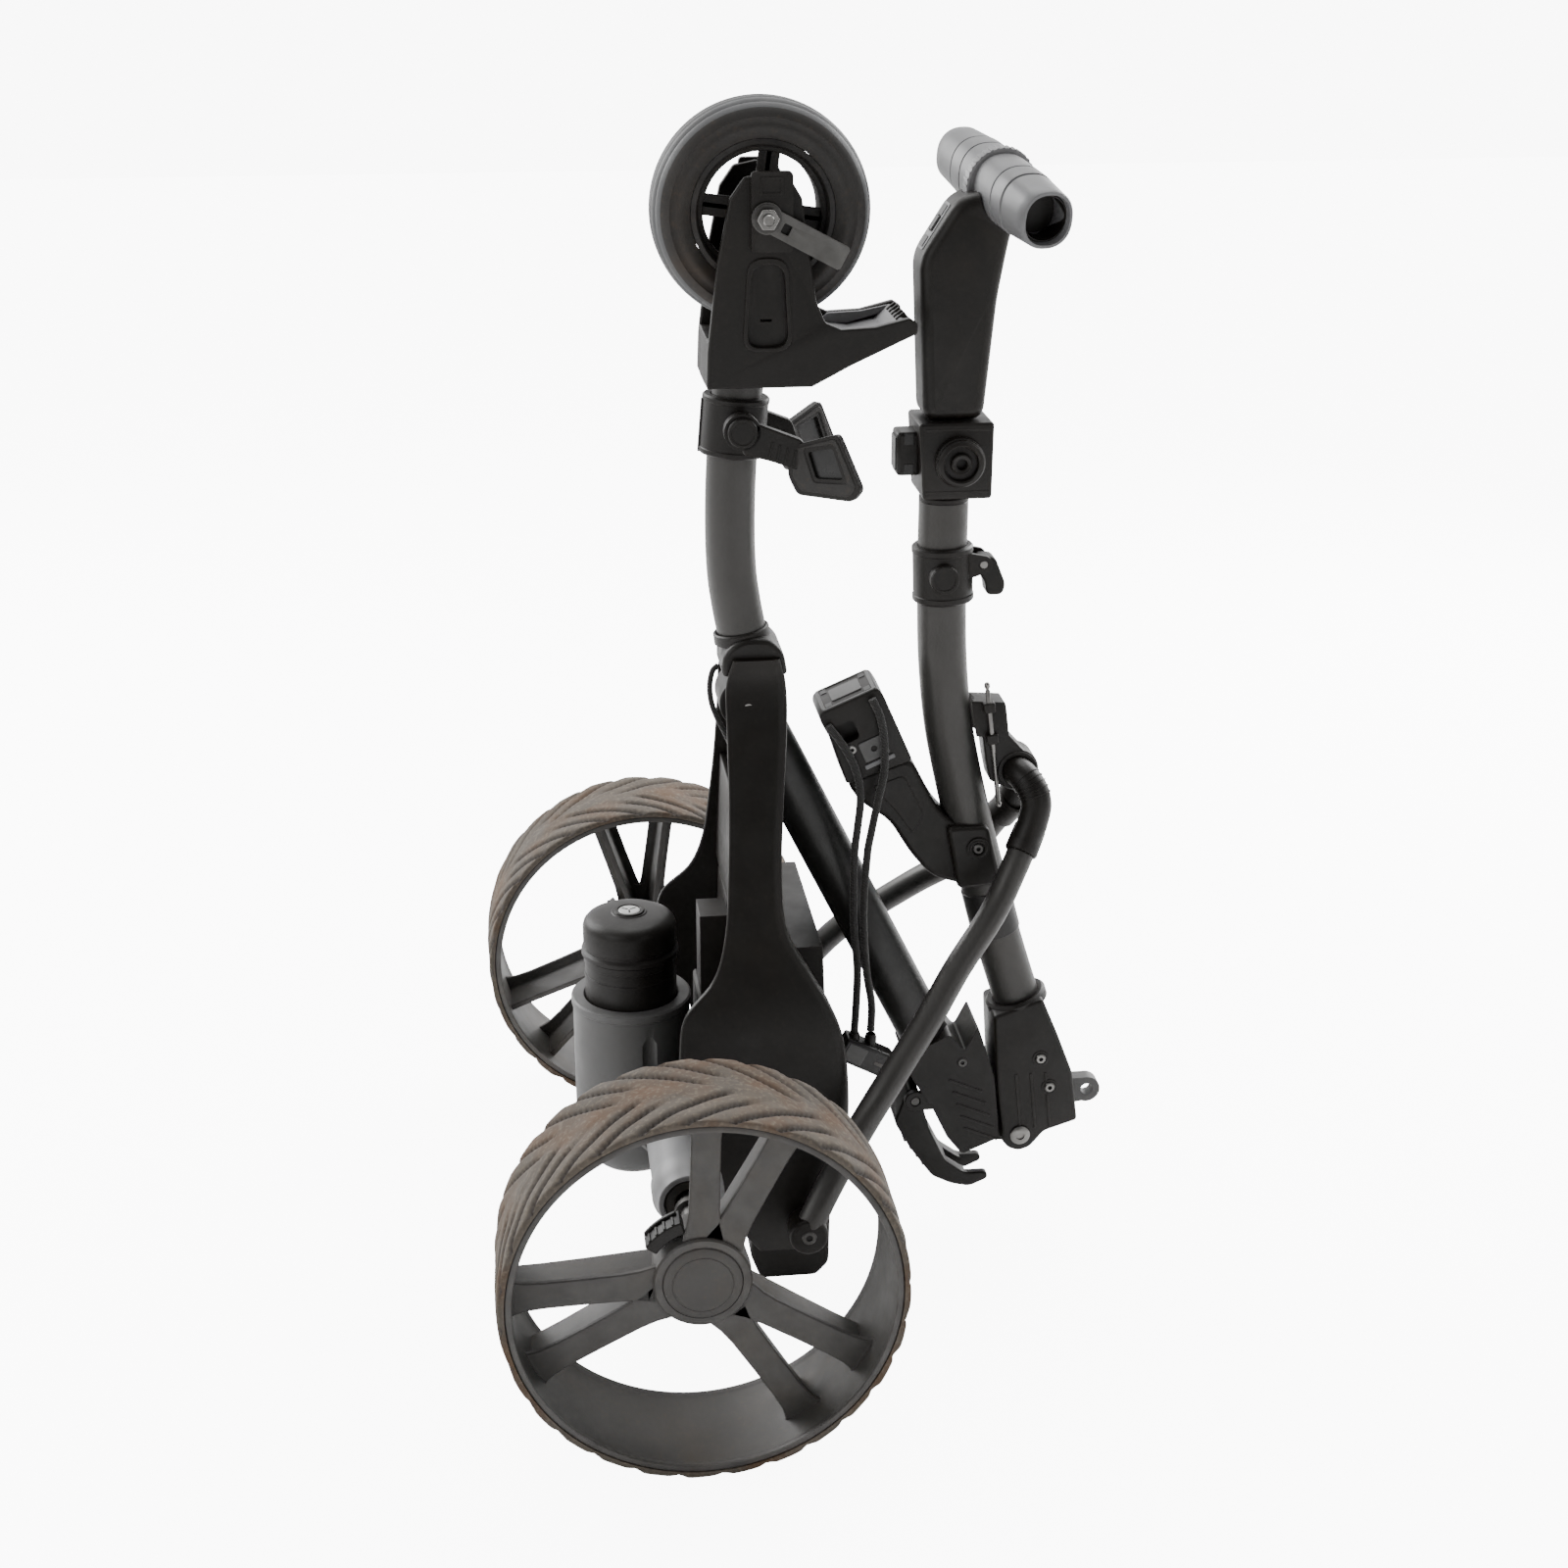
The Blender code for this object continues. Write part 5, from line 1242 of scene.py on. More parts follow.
    def axle(self) -> bpy.types.Object:
        """The front axle with its washers, a hexagonal nut and its threaded end."""
        outer = self.fork_inner + self.fork_wall + 0.0050
        nut = outer + 0.0040
        radius = self.axle_radius
        rod = [(0, nut + 0.0100), (radius - 0.0008, nut + 0.0100), (radius, nut + 0.0090),
                (radius, -outer - 0.0070),
               (radius - 0.0008, -outer - 0.0080), (0, -outer - 0.0080)]
        shapes = [turned("axle_rod", rod, PLATED, self.place, 32)]
        for number, (start, way) in enumerate(((nut, 1), (-outer - GAP, -1))):
            hexagon = arc((0, 0), 0.0078, count=6)
            low, high = sorted((start + way * 0.0006, start + way * 0.0062))
            shapes.append(cutout(f"nut_{number}", hexagon, low, high, PLATED, bevel=0.0006,
                    place=self.place))
            low, high = sorted((start, start + way * 0.0006))
            shapes.append(cutout(f"washer_{number}", arc((0, 0), 0.0098, count=40), low, high, DARK_STEEL,
                    bevel=0.0001,
                                 place=self.place))
        return fused("front_axle_set", shapes)

    def lever(self) -> bpy.types.Object:
        """The axle's flat lever, with a slot by its eye and a turned-up end."""
        face = self.fork_inner + self.fork_wall + 0.0050
        turn = self.place @ Matrix.Rotation(math.radians(self.lever_angle), 4, "Z")
        blade = [(0.0060, 0.0085), (0.0590, 0.0085), (0.0605, 0.0070), (0.0605, -0.0070), (0.0590, -0.0085),
                 (0.0060, -0.0085)] + arc((0, 0), 0.0108, 308, 52, 18)
        slot_hole = ((0.0120, 0.0030), (0.0180, 0.0030), (0.0180, -0.0040), (0.0120, -0.0040))
        holes = [arc((0, 0), self.axle_radius + GAP, count=24), rounded(slot_hole, 0.0010, 3)]
        shapes = [cutout("blade", blade, face + 0.0006, face + 0.0032, LEVER_STEEL, holes, 0.0, 0.0005,
                turn),
                  cutout("blade_eye", arc((0, 0), 0.0100, count=40), face + 0.0030, face + 0.0038,
                  DARK_STEEL,
                         [arc((0, 0), self.axle_radius + GAP, count=24)], 0.0, 0.0002, turn)]
        return fused("axle_lever_blade", shapes)
# ---- Lines and outlines shared with the solid model ---------------------------------
FRONT_LINE = ((0.0615, 0.4870), (0.0601, 0.5070), (0.0556, 0.5320), (0.0521, 0.5593), (0.0512, 0.5970),
              (0.0527, 0.6400), (0.0560, 0.6800), (0.0603, 0.7160))
UPPER_LINE = ((0.3000, 0.1280), (0.2823, 0.1831), (0.2615, 0.2488), (0.2485, 0.2970), (0.2354, 0.3458),
              (0.2228, 0.3988), (0.2152, 0.4388), (0.2105, 0.4850), (0.2088, 0.5300), (0.2084, 0.5695),
              (0.2085, 0.5950), (0.2085, 0.6070))
MAIN_TUBE = 0.0183
TUBE_DARK = Finish("tube_dark", Slot.TUBE, Relief.SATIN_METAL, (0.020, 0.0195, 0.019), (0.12, 0.10, 0.08),
        0.38,
                   metallic=0.25, dusty=0.08, worn=0.3, depth=0.00003, coat=0.15)


def in_middle(line: Points) -> list[tuple[float, float, float]]:
    """The points of an x, z line as points in the middle plane."""
    return [(x, 0.0, z) for x, z in line]


def disc(name: str, centre: Sequence[float], radius: float, low: float, high: float, finish: Finish,
         bevel: float = 0.0008, hole: float = 0.0) -> bpy.types.Object:
    """A round plate across the trolley, as thick as from y = low to y = high."""
    holes = [arc(centre, hole, count=32)] if hole else []
    return cutout(name, arc(centre, radius, count=48), low, high, finish, holes, 0.0, bevel)


def free_cord(name: str, body: str, route: Points, radius: float) -> None:
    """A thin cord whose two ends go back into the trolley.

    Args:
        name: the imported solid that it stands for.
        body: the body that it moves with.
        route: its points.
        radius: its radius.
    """
    points = smooth(route, 8)
    piece = wire(name + "_line", points, radius, 4)
    piece.data.materials.append(CORD_BLACK.material())
    settle(piece, body, CORD_BLACK, name)


# ---- Chassis ------------------------------------------------------------------------
@dataclass
class Chassis:
    """The spine: side panels, battery tray, rear foot, neck, front tube and cable loop."""

    neck_pivot: tuple[float, float] = (0.0605, 0.4620)
    casing_radius: float = 0.0265
    wall: float = 0.004
    lip: float = 0.014
    tray_back: float = 0.0475
    tray_front: float = 0.110
    foot_half: float = 0.070
    neck_half: float = 0.0250
    cable_radius: float = 0.0021
    sections: tuple[tuple[float, float, float, float], ...] = (
        (0.498, 0.0500, 0.0850, 0.0310), (0.478, 0.0445, 0.0890, 0.0315), (0.450, 0.0440, 0.0890, 0.0400),
        (0.400, 0.0430, 0.0840, 0.0620), (0.350, 0.0400, 0.0800, 0.0830), (0.310, 0.0360, 0.0820, 0.0990),
        (0.280, 0.0260, 0.0980, 0.1110), (0.255, 0.0040, 0.1120, 0.1190), (0.225, -0.001, 0.1220, 0.1230),
        (0.170, -0.001, 0.1250, 0.1250), (0.120, 0.0120, 0.1200, 0.1250), (0.080, 0.0400, 0.1110, 0.1240),
        (0.054, 0.0580, 0.1080, 0.1180))
    tray: tuple[tuple[float, float], ...] = ((0.062, 0.098), (0.120, 0.104), (0.225, 0.104), (0.290, 0.082))
    cable: Points = ((0.0405, -0.0120, 0.4900), (0.0360, -0.0140, 0.4860), (0.0337, -0.0165, 0.4760),
                     (0.0345, -0.0190, 0.4640), (0.0385, -0.0215, 0.4520), (0.0440, -0.0235, 0.4410),
                     (0.0490, -0.0245, 0.4280), (0.0515, -0.0245, 0.4130), (0.0520, -0.0240, 0.4000))

    def build(self) -> None:
        """Builds the chassis pieces."""
        free_cord("cable_loop", "chassis", self.cable, self.cable_radius)
        for side in Side:
            settle(self.panel(side), "chassis", BLACK_SHELL, "side_panel_" + side.word)
        settle(self.battery_tray(), "chassis", BLACK_SHELL, "battery_tray")
        settle(self.nose_web(), "chassis", BLACK_SHELL, "nose_web")
        settle(self.foot(), "chassis", BLACK_SHELL, "rear_foot")
        settle(self.neck(), "chassis", BLACK_SHELL, "neck_socket")
        settle(self.pin(), "chassis", PLATED, "neck_pin")
        tube = swept("chassis_tube", smooth(in_middle(FRONT_LINE), 6), MAIN_TUBE, GRAPHITE)
        settle(tube, "chassis", GRAPHITE, "front_tube")

    def panel(self, side: Side) -> bpy.types.Object:
        """A side panel: a bent wall with a rounded rear corner and an inward lip."""
        rings = []
        for z, front, rear, half in smooth(self.sections, 6):
            middle = (front + rear) / 2
            lip = self.lip * min(1.0, half / 0.09)
            section = ((front, half - 0.0014), (front + 0.0008, half - 0.0006), ((front + middle) / 2,
                    half - 0.0002),
                       (middle, half), (rear - 0.0080, half - 0.0004), (rear - 0.0030, half - 0.0010),
                       (rear - 0.0008, half - 0.0028), (rear, half - 0.0056), (rear, half - lip + 0.0006),
                       (rear - 0.0008, half - lip), (rear - self.wall + 0.0008, half - lip),
                       (rear - self.wall, half - lip + 0.0008), (rear - self.wall, half - 0.0074),
                       (rear - self.wall - 0.0020, half - self.wall - 0.0010), (middle, half - self.wall),
                       (front + 0.0008, half - self.wall - 0.0008), (front, half - self.wall - 0.0002))
            rings.append([(x, side.value * y, z) for x, y in section])
        made = lofted("chassis_wall_" + side.word, rings, BLACK_SHELL, 50)
        low, high = sorted((0.0, side.value * 0.2))
        return carved(made, cutout("axle_hole", arc((0, AXLE_HEIGHT), self.casing_radius + 2 * GAP), low,
                high,
                                   BLACK_SHELL, bevel=0.0))

    def battery_tray(self) -> bpy.types.Object:
        """The battery tray: an open box with ribs and a contact block in it."""
        outline = [(half, z) for z, half in self.tray] + [(-half, z) for z, half in reversed(self.tray)]
        inner = [(math.copysign(abs(y) - self.wall, y), z + (self.wall if z < 0.2
                else -self.wall * (z > 0.28)))
                 for y, z in outline]
        bed = [(math.copysign(abs(y) + 0.001, y), z) for y, z in inner]
        shapes = [cutout("tray_wall", outline, self.tray_back, self.tray_front, BLACK_SHELL, [inner], 0.0,
                0.0008,
                         LENGTHWAYS),
                  cutout("tray_bed", bed, self.tray_back, self.tray_back + self.wall, BLACK_SHELL,
                  place=LENGTHWAYS)]
        for number in range(4):
            place = (self.tray_back + self.wall + 0.0010, 0, 0.100 + 0.045 * number)
            shapes.append(block(f"tray_rib_{number}", (0.004, 0.150, 0.003), place, BLACK_SHELL,
                    bevel=0.0006))
        shapes.append(block("contact_block", (0.014, 0.048, 0.018), (0.0580, 0, 0.0760), BLACK_SHELL,
                bevel=0.0015))
        for number in range(3):
            shapes.append(block(f"contact_{number}", (0.006, 0.003, 0.008), (0.0660, -0.012 + 0.012 * number,
                    0.0790),
                                PLATED, bevel=0.0003))
        return fused("battery_box", shapes)

    def half_at(self, z: float) -> float:
        """Half the chassis's width at a height."""
        rows = sorted((height, half) for height, _, _, half in self.sections)
        return float(np.interp(z, [row[0] for row in rows], [row[1] for row in rows]))

    def nose_web(self) -> bpy.types.Object:
        """The ribbed web that closes the chassis above the tray."""
        heights = (0.292, 0.350, 0.395)
        half = [(self.half_at(z) - self.wall * 1.35, z) for z in heights]
        outline = half + [(-y, z) for y, z in reversed(half)]
        shapes = [cutout("web_sheet", outline, self.tray_back, self.tray_back + self.wall, BLACK_SHELL,
                         place=LENGTHWAYS)]
        for number, y in enumerate((-0.030, 0.0, 0.030)):
            shapes.append(block(f"web_rib_{number}", (0.006, 0.003, 0.080), (self.tray_back + 0.006, y,
                    0.3400),
                                BLACK_SHELL, bevel=0.0006))
        return fused("chassis_web", shapes)

    def foot(self) -> bpy.types.Object:
        """The rear foot that the folded trolley stands on, with grip ribs under it."""
        floor = AXLE_HEIGHT - 0.1412
        outline = ((0.0640, floor), (0.1080, floor), (0.1180, 0.0100), (0.1190, 0.0610), (0.0580, 0.0610),
                   (0.0560, 0.0200))
        shapes = [cutout("foot_body", outline, -self.foot_half, self.foot_half, BLACK_SHELL, corner=0.004,
                         bevel=0.0022)]
        for number in range(4):
            shapes.append(block(f"foot_band_{number}", (0.0012, 2 * self.foot_half - 0.012, 0.0016),
                                (0.1184, 0, 0.0180 + 0.010 * number), BLACK_SHELL, bevel=0.0004))
        return fused("chassis_foot", shapes)

    def neck(self) -> bpy.types.Object:
        """The arched neck with the ring that the front tube stands in."""
        arch = ((0.0425, 0.4840), (0.0425, 0.4980), (0.0480, 0.5070), (0.0590, 0.5125), (0.0780, 0.5120),
                (0.0880, 0.5020), (0.0910, 0.4840))
        outline = [arch[0], *rounded(arch, 0.006, 5)[6:-6], arch[-1]]
        place = facing((FRONT_LINE[2][0] - FRONT_LINE[1][0], 0, FRONT_LINE[2][1] - FRONT_LINE[1][1]),
                       (0.0592, 0, 0.5105))
        ring = [(MAIN_TUBE + GAP, -0.004), (MAIN_TUBE + GAP, 0.0035), (MAIN_TUBE + 0.0014, 0.0042),
                (MAIN_TUBE + 0.0026, 0.0032), (MAIN_TUBE + 0.0030, -0.004)]
        return fused("neck_arch", [
            cutout("neck_body", outline, -self.neck_half, self.neck_half, BLACK_SHELL, bevel=0.0035),
            turned("neck_ring", ring, BLACK_SHELL, place, 64, True)])

    def pin(self) -> bpy.types.Object:
        """The neck's pin with low round heads."""
        place = Matrix.Translation((self.neck_pivot[0], 0, self.neck_pivot[1])) @ SIDEWAYS
        end = 0.0345
        profile = [(0, end), (0.0042, end), (0.005, end - 0.0008), (0.005, -end + 0.0008), (0.0042, -end),
                (0, -end)]
        return turned("neck_pivot_pin", profile, PLATED, place, 32)


# ---- Drive --------------------------------------------------------------------------
@dataclass
class Drive:
    """The gearbox, the upright motor and the two axle casings."""

    housing_radius: float = 0.0465
    housing_x: float = -0.0290
    housing_top: float = 0.2220
    motor_radius: float = 0.0357
    motor_foot: float = 0.192
    motor_lip: float = 0.2570
    motor_top: float = 0.2916
    casing_radius: float = 0.0265
    casing_end: float = 0.186
    barrel_radius: float = 0.0340
    barrel_half: float = 0.0650

    @property
    def upright(self) -> Matrix:
        """The matrix to the motor's axis."""
        return Matrix.Translation((self.housing_x, 0, 0))

    def build(self) -> None:
        """Builds the drive's pieces."""
        settle(self.housing(), "chassis", CASE_GREY, "gearbox_housing")
        settle(self.can(), "chassis", BLACK_SHELL, "motor_can")
        settle(self.cap(), "chassis", BLACK_SHELL, "motor_cap")
        for side in Side:
            settle(self.casing(side), "chassis", PALE_GREY, "axle_casing_" + side.word)
        dressed("gearbox_mount", BLACK_SHELL, 0.0010)

    def housing(self) -> bpy.types.Object:
        """The gearbox housing: a round pot with a lipped rim, a flute and the axle's barrel."""
        wide, top, seat = self.housing_radius, self.housing_top, self.motor_radius + GAP
        pot = [(0, self.motor_foot - GAP), (seat, self.motor_foot - GAP), (seat, top - 0.0010),
                (seat + 0.0010, top),
               (wide - 0.0014, top), (wide, top - 0.0014), (wide, top - 0.0060), (wide - 0.0012,
               top - 0.0072),
               (wide - 0.0012, 0.1300), (wide - 0.0020, 0.1180), (0.0436, 0.1050), (0.0410, 0.0940),
               (0.0368, 0.0850), (0.0300, 0.0788), (0.0200, 0.0744), (0.0090, 0.0724), (0, 0.0720)]
        end, bulge = self.barrel_half, self.barrel_radius
        barrel = [(0, -end), (bulge - 0.0030, -end), (bulge, -end + 0.0030), (bulge, -end + 0.0100),
                  (bulge - 0.0012, -end + 0.0112), (bulge - 0.0012, end - 0.0112), (bulge, end - 0.0100),
                  (bulge, end - 0.0030), (bulge - 0.0030, end), (0, end)]
        body = turned("pot", pot, CASE_GREY, self.upright, 128, False, 40)
        turn = math.radians(-76)
        reach = wide + 0.0045
        flute = turned("flute", [(0, 0.205), (0.0060, 0.203), (0.0085, 0.196), (0.0085, 0.090), (0, 0.090)],
                CASE_GREY,
                       Matrix.Translation((self.housing_x + reach * math.cos(turn), reach * math.sin(turn),
                       0)), 40)
        shapes = [carved(body, flute),
                  turned("barrel", barrel, CASE_GREY, Matrix.Translation((0, 0, AXLE_HEIGHT)) @ SIDEWAYS,
                  96)]
        for number in range(6):
            turn = math.radians(15 + 60 * number)
            for way in (-1, 1):
                place = (0.0275 * math.cos(turn), way * (end - 0.0002),
                        AXLE_HEIGHT + 0.0275 * math.sin(turn))
                shapes.append(screw_head(f"barrel_screw_{number}_{way + 1}", place, (0, way, 0), 0.0026,
                        DARK_STEEL))
        return fused("gearbox_pot", shapes)

    def can(self) -> bpy.types.Object:
        """The motor's can, with shallow bands."""
        wide, low, high = self.motor_radius, self.motor_foot, self.motor_lip
        profile = [(0, high), (wide - 0.0010, high), (wide, high - 0.0010), (wide, high - 0.0060),
                   (wide - 0.0008, high - 0.0066), (wide - 0.0008, high - 0.0150), (wide - 0.0002,
                   high - 0.0158),
                   (wide - 0.0002, low + 0.0300), (wide, low + 0.0020), (wide - 0.0020, low), (0, low)]
        return turned("motor_drum", profile, BLACK_SHELL, self.upright, 112)

    def cap(self) -> bpy.types.Object:
        """The motor's cap: a soft dome with a stepped band, a turned ring and a white disc."""
        wide, top, lip = self.motor_radius, self.motor_top, self.motor_lip
        profile = [(0, top - 0.0008), (0.0088, top - 0.0008), (0.0094, top), (0.0112, top),
                (0.0120, top - 0.0012),
                   (0.0132, top - 0.0012), (0.0140, top - 0.0018), (0.0220, top - 0.0024),
                   (0.0290, top - 0.0040),
                   (0.0328, top - 0.0060), (0.0350, top - 0.0086), (wide + 0.0003, top - 0.0120),
                   (wide + 0.0003, lip + 0.0080), (wide - 0.0003, lip + 0.0074), (wide - 0.0003,
                   lip + 0.0056),
                   (wide + 0.0006, lip + 0.0046), (wide + 0.0018, lip + 0.0036), (wide + 0.0018, lip + GAP),
                   (0, lip + GAP)]
        disc_profile = [(0, top - 0.0001), (0.0074, top - 0.0001), (0.0082, top - 0.0006),
                (0.0082, top - 0.0012),
                        (0, top - 0.0012)]
        shapes = [turned("dome", profile, BLACK_SHELL, self.upright, 112),
                  turned("disc", disc_profile, WHITE_DISC, self.upright, 64)]
        for number in range(3):
            turn = math.radians(30 + 120 * number)
            place = (self.housing_x + 0.0036 * math.cos(turn), 0.0036 * math.sin(turn), top - 0.0002)
            shapes.append(block(f"disc_spoke_{number}", (0.0052, 0.0013, 0.0006), place, BLACK_SHELL,
                    yaw=turn,
                                bevel=0.0001))
        return fused("motor_dome", shapes)

    def casing(self, side: Side) -> bpy.types.Object:
        """An axle casing: a pale ribbed sleeve with a dark seal at its outer end."""
        inner, wide, end = self.barrel_half + GAP, self.casing_radius, self.casing_end
        place = Matrix.Translation((0, 0, AXLE_HEIGHT)) @ Matrix.Rotation(-side.value * math.pi / 2, 4, "X")
        sleeve = [(0.0100, inner), (wide - 0.0010, inner), (wide, inner + 0.0010), (wide, inner + 0.0080),
                  (wide - 0.0016, inner + 0.0096), (wide - 0.0016, end - 0.0300), (wide, end - 0.0284),
                  (wide, end - 0.0140), (wide - 0.0020, end - 0.0090), (0.0226, end - 0.0012),
                  (0.0218, end - 0.0006),
                  (0.0190, end - 0.0006), (0.0186, end - 0.0020), (0.0186, end - 0.0200),
                  (0.0100, end - 0.0200)]
        seal = [(0.0100, end - 0.0190), (0.0100, end - 0.0030), (0.0112, end - 0.0014),
                (0.0170, end - 0.0014),
                (0.0184, end - 0.0030), (0.0184, end - 0.0190)]
        return fused("axle_sleeve_" + side.word, [turned("sleeve", sleeve, PALE_GREY, place, 80, True),
                                                  turned("seal", seal, SOFT_TYRE, place, 64, True)])


# ---- Lower bag support --------------------------------------------------------------
@dataclass
class LowerCradle:
    """The collar on the front tube with its two hinged wings."""

    pivot: tuple[float, float] = (0.0570, 0.6690)
    low_end: tuple[float, float] = (0.0529, 0.6460)
    high_end: tuple[float, float] = (0.0565, 0.6885)
    radius: float = 0.0242
    swing: float = math.radians(40)

    def build(self) -> None:
        """Builds the collar and its wings."""
        settle(self.collar(), "chassis", BLACK_SHELL, "lower_collar")
        for side in Side:
            settle(self.wing(side), "lower_cradle", BLACK_SHELL, "lower_wing_" + side.word)

    def collar(self) -> bpy.types.Object:
        """The collar: a clamped ring with two stubs and dished heads."""
        run = Vector((self.high_end[0] - self.low_end[0], 0, self.high_end[1] - self.low_end[1]))
        place = facing(run, (self.low_end[0], 0, self.low_end[1]))
        long, wide, bore = run.length, self.radius, MAIN_TUBE + GAP
        ring = [(bore, 0), (wide - 0.0012, 0), (wide, 0.0012), (wide, 0.0040), (wide - 0.0006, 0.0046),
                (wide - 0.0006, long - 0.0046), (wide, long - 0.0040), (wide, long - 0.0012), (wide - 0.0012,
                long),
                (bore, long)]
        shapes = [turned("collar_ring", ring, BLACK_SHELL, place, 80, True)]
        for side in (-1, 1):
            ends = sorted((side * 0.0200, side * 0.0380))
            heads = sorted((side * 0.0379, side * 0.0404))
            rims = sorted((side * 0.0400, side * 0.0410))
            shapes += [disc(f"stub_{side + 1}", self.pivot, 0.0075, *ends, BLACK_SHELL, 0.0004),
                       disc(f"head_{side + 1}", self.pivot, 0.0107, *heads, BLACK_SHELL, 0.0006),
                       disc(f"head_rim_{side + 1}", self.pivot, 0.0103, *rims, BLACK_SHELL, 0.0004, 0.0082)]
        shapes.append(block("collar_seam", (0.0040, 0.0026, long - 0.004),
                            (self.low_end[0] - wide + 0.0030, 0, (self.low_end[1] + self.high_end[1]) / 2),
                            BLACK_SHELL, run.x / run.z, bevel=0.0005))
        return fused("cradle_collar", shapes)

    def wing(self, side: Side) -> bpy.types.Object:
        """A wing: an arm from the hinge and a framed pad that swings outwards from it."""
        word, sign = side.word, side.value
        x, z = self.pivot
        low, high = sorted((sign * 0.0278, sign * 0.0374))
        arm = ((x, 0.6530), (0.0760, 0.6480), (0.0990, 0.6400), (0.1040, 0.6500), (0.1000, 0.6620),
                (x, 0.6790))
        pad = ((-0.0050, 0.0010), (0.0330, 0.0140), (0.0360, 0.0130), (0.0550, -0.0230), (0.0480, -0.0320),
               (0.0020, -0.0330), (-0.0060, -0.0200))
        hole = ((0.0110, -0.0010), (0.0310, 0.0040), (0.0400, -0.0170), (0.0180, -0.0190))
        place = (Matrix.Translation((0.0960, sign * 0.0330, 0.6560)) @ Matrix.Rotation(sign * self.swing, 4,
                "Z")
                 @ SIDEWAYS)
        middle = Vector((0.0250, -0.0085))
        wider = [middle + (Vector(point) - middle) * 1.28 for point in hole]
        inset = [middle + (Vector(point) - middle) * 0.88 for point in pad]
        shapes = [cutout("arm", arm, low, high, BLACK_SHELL, corner=0.003, bevel=0.0012),
                  disc("eye", self.pivot, 0.0130, low, high, BLACK_SHELL, 0.0010, 0.0079),
                  cutout("pad", rounded(pad, 0.004), -0.0028, 0.0028, BLACK_SHELL, [rounded(hole, 0.002)],
                  0.0, 0.0008,
                         place),
                  cutout("pad_face", rounded(inset, 0.004), -0.0035, 0.0035, SOFT_TYRE,
                  [rounded(wider, 0.003)], 0.0,
                         0.0008, place)]
        shapes.append(cutout("pad_back", rounded(hole, 0.002), -0.0020, 0.0004, BLACK_GLOSS, bevel=0.0,
                place=place))
        for number in range(4):
            shapes.append(block(f"arm_rib_{number}", (0.0012, 0.0110, 0.0120),
                                (0.0770 + 0.0055 * number, sign * 0.0326, 0.6560 - 0.0022 * number),
                                BLACK_SHELL,
                                0.2, bevel=0.0003))
        return fused("cradle_wing_" + word, shapes)
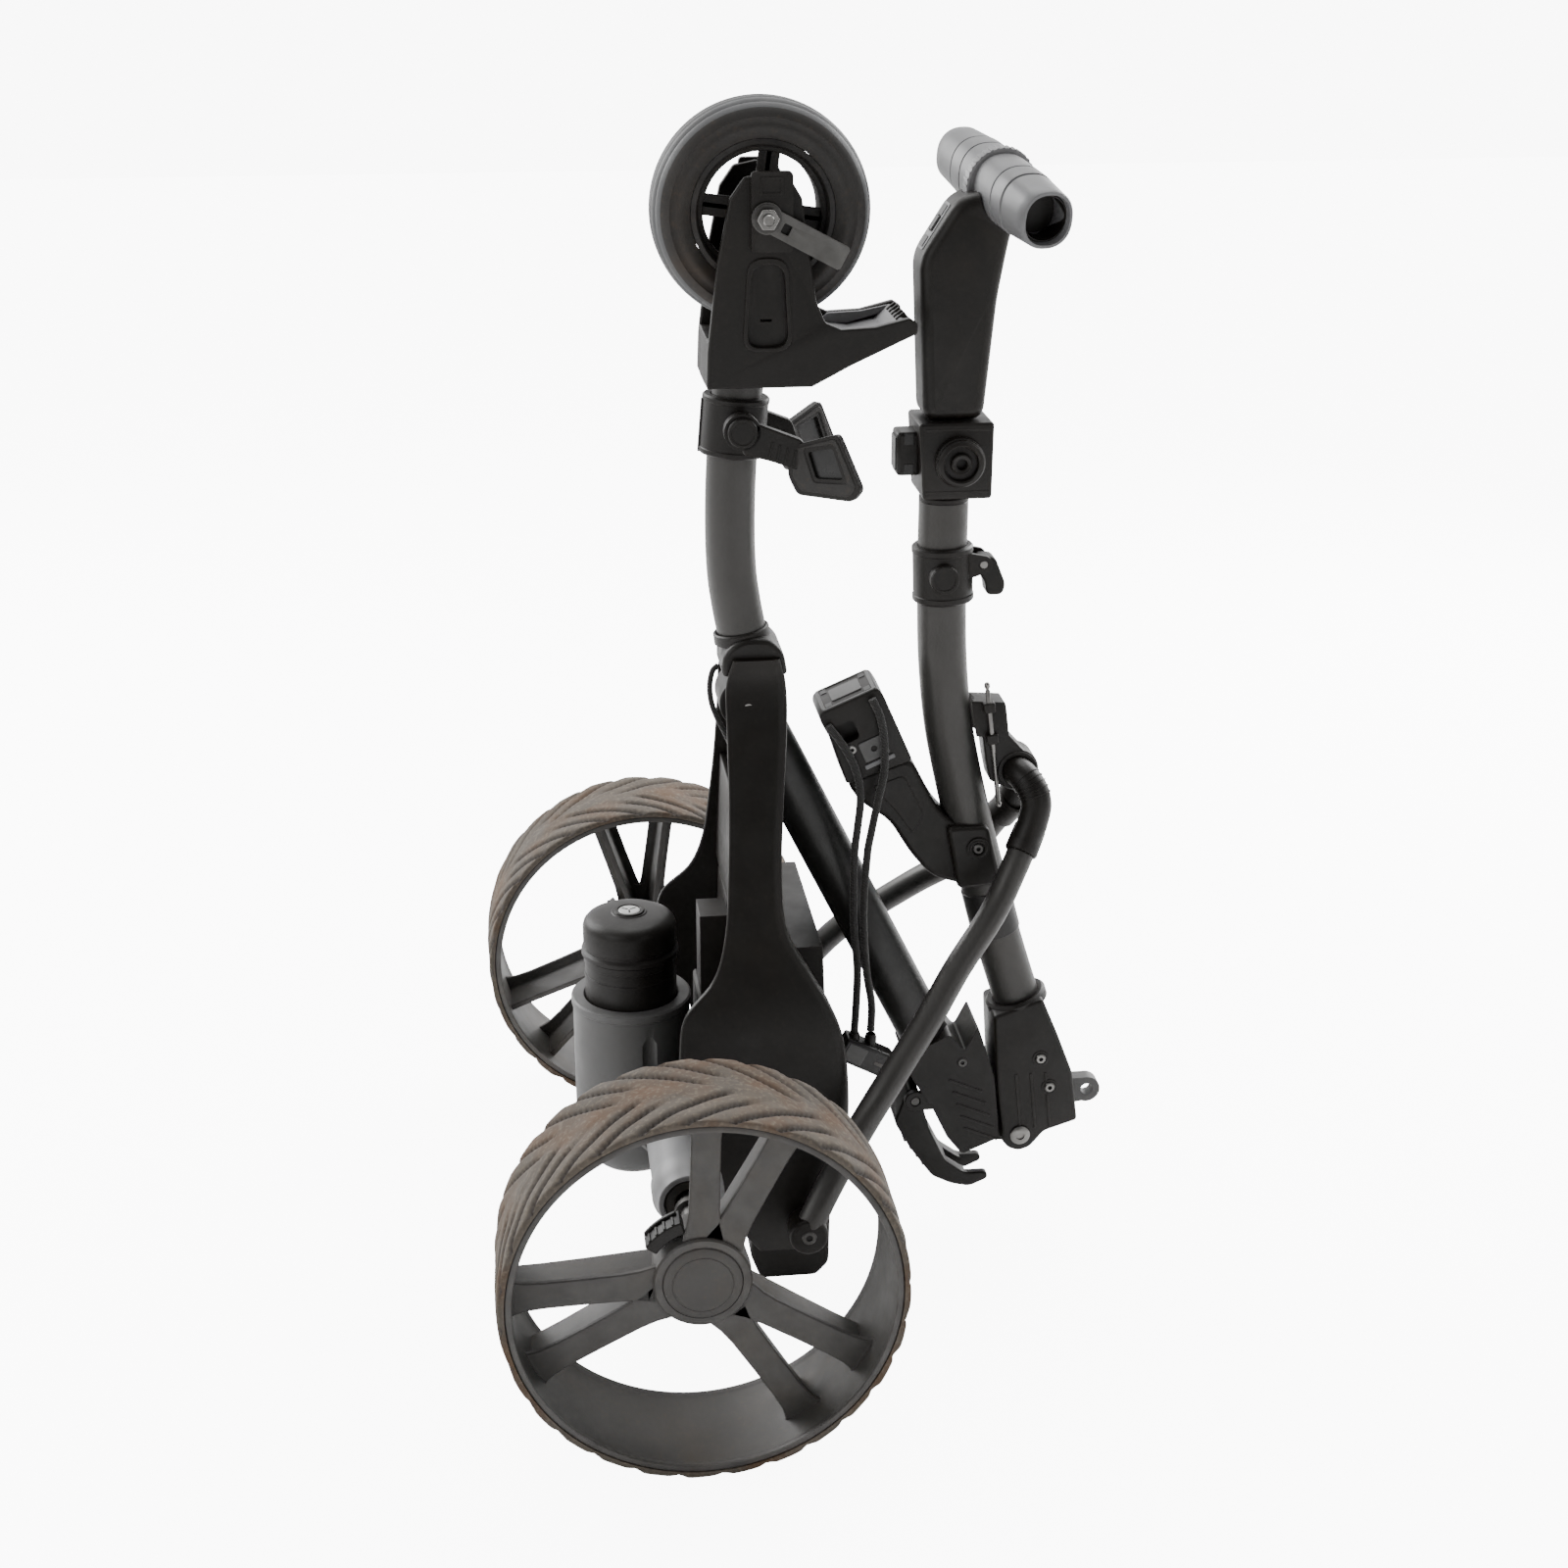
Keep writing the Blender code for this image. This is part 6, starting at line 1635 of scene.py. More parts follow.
# ---- Lower frame --------------------------------------------------------------------
@dataclass
class LowerFrame:
    """The lower tube, its half of the knuckle, the knuckle's pin and the latch."""

    neck_pivot: tuple[float, float] = (0.0605, 0.4620)
    tube_end: tuple[float, float] = (0.2139, 0.1500)
    tube_radius: float = 0.0195
    knuckle_pivot: tuple[float, float] = (0.2785, 0.0880)
    knuckle_half: float = 0.0245
    tongue_half: float = 0.0118
    latch_pivot: tuple[float, float] = (0.1930, 0.1230)
    prong_inner: float = 0.0120
    prong_outer: float = 0.0185

    def build(self) -> None:
        """Builds the lower frame's pieces."""
        settle(self.tube(), "lower_frame", TUBE_DARK, "lower_tube")
        settle(self.knuckle(), "lower_frame", BLACK_SHELL, "knuckle_lower")
        settle(self.pin(), "lower_frame", PLATED, "knuckle_pin")
        settle(self.latch(), "latch", BLACK_SHELL, "latch_lever")

    def tube(self) -> bpy.types.Object:
        """The straight lower tube with its round eye."""
        bar = swept("bar", in_middle((self.neck_pivot, self.tube_end)), self.tube_radius, TUBE_DARK)
        eye = disc("eye", self.neck_pivot, 0.0200, -0.0205, 0.0205, BLACK_SHELL, 0.0012, 0.0056)
        return fused("lower_bar", [bar, eye])

    def knuckle(self) -> bpy.types.Object:
        """The knuckle's lower half: a ribbed casting with a tongue and two latch lugs."""
        half = ((0.1830, 0.1620), (0.2195, 0.1810), (0.2316, 0.1660), (0.2420, 0.1867), (0.2490, 0.1650),
                (0.2560, 0.1408), (0.2595, 0.1100), (0.2605, 0.0950), (0.2600, 0.0855), (0.2318, 0.0735),
                (0.2190, 0.0900), (0.2075, 0.1150), (0.1905, 0.1430))
        tongue = [(0.2450, 0.1000), (0.2450, 0.0800)] + arc(self.knuckle_pivot, 0.0130, -110, 110, 24)
        wide = self.knuckle_half
        shapes = [cutout("half", half, -wide, wide, BLACK_SHELL, corner=0.0035, bevel=0.0030),
                  cutout("tongue", tongue, -self.tongue_half, self.tongue_half, BLACK_SHELL,
                         [arc(self.knuckle_pivot, 0.0053, count=28)])]
        for side in (-1, 1):
            low, high = sorted((side * 0.0190, side * 0.0240))
            lug = arc(self.latch_pivot, 0.0085, 60, 250, 18) + [(0.2080, 0.1150), (0.2000, 0.1380)]
            shapes.append(cutout(f"lug_{side + 1}", lug, low, high, BLACK_SHELL,
                                 [arc(self.latch_pivot, 0.0038, count=20)], 0.0, 0.0008))
            for number in range(5):
                place = (0.2330 + 0.0034 * number, side * (wide - 0.0002), 0.1350 - 0.0110 * number)
                shapes.append(block(f"rib_{number}_{side + 1}", (0.0300, 0.0016, 0.0022), place, BLACK_SHELL,
                                    math.radians(24), bevel=0.0005))
            shapes.append(screw_head(f"bolt_{side + 1}", (0.2300, side * (wide - 0.0006), 0.1560),
                    (0, side, 0), 0.0040,
                                     DARK_STEEL))
        return fused("knuckle_base", shapes)

    def pin(self) -> bpy.types.Object:
        """The knuckle's pin with domed heads."""
        outer = self.knuckle_half + GAP
        place = Matrix.Translation((self.knuckle_pivot[0], 0, self.knuckle_pivot[1])) @ SIDEWAYS
        head = [(0, outer + 0.0012), (0.0032, outer + 0.0012), (0.0034, outer + 0.0025),
                (0.0062, outer + 0.0023),
                (0.0080, outer + 0.0012), (0.0080, outer), (0.0050, outer)]
        profile = head + [(radius, -height) for radius, height in reversed(head)]
        return turned("knuckle_bolt", profile, PLATED, place, 48)

    def latch(self) -> bpy.types.Object:
        """The latch lever: a curved hook with two prongs, a slit and grip ribs."""
        lever = ((0.1880, 0.1320), (0.1777, 0.1017), (0.1905, 0.0780), (0.2090, 0.0511), (0.2250, 0.0430),
                 (0.2400, 0.0395), (0.2550, 0.0460), (0.2540, 0.0520), (0.2360, 0.0520), (0.2200, 0.0640),
                 (0.2060, 0.0930), (0.1970, 0.1290))
        wide = self.prong_outer
        body = cutout("lever", rounded(lever, 0.004), -wide, wide, BLACK_SHELL, bevel=0.0014)
        body = carved(body, block("gap", (0.0400, 2 * self.prong_inner, 0.0300), (0.2565, 0, 0.0460),
                BLACK_SHELL,
                                  bevel=0.0),
                      block("lug_gap", (0.0300, 0.0136, 0.0300), (0.2285, 0, 0.0480), BLACK_SHELL,
                      bevel=0.0),
                      block("slit", (0.0400, 0.0220, 0.0026), (0.1880, 0, 0.1080), BLACK_SHELL,
                      math.radians(-20),
                            bevel=0.0))
        shapes = [body, disc("trunnion", self.latch_pivot, 0.0035, -0.0238, 0.0238, DARK_STEEL, 0.0004)]
        for number in range(4):
            place = (0.1872 + 0.0050 * number, 0, 0.0830 - 0.0074 * number)
            shapes.append(block(f"grip_{number}", (0.0024, 2 * wide - 0.008, 0.0024), place, BLACK_SHELL,
                                math.radians(55), bevel=0.0007))
        return fused("latch_hook", shapes)


# ---- Upper frame --------------------------------------------------------------------
@dataclass
class UpperFrame:
    """The upper tube with its knuckle half, bag support, bungee cords, collar and tilt tongue."""

    knuckle_pivot: tuple[float, float] = (0.2785, 0.0880)
    knuckle_half: float = 0.0245
    lug: tuple[float, float] = (0.3366, 0.1153)
    head_half: float = 0.0235
    tongue_half_room: float = 0.0122
    clamp_pivot: tuple[float, float] = (0.2375, 0.5600)
    tilt_pivot: tuple[float, float] = (0.2143, 0.6414)
    bungee_radius: float = 0.0030
    left: Points = ((0.1205, -0.0272, 0.4440), (0.1314, -0.0280, 0.4292), (0.1397, -0.0285, 0.4133),
                    (0.1440, -0.0295, 0.3981), (0.1448, -0.0310, 0.3827), (0.1426, -0.0325, 0.3634),
                    (0.1403, -0.0340, 0.3411), (0.1400, -0.0355, 0.2900), (0.1430, -0.0370, 0.2500),
                    (0.1420, -0.0400, 0.2200), (0.1400, -0.0440, 0.1960))
    right: Points = ((0.1533, -0.0272, 0.4640), (0.1591, -0.0280, 0.4512), (0.1623, -0.0285, 0.4356),
                     (0.1631, -0.0290, 0.4204), (0.1625, -0.0300, 0.4051), (0.1585, -0.0310, 0.3860),
                     (0.1530, -0.0330, 0.3593), (0.1500, -0.0340, 0.3406), (0.1475, -0.0355, 0.2950),
                     (0.1500, -0.0370, 0.2480), (0.1540, -0.0400, 0.2200), (0.1530, -0.0440, 0.1985))

    def build(self) -> None:
        """Builds the upper frame's pieces."""
        free_cord("bungee_left", "upper_frame", self.left, self.bungee_radius)
        free_cord("bungee_right", "upper_frame", self.right, self.bungee_radius)
        body = "upper_frame"
        settle(self.tube(), body, GRAPHITE, "upper_tube")
        settle(self.knuckle(), body, BLACK_SHELL, "knuckle_upper")
        settle(self.bracket(), body, BLACK_SHELL, "bag_bracket")
        settle(self.head(), body, BLACK_SHELL, "bag_head")
        settle(self.hook(), body, BLACK_GLOSS, "bungee_hook")
        settle(self.collar(), body, BLACK_SHELL, "clamp_collar")
        settle(self.tongue(), body, BLACK_SHELL, "tilt_tongue")
        settle(self.clamp(), "clamp", BLACK_SHELL, "clamp_lever")

    def tube(self) -> bpy.types.Object:
        """The upper tube with a dark sleeve under the bag bracket."""
        line = smooth(in_middle(UPPER_LINE), 5)
        bar = swept("bar", line, MAIN_TUBE, GRAPHITE)
        sleeve = [point for point in line if 0.2580 < point.z < 0.3060]
        return fused("upper_bar", [bar, swept("sleeve", sleeve, MAIN_TUBE + 0.0010, TUBE_DARK)])

    def knuckle(self) -> bpy.types.Object:
        """The knuckle's upper half, with its tongue slot, bolts and strap lug."""
        half = ((0.2545, 0.1945), (0.2930, 0.2076), (0.3065, 0.1750), (0.3195, 0.1411), (0.3254, 0.0980),
                (0.2985, 0.0893), (0.2925, 0.0818), (0.2870, 0.0755), (0.2785, 0.0728), (0.2700, 0.0755),
                (0.2640, 0.0830), (0.2640, 0.0950), (0.2615, 0.1100), (0.2580, 0.1400))
        wide, slot = self.knuckle_half, self.tongue_half_room
        body = cutout("half", half, -wide, wide, BLACK_SHELL, corner=0.003, bevel=0.0030)
        body = carved(body, block("tongue_slot", (0.12, 2 * slot, 0.0500),
                                  (0.2900, 0, self.knuckle_pivot[1] + 0.0148 - 0.0250), BLACK_SHELL,
                                  bevel=0.0))
        sweep = arc(self.knuckle_pivot, 0.0680, -12, 56, 12) + arc(self.knuckle_pivot, 0.0400, 56, -12, 12)
        for side in (-1, 1):
            low, high = sorted((side * 0.0115, side * 0.0190))
            body = carved(body, cutout(f"prong_slot_{side + 1}", sweep, low, high, BLACK_SHELL, bevel=0.0))
        lug = [(0.3100, 0.1260), (0.3100, 0.1020)] + arc(self.lug, 0.0108, -110, 100, 24)
        shapes = [body, cutout("lug", lug, -0.0060, 0.0060, CASE_GREY, [arc(self.lug, 0.0050, count=28)],
                0.0, 0.0012)]
        for side in (-1, 1):
            for number, place in enumerate(((0.2930, 0.1556), (0.3012, 0.1297))):
                shapes.append(disc(f"bolt_seat_{number}_{side + 1}", place, 0.0066,
                        *sorted((side * (wide - 0.001),
                                   side * (wide + 0.0006))), BLACK_SHELL, 0.0004, 0.0046))
                shapes.append(screw_head(f"bolt_{number}_{side + 1}", (place[0], side * (wide + 0.0002),
                        place[1]),
                                         (0, side, 0), 0.0042, PLATED))
            for number in range(3):
                shapes.append(block(f"rib_{number}_{side + 1}", (0.0022, 0.0014, 0.0500),
                                    (0.2760 + 0.0120 * number, side * (wide - 0.0001), 0.1180), BLACK_SHELL,
                                    math.radians(-6), bevel=0.0005))
        ring = [(MAIN_TUBE + GAP, -0.004), (MAIN_TUBE + GAP, 0.0030), (MAIN_TUBE + 0.0040, 0.0040),
                (MAIN_TUBE + 0.0062, 0.0020), (MAIN_TUBE + 0.0062, -0.004)]
        run = Vector((UPPER_LINE[2][0] - UPPER_LINE[1][0], 0, UPPER_LINE[2][1] - UPPER_LINE[1][1]))
        shapes.append(turned("socket_ring", ring, BLACK_SHELL, facing(run, (0.2765, 0, 0.2000)), 64, True))
        return fused("knuckle_cap", shapes)

    def bracket(self) -> bpy.types.Object:
        """The bag support's bracket: a smooth arm, a wrap round the tube and a ringed bolt."""
        arm = ((0.1358, 0.3950), (0.1852, 0.4116), (0.2057, 0.3715), (0.2200, 0.3560), (0.2400, 0.3530),
               (0.2400, 0.3060), (0.2250, 0.3060), (0.2035, 0.3133), (0.1870, 0.3329), (0.1700, 0.3612),
               (0.1470, 0.3775))
        wrap = ((0.2130, 0.3560), (0.2455, 0.3560), (0.2520, 0.3300), (0.2580, 0.3070), (0.2230, 0.3040))
        bolt = (0.2375, 0.3384)
        shapes = [cutout("arm", rounded(arm, 0.009), -0.0160, 0.0160, BLACK_SHELL, bevel=0.0035),
                  cutout("wrap", rounded(wrap, 0.006), -0.0230, 0.0230, BLACK_SHELL, bevel=0.0030)]
        for side in (-1, 1):
            near, far = sorted((side * 0.0220, side * 0.0248)), sorted((side * 0.0240, side * 0.0255))
            shapes += [disc(f"bolt_base_{side + 1}", bolt, 0.0086, *near, BLACK_SHELL, 0.0006, 0.0050),
                       disc(f"bolt_ring_{side + 1}", bolt, 0.0070, *far, BLACK_SHELL, 0.0004, 0.0052),
                       screw_head(f"bolt_head_{side + 1}", (bolt[0], side * 0.0236, bolt[1]), (0, side, 0),
                       0.0042,
                                  DARK_STEEL)]
            shapes.append(cutout(f"arm_pad_{side + 1}", ((0.1560, 0.3900), (0.1800, 0.3980),
                    (0.1960, 0.3660),
                                 (0.1880, 0.3500), (0.1740, 0.3700)),
                                 *sorted((side * 0.0155, side * 0.0166)),
                                 BLACK_SHELL, corner=0.004, bevel=0.0006))
        return fused("support_bracket", shapes)

    def on_head(self, along: float, up: float) -> tuple[float, float]:
        """A place on the bag head, from its lower left corner along its top's direction."""
        run, rise = Vector((0.9184, 0.3956)), Vector((-0.3956, 0.9184))
        point = Vector((0.1354, 0.3955)) + run * along + rise * up
        return point.x, point.y

    def head(self) -> bpy.types.Object:
        """The bag head: a moulded block with windows, bumps, a screw and a rimmed top pad."""
        outline = ((0.1157, 0.4531), (0.1580, 0.4712), (0.1630, 0.4640), (0.1855, 0.4124), (0.1354, 0.3955),
                   (0.1240, 0.4300), (0.1150, 0.4470))
        wide = self.head_half
        body = cutout("body", rounded(outline, 0.003), -wide, wide, BLACK_SHELL, bevel=0.0016)
        tools = [cutout("mouth", rounded([self.on_head(*p) for p in ((0.006, 0.030), (0.024, 0.030),
                (0.024, 0.046),
                 (0.006, 0.046))], 0.004), -wide - 0.002, -wide + 0.0100, BLACK_SHELL, bevel=0.0),
                 cutout("mouth_far", rounded([self.on_head(*p) for p in ((0.006, 0.030), (0.024, 0.030),
                        (0.024, 0.046), (0.006, 0.046))], 0.004), wide - 0.0100, wide + 0.002, BLACK_SHELL,
                        bevel=0.0)]
        for number in range(3):
            up = 0.012 + 0.013 * number
            x, z = self.on_head(-0.002 - 0.0003 * number, up)
            tools.append(block(f"window_{number}", (0.0160, 0.0340, 0.0070), (x, 0, z), BLACK_SHELL,
                               math.radians(-23), bevel=0.0))
        for number in range(3):
            x, z = self.on_head(0.0490 - 0.0035 * number, 0.014 + 0.013 * number)
            tools.append(block(f"back_window_{number}", (0.0120, 0.0300, 0.0060), (x, 0, z), BLACK_SHELL,
                               math.radians(-23), bevel=0.0))
        shapes = [carved(body, *tools)]
        top = Matrix.Translation((0.1368, 0, 0.4622)) @ Matrix.Rotation(math.radians(-23.2), 4, "Y")
        frame_out = ((-0.0215, -0.0225), (0.0215, -0.0225), (0.0215, 0.0225), (-0.0215, 0.0225))
        frame_in = ((-0.0190, -0.0200), (0.0190, -0.0200), (0.0190, 0.0200), (-0.0190, 0.0200))
        pad = ((-0.0120, -0.0120), (0.0120, -0.0120), (0.0120, 0.0120), (-0.0120, 0.0120))
        shapes += [cutout("top_rim", rounded(frame_out, 0.003), -0.0012, 0.0006, CASE_GREY,
                [rounded(frame_in, 0.002)],
                          0.0, 0.0004, top),
                   cutout("top_pad", rounded(pad, 0.002), -0.0010, 0.0010, CASE_GREY, bevel=0.0005,
                   place=top)]
        for along in (-0.0156, 0.0156):
            for across in (-0.0150, 0.0150):
                window = [(along + x, across + y) for x, y in ((-0.0024, -0.0040), (0.0024, -0.0040),
                                                               (0.0024, 0.0040), (-0.0024, 0.0040))]
                shapes.append(cutout("top_window", window, -0.0006, 0.0004, BLACK_GLOSS, corner=0.0006,
                        bevel=0.0002,
                                     place=top))
        for side in (-1, 1):
            low, high = sorted((side * (wide - 0.0010), side * (wide + 0.0012)))
            plate = [self.on_head(*p) for p in ((0.020, 0.010), (0.040, 0.010), (0.040, 0.026),
                    (0.020, 0.026))]
            rib = [self.on_head(*p) for p in ((0.018, 0.0045), (0.042, 0.0045), (0.042, 0.0080),
                    (0.018, 0.0080))]
            x, z = self.on_head(0.030, 0.018)
            shapes += [cutout(f"plate_{side + 1}", rounded(plate, 0.002), low, high, CASE_GREY,
                              [arc((x, z), 0.0024, count=20)], 0.0, 0.0005),
                       cutout(f"plate_rib_{side + 1}", rounded(rib, 0.001), low, high, PALE_GREY,
                       bevel=0.0005)]
            x, z = self.on_head(0.0145, 0.0240)
            shapes.append(screw_head(f"head_screw_{side + 1}", (x, side * (wide - 0.0002), z), (0, side, 0),
                    0.0036,
                                     PLATED))
            for number in range(3):
                x, z = self.on_head(0.0465 - 0.0042 * number, 0.008 + 0.015 * number)
                shapes.append(block(f"bump_{number}_{side + 1}", (0.0060, 0.0050, 0.0100),
                        (x, side * (wide - 0.004), z),
                                    CASE_GREY, math.radians(-18), bevel=0.0016))
        return fused("support_head", shapes)

    def hook(self) -> bpy.types.Object:
        """The bungee's hook: a black block with a grey face and two cord ferrules."""
        turn = math.radians(28)
        shapes = [block("body", (0.0420, 0.0180, 0.0200), (0.1480, -0.0440, 0.1790), BLACK_GLOSS, turn,
                bevel=0.0024),
                  block("face", (0.0160, 0.0006, 0.0140), (0.1400, -0.0531, 0.1832), CASE_GREY, turn,
                  bevel=0.0002),
                  block("slot", (0.0100, 0.0008, 0.0030), (0.1590, -0.0530, 0.1730), DARK_STEEL, turn,
                  bevel=0.0002)]
        for number, (x, z) in enumerate(((0.1400, 0.1945), (0.1530, 0.1925))):
            ferrule = [(0, -0.006), (0.0044, -0.006), (0.0046, 0.0010), (0.0038, 0.0036), (0.0031, 0.0036)]
            shapes.append(turned(f"ferrule_{number}", ferrule, BLACK_SHELL, Matrix.Translation((x, -0.0440,
                    z)), 32))
        return fused("bungee_block", shapes)

    def collar(self) -> bpy.types.Object:
        """The height clamp's collar with a cap on its side and two ears."""
        start, end = Vector((0.2098, 0, 0.5310)), Vector((0.2084, 0, 0.5735))
        run = end - start
        long, wide, bore = run.length, 0.0228, MAIN_TUBE + GAP
        ring = [(bore, 0), (wide - 0.0014, 0), (wide, 0.0014), (wide, 0.0050), (wide - 0.0006, 0.0056),
                (wide - 0.0006, long - 0.0056), (wide, long - 0.0050), (wide, long - 0.0014), (wide - 0.0014,
                long),
                (bore, long)]
        shapes = [turned("ring", ring, BLACK_SHELL, facing(run, start), 80, True),
                  disc("cap", (0.2061, 0.5530), 0.0107, -0.0274, -0.0150, BLACK_SHELL, 0.0010),
                  disc("cap_rim", (0.2061, 0.5530), 0.0102, -0.0280, -0.0270, BLACK_SHELL, 0.0004, 0.0078)]
        for side in (-1, 1):
            low, high = sorted((side * 0.0096, side * 0.0135))
            ear = [(0.2215, 0.5700), (0.2215, 0.5480)] + arc(self.clamp_pivot, 0.0065, -80, 80, 16)
            shapes.append(cutout(f"ear_{side + 1}", ear, low, high, BLACK_SHELL,
                                 [arc(self.clamp_pivot, 0.0033, count=20)]))
        return fused("height_collar", shapes)

    def clamp(self) -> bpy.types.Object:
        """The height clamp's lever, waisted, with a turned-out tip."""
        lever = ((0.2343, 0.5645), (0.2400, 0.5650), (0.2470, 0.5640), (0.2554, 0.5430), (0.2530, 0.5350),
                 (0.2410, 0.5350), (0.2400, 0.5450), (0.2345, 0.5530))
        shapes = [cutout("lever", rounded(lever, 0.004), -0.0090, 0.0090, BLACK_SHELL, bevel=0.0022),
                  disc("pin", self.clamp_pivot, 0.0030, -0.0134, 0.0134, PLATED, 0.0004)]
        for number in range(3):
            shapes.append(block(f"tip_rib_{number}", (0.0016, 0.0140, 0.0014), (0.2528 - 0.0010 * number, 0,
                                0.5400 + 0.0040 * number), BLACK_SHELL, math.radians(-20), bevel=0.0004))
        return fused("height_lever", shapes)

    def tongue(self) -> bpy.types.Object:
        """The round plug in the tube's top and the tongue that the handle tilts on."""
        outline = [(0.2010, 0.6105), (0.2225, 0.6105)] + arc(self.tilt_pivot, 0.0130, -10, 190, 28)
        plug = turned("plug", [(0, 0.6073), (MAIN_TUBE, 0.6073), (MAIN_TUBE, 0.6102), (MAIN_TUBE - 0.0008,
                0.6110),
                               (0, 0.6110)], BLACK_SHELL, Matrix.Translation((0.2085, 0, 0)), 64)
        plate = cutout("plate", outline, -0.0155, 0.0155, BLACK_SHELL, [arc(self.tilt_pivot, 0.0043,
                count=24)])
        return fused("tilt_plug", [plug, plate])


# ---- Handle -------------------------------------------------------------------------
@dataclass
class Handle:
    """The tilt joint, its knob, the handle's housing, the grip, the dial and the button."""

    pivot: tuple[float, float] = (0.2143, 0.6414)
    block_half: float = 0.0260
    cheek_gap: float = 0.0160
    half: float = 0.0210
    grip_centre: tuple[float, float] = (0.2448, 0.8310)
    grip_half: float = 0.0810
    grip_radius: float = 0.0225
    grip_run: tuple[float, float, float] = (-0.0325, 0.1640, 0.0282)
    dial_radius: float = 0.0262
    dial_width: float = 0.0080
    dial_place: float = 0.0060

    @property
    def grip(self) -> Matrix:
        """The matrix that lays local Z along the grip, near to far."""
        run = Vector(self.grip_run).normalized()
        return facing(run, (self.grip_centre[0], 0, self.grip_centre[1]))

    def build(self) -> None:
        """Builds the handle's pieces."""
        settle(self.joint(), "handle", BLACK_SHELL, "joint_block")
        settle(self.pin(), "handle", PLATED, "tilt_pin")
        settle(self.knob(), "knob", BLACK_SHELL, "joint_knob")
        settle(self.housing(), "handle", BLACK_SHELL, "handle_housing")
        settle(self.bar(), "handle", GRIP_GREY, "grip_bar")
        settle(self.dial(), "dial", PALE_GREY, "speed_dial")
        dressed("power_button", BLACK_GLOSS, 0.0005)

    def joint(self) -> bpy.types.Object:
        """The joint block: two cheeks, a bridge above the tongue and a clip on its front."""
        outline = ((0.1885, 0.6130), (0.1850, 0.6690), (0.2395, 0.6690), (0.2390, 0.6130))
        body = cutout("cheeks", rounded(outline, 0.003), -self.block_half, self.block_half, BLACK_SHELL,
                bevel=0.0020)
        body = carved(body, block("room", (0.0520, 2 * self.cheek_gap, 0.0480), (0.2235, 0, 0.6330),
                BLACK_SHELL,
                                  bevel=0.0))
        shapes = [body,
                  block("clip", (0.0170, 0.0240, 0.0320), (0.1800, 0, 0.6440), BLACK_SHELL, bevel=0.0026),
                  block("clip_plate", (0.0016, 0.0180, 0.0240), (0.1713, 0, 0.6440), BLACK_GLOSS,
                  bevel=0.0006)]
        for side in (-1, 1):
            low, high = sorted((side * (self.block_half - 0.0006), side * (self.block_half + 0.0002)))
            for number, z in enumerate((0.6185, 0.6640)):
                shapes.append(cutout(f"cheek_band_{number}_{side + 1}", ((0.1900, z - 0.0010),
                        (0.2370, z - 0.0010),
                                     (0.2370, z + 0.0010), (0.1900, z + 0.0010)), low, high, BLACK_SHELL,
                                     bevel=0.0003))
            for number, z in enumerate((0.6330, 0.6550)):
                shapes.append(block(f"clip_slot_{number}_{side + 1}", (0.0070, 0.0010, 0.0080),
                                    (0.1800, side * 0.0119, z), BLACK_GLOSS, bevel=0.0003))
        return fused("tilt_joint", shapes)

    def pin(self) -> bpy.types.Object:
        """The pin that the handle tilts on."""
        place = Matrix.Translation((self.pivot[0], 0, self.pivot[1])) @ SIDEWAYS
        return turned("tilt_bolt", [(0, self.block_half), (0.0040, self.block_half),
                (0.0040, -self.cheek_gap + GAP),
                                    (0, -self.cheek_gap + GAP)], PLATED, place, 32)

    def knob(self) -> bpy.types.Object:
        """The joint's knob: a ringed button with a hexagonal socket and fine knurls."""
        place = Matrix.Translation((self.pivot[0], -self.block_half, self.pivot[1])) @ SIDEWAYS
        profile = [(0, 0.0060), (0.0040, 0.0060), (0.0042, 0.0112), (0.0066, 0.0120), (0.0074, 0.0112),
                (0.0080, 0.0072),
                   (0.0118, 0.0070), (0.0126, 0.0104), (0.0138, 0.0112), (0.0160, 0.0106), (0.0170, 0.0096),
                   (0.0172, 0.0072), (0.0180, 0.0064), (0.0180, 0.0010), (0.0176, GAP), (0, GAP)]
        shapes = [turned("button", profile, BLACK_SHELL, place, 96, False, 28)]
        for number in range(24):
            turn = 2 * math.pi * number / 24
            centre = place @ Vector((0.0175 * math.cos(turn), 0.0175 * math.sin(turn), 0.0036))
            shapes.append(block(f"knurl_{number}", (0.0012, 0.0050, 0.0012), centre, BLACK_SHELL,
                    bevel=0.0003))
        return fused("tilt_knob", shapes)

    def housing(self) -> bpy.types.Object:
        """The handle's housing: a rounded shell with a pale strip and glossy keys on its slope."""
        outline = ((0.1893, 0.6693), (0.1842, 0.7840), (0.2100, 0.8250), (0.2380, 0.8330), (0.2540, 0.8200),
                   (0.2479, 0.7959), (0.2408, 0.7566), (0.2328, 0.6693))
        body = cutout("shell", rounded(outline, 0.010, 6), -self.half, self.half, BLACK_SHELL, bevel=0.0095)
        body.modifiers["edges"].segments = 6
        room = turned("room", [(0, -0.06), (self.grip_radius + GAP, -0.06), (self.grip_radius + GAP, 0.06),
                (0, 0.06)],
                      BLACK_SHELL, self.grip, 96)
        dial_low = self.dial_place - self.dial_width / 2 - 0.0006
        dial_high = self.dial_place + self.dial_width / 2 + 0.0006
        dial_room = turned("dial_room", [(0, dial_low), (self.dial_radius + 0.0006, dial_low),
                                         (self.dial_radius + 0.0006, dial_high), (0, dial_high)],
                                         BLACK_SHELL,
                           self.grip, 96)
        low, high = Vector((0.1842, 0, 0.7840)), Vector((0.2100, 0, 0.8250))
        slope = (high - low).normalized()
        normal = Vector((-slope.z, 0, slope.x))
        turn = math.atan2(-slope.z, slope.x)
        button_at = Vector((0.1980, 0, 0.8060)) - normal * 0.0010
        key_room = block("key_room", (0.0120, 0.0120, 0.0100), button_at, BLACK_SHELL, turn, bevel=0.0)
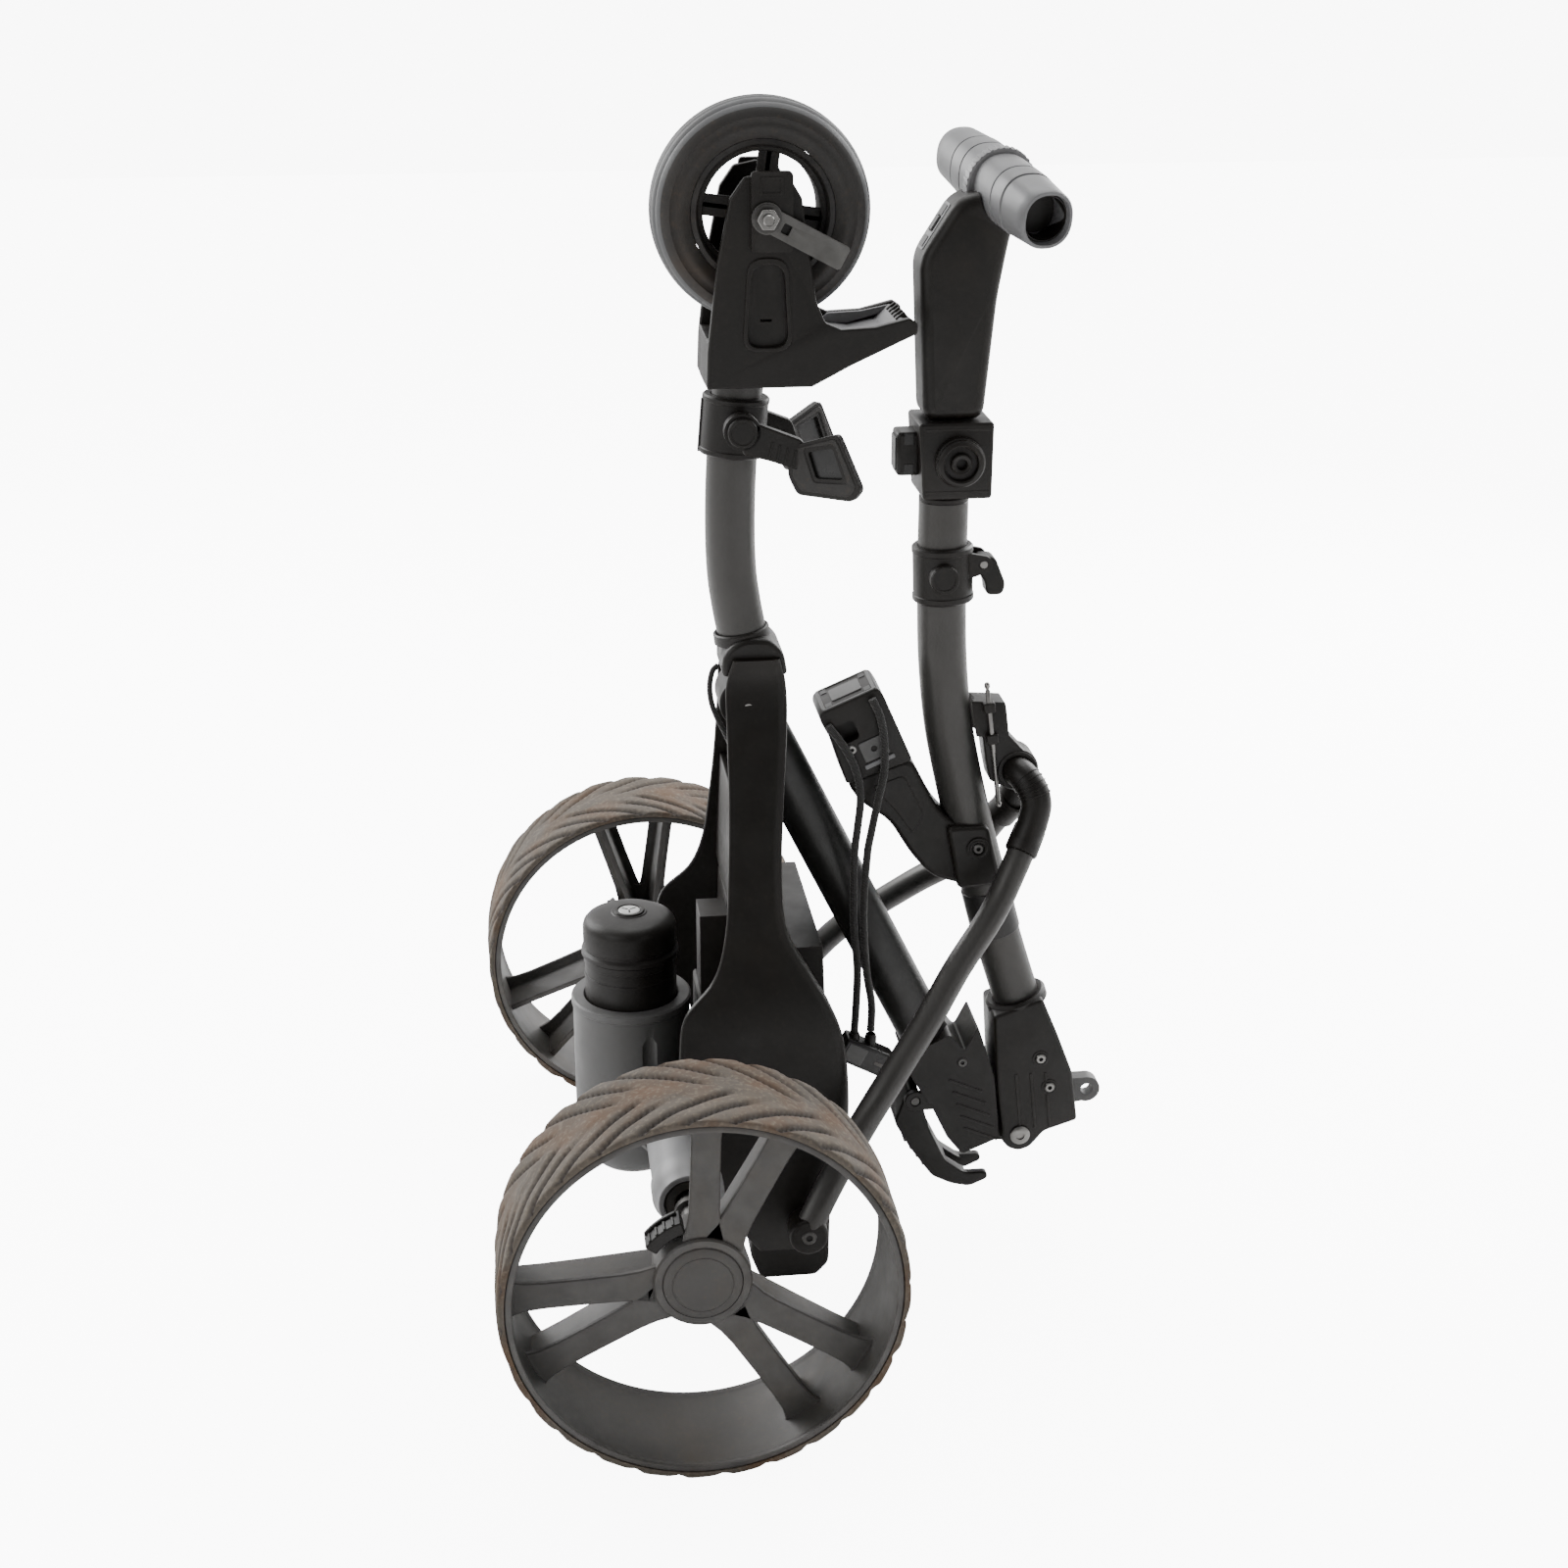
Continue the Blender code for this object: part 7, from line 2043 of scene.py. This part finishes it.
        shapes = [carved(body, room, dial_room, key_room)]
        strip = Matrix.Translation((low + high) / 2) @ Matrix.Rotation(turn, 4, "Y")
        outer = ((-0.0185, -0.0095), (0.0185, -0.0095), (0.0185, 0.0095), (-0.0185, 0.0095))
        inner = ((-0.0064, -0.0064), (0.0064, -0.0064), (0.0064, 0.0064), (-0.0064, 0.0064))
        centre = strip.inverted() @ button_at
        inner = [(x + centre.x, y) for x, y in inner]
        shapes.append(cutout("key_strip", rounded(outer, 0.003), -0.0010, 0.0005, PALE_GREY,
                [rounded(inner, 0.001)],
                             0.0, 0.0004, strip))
        for number, x in enumerate((-0.0125, 0.0125)):
            key = [(x + a, b) for a, b in ((-0.0042, -0.0056), (0.0042, -0.0056), (0.0042, 0.0056),
                    (-0.0042, 0.0056))]
            shapes.append(cutout(f"key_{number}", rounded(key, 0.0012), 0.0, 0.0011, BLACK_GLOSS,
                    bevel=0.0004,
                                 place=strip))
        return fused("handle_shell", shapes)

    def bar(self) -> bpy.types.Object:
        """The grip: two tapered wings with seam rings and dark open D-shaped ends."""
        half, wide, gap = self.grip_half, self.grip_radius, self.dial_width / 2 + GAP
        rings = []

        def ring(radius: float, height: float) -> None:
            """Adds a rounded D section at a height along the grip."""
            flat = 0.94
            section = [Vector((radius * flat * math.copysign(abs(math.cos(t)) ** 0.86, math.cos(t)),
                               radius * math.copysign(abs(math.sin(t)) ** 0.86, math.sin(t)), height))
                       for t in np.linspace(0, 2 * math.pi, 72, endpoint=False)]
            rings.append([self.grip @ point for point in section])

        shapes = []
        for side, start in ((-1, self.dial_place - gap), (1, self.dial_place + gap)):
            rings.clear()
            hollow, rim = half - 0.030, half
            for radius, height in ((0.0040, side * hollow), (0.0140, side * (hollow + 0.0010)),
                                   (0.0165, side * (rim - 0.0040)), (0.0172, side * rim),
                                   (0.0190, side * rim),
                                   (0.0198, side * (rim - 0.0010)), (0.0204, side * (rim - 0.0100)),
                                   (0.0214, side * 0.0560), (0.0219, side * 0.0480), (0.0212, side * 0.0474),
                                   (0.0212, side * 0.0462), (wide - 0.0002, side * 0.0456),
                                   (wide, side * 0.0420),
                                   (wide, side * 0.0300), (wide - 0.0008, side * 0.0296), (wide - 0.0008,
                                   side * 0.0286),
                                   (wide, side * 0.0282), (wide, start + side * 0.0008), (wide - 0.0008,
                                   start),
                                   (0.0060, start)):
                ring(radius, height)
            shapes.append(lofted(f"wing_{side + 1}", rings, GRIP_GREY, 40))
            plug = [(0, side * (half - 0.0240)), (0.0158, side * (half - 0.0240)),
                    (0.0160, side * (half - 0.0050)),
                    (0.0152, side * (half - 0.0050)), (0.0150, side * (half - 0.0220)),
                    (0, side * (half - 0.0220))]
            shapes.append(turned(f"end_{side + 1}", plug, BLACK_SHELL, self.grip, 64))
        return fused("handle_grip", shapes)

    def dial(self) -> bpy.types.Object:
        """The speed dial: a thin wheel with a notched rim."""
        half, wide = self.dial_width / 2, self.dial_radius
        profile = [(wide - 0.0018, half), (wide - 0.0006, half - 0.0008), (wide - 0.0006, -half + 0.0008),
                   (wide - 0.0018, -half), (0.0145, -half), (0.0145, half)]
        place = self.grip @ Matrix.Translation((0, 0, self.dial_place))
        shapes = [turned("wheel", profile, PALE_GREY, place, 96, True)]
        for number in range(36):
            turn = Matrix.Rotation(2 * math.pi * number / 36, 4, "Z")
            notch = ((wide - 0.0014, -0.0012), (wide, -0.0008), (wide, 0.0008), (wide - 0.0014, 0.0012))
            shapes.append(cutout(f"notch_{number}", notch, -half + 0.0006, half - 0.0006, PALE_GREY,
                    bevel=0.0,
                                 place=place @ turn))
        return fused("dial_wheel", shapes)


# ---- Struts -------------------------------------------------------------------------
@dataclass
class Struts:
    """The sliding crown block with its lock pin, the crown and the two struts."""

    pivot: tuple[float, float] = (0.2685, 0.3965)
    foot: tuple[float, float] = (0.0915, 0.0840)
    block_side: float = 0.0120
    crown_radius: float = 0.0117
    strut_radius: float = 0.0105
    pin_radius: float = 0.0022
    crown_end: tuple[float, float, float] = (0.2665, 0.0400, 0.3396)
    crown_run: tuple[float, float, float] = (-0.0440, 0.0460, -0.0770)
    crown: Points = ((0.2685, 0.0125, 0.3965), (0.2690, 0.0160, 0.3962), (0.2712, 0.0205, 0.3947),
                     (0.2745, 0.0248, 0.3910), (0.2775, 0.0280, 0.3858), (0.2793, 0.0300, 0.3795),
                     (0.2794, 0.0315, 0.3725), (0.2762, 0.0338, 0.3605))
    leg: Points = ((0.2431, 0.0580, 0.2996), (0.2115, 0.0850, 0.2680), (0.1866, 0.1090, 0.2403),
                   (0.1601, 0.1310, 0.2120), (0.1390, 0.1440, 0.1857), (0.1229, 0.1500, 0.1608),
                   (0.1059, 0.1475, 0.1236), (0.0915, 0.1400, 0.0840))

    @property
    def run(self) -> Vector:
        """The direction in which each leg leaves the crown, on the far side."""
        return Vector(self.crown_run).normalized()

    @property
    def pin_ends(self) -> tuple[Vector, Vector]:
        """The lock pin's lower and upper ends."""
        y = -self.block_side - 0.0030
        return Vector((0.2542, y, 0.3686)), Vector((0.2419, y, 0.4694))

    def build(self) -> None:
        """Builds the struts' pieces."""
        settle(self.slide_block(), "slide_block", BLACK_SHELL, "crown_block")
        settle(self.pin(), "pin", PLATED, "lock_pin")
        settle(self.crown_tube(), "struts", BLACK_SHELL, "strut_crown")
        for side in Side:
            settle(self.strut(side), "struts", GRAPHITE, "strut_" + side.word)

    def slide_block(self) -> bpy.types.Object:
        """The block that slides on the upper tube: a shoe, a boss for the crown and pin guides."""
        outline = [(0.2309, 0.4535), (0.2575, 0.4515), (0.2588, 0.4450), (0.2612, 0.4250)]
        outline += arc(self.pivot, 0.0165, 75, -130, 28)
        outline += [(0.2475, 0.3890), (0.2440, 0.4050), (0.2410, 0.4245), (0.2330, 0.4250)]
        side = self.block_side
        body = cutout("shoe", outline, -side, side, BLACK_SHELL, bevel=0.0014)
        room = swept("room", [point for point in smooth(in_middle(UPPER_LINE[4:9]), 3)], MAIN_TUBE + 0.0035,
                     BLACK_SHELL)
        room.modifiers.clear()
        bore = cutout("bore", arc(self.pivot, self.crown_radius + GAP), -0.03, 0.03, BLACK_SHELL, bevel=0.0)
        shapes = [carved(body, room, bore)]
        low, high = self.pin_ends
        turn = math.atan2(high.x - low.x, high.z - low.z)
        for share in (0.55, 0.80):
            at = low.lerp(high, share)
            shapes.append(block("guide", (0.0090, 0.0080, 0.0080), (at.x, -side - 0.0020, at.z), BLACK_SHELL,
                    turn,
                                bevel=0.0012))
        for face in (-1, 1):
            place = (self.pivot[0], face * (side + 0.0002), self.pivot[1])
            ring = [(0.0122, 0), (0.0122, 0.0008), (0.0150, 0.0008), (0.0156, 0)]
            shapes.append(turned("boss_ring", ring, BLACK_SHELL, facing((0, face, 0), place), 48, True))
        return fused("crown_shoe", shapes)

    def pin(self) -> bpy.types.Object:
        """The lock pin: a bright rod with round tips."""
        low, high = self.pin_ends
        long, thin = (high - low).length, self.pin_radius
        profile = [(0, 0), (0.0014, 0.0004), (thin, 0.0016), (thin, 0.0030), (0.0013, 0.0040),
                (thin - 0.0004, 0.0050),
                   (thin - 0.0004, long - 0.0070), (0.0012, long - 0.0056), (thin, long - 0.0040),
                   (thin, long - 0.0016), (0.0014, long - 0.0004), (0, long)]
        return turned("lock_rod", profile, PLATED, facing(high - low, low), 28)

    def crown_tube(self) -> bpy.types.Object:
        """The crown: a bent black tube with a flange and fine ribs at each end."""
        end = Vector(self.crown_end)
        far = [Vector(point) for point in self.crown]
        bent = smooth(far, 4) + [end - self.run * 0.006, end - self.run * GAP]
        near = [Vector((point.x, -point.y, point.z)) for point in reversed(bent)]
        shapes = [swept("crown_bar", near + bent, self.crown_radius, BLACK_SHELL)]
        wide = self.crown_radius
        for side in (-1, 1):
            run = Vector((self.run.x, side * self.run.y, self.run.z))
            centre = Vector((end.x, side * end.y, end.z)) - run * 0.012
            sleeve = [(wide - 0.001, -0.010), (wide + 0.0006, -0.009), (wide + 0.0010, 0.0100),
                    (wide + 0.0004, 0.0112),
                      (self.strut_radius + GAP, 0.0112)]
            shapes.append(turned(f"sleeve_{side + 1}", sleeve, BLACK_SHELL, facing(run, centre), 56))
            for number in range(5):
                first, second = bent[10 + 2 * number], bent[11 + 2 * number]
                at = Vector((first.x, side * first.y, first.z))
                way = Vector((second.x - first.x, side * (second.y - first.y), second.z - first.z))
                rib = [(wide - 0.0006, -0.0007), (wide + 0.0007, -0.0004), (wide + 0.0007, 0.0004),
                       (wide - 0.0006, 0.0007)]
                shapes.append(turned(f"rib_{number}_{side + 1}", rib, BLACK_SHELL, facing(way, at), 48,
                        True))
        return fused("crown_bend", shapes)

    def strut(self, side: Side) -> bpy.types.Object:
        """A strut: a bent tube that ends in a flat round eye with a capped bolt."""
        end = Vector(self.crown_end)
        line = [end] + smooth([end + self.run * 0.006, *self.leg], 5)
        line = [(point[0], side.value * point[1], point[2]) for point in line]
        outer = side.value * 0.1520
        low, high = sorted((side.value * 0.1295, outer))
        shapes = [swept("leg", line, self.strut_radius, GRAPHITE),
                  disc("eye", self.foot, 0.0145, low, high, BLACK_SHELL, 0.0020),
                  screw_head("eye_bolt", (self.foot[0], outer - side.value * 0.0020, self.foot[1]),
                  (0, side.value, 0),
                             0.0062, DARK_STEEL)]
        return fused("strut_leg_" + side.word, shapes)


def main() -> None:
    """Builds the stage and the trolley's sub-assemblies, in order."""
    logging.basicConfig(level=logging.INFO, format="%(message)s")
    Studio().build()
    for side in Side:
        DriveWheel(side).build()
    for assembly in (FrontWheel(), Chassis(), Drive(), LowerCradle(), LowerFrame(), UpperFrame(), Handle(),
            Struts()):
        assembly.build()


if __name__ == "__main__":
    main()
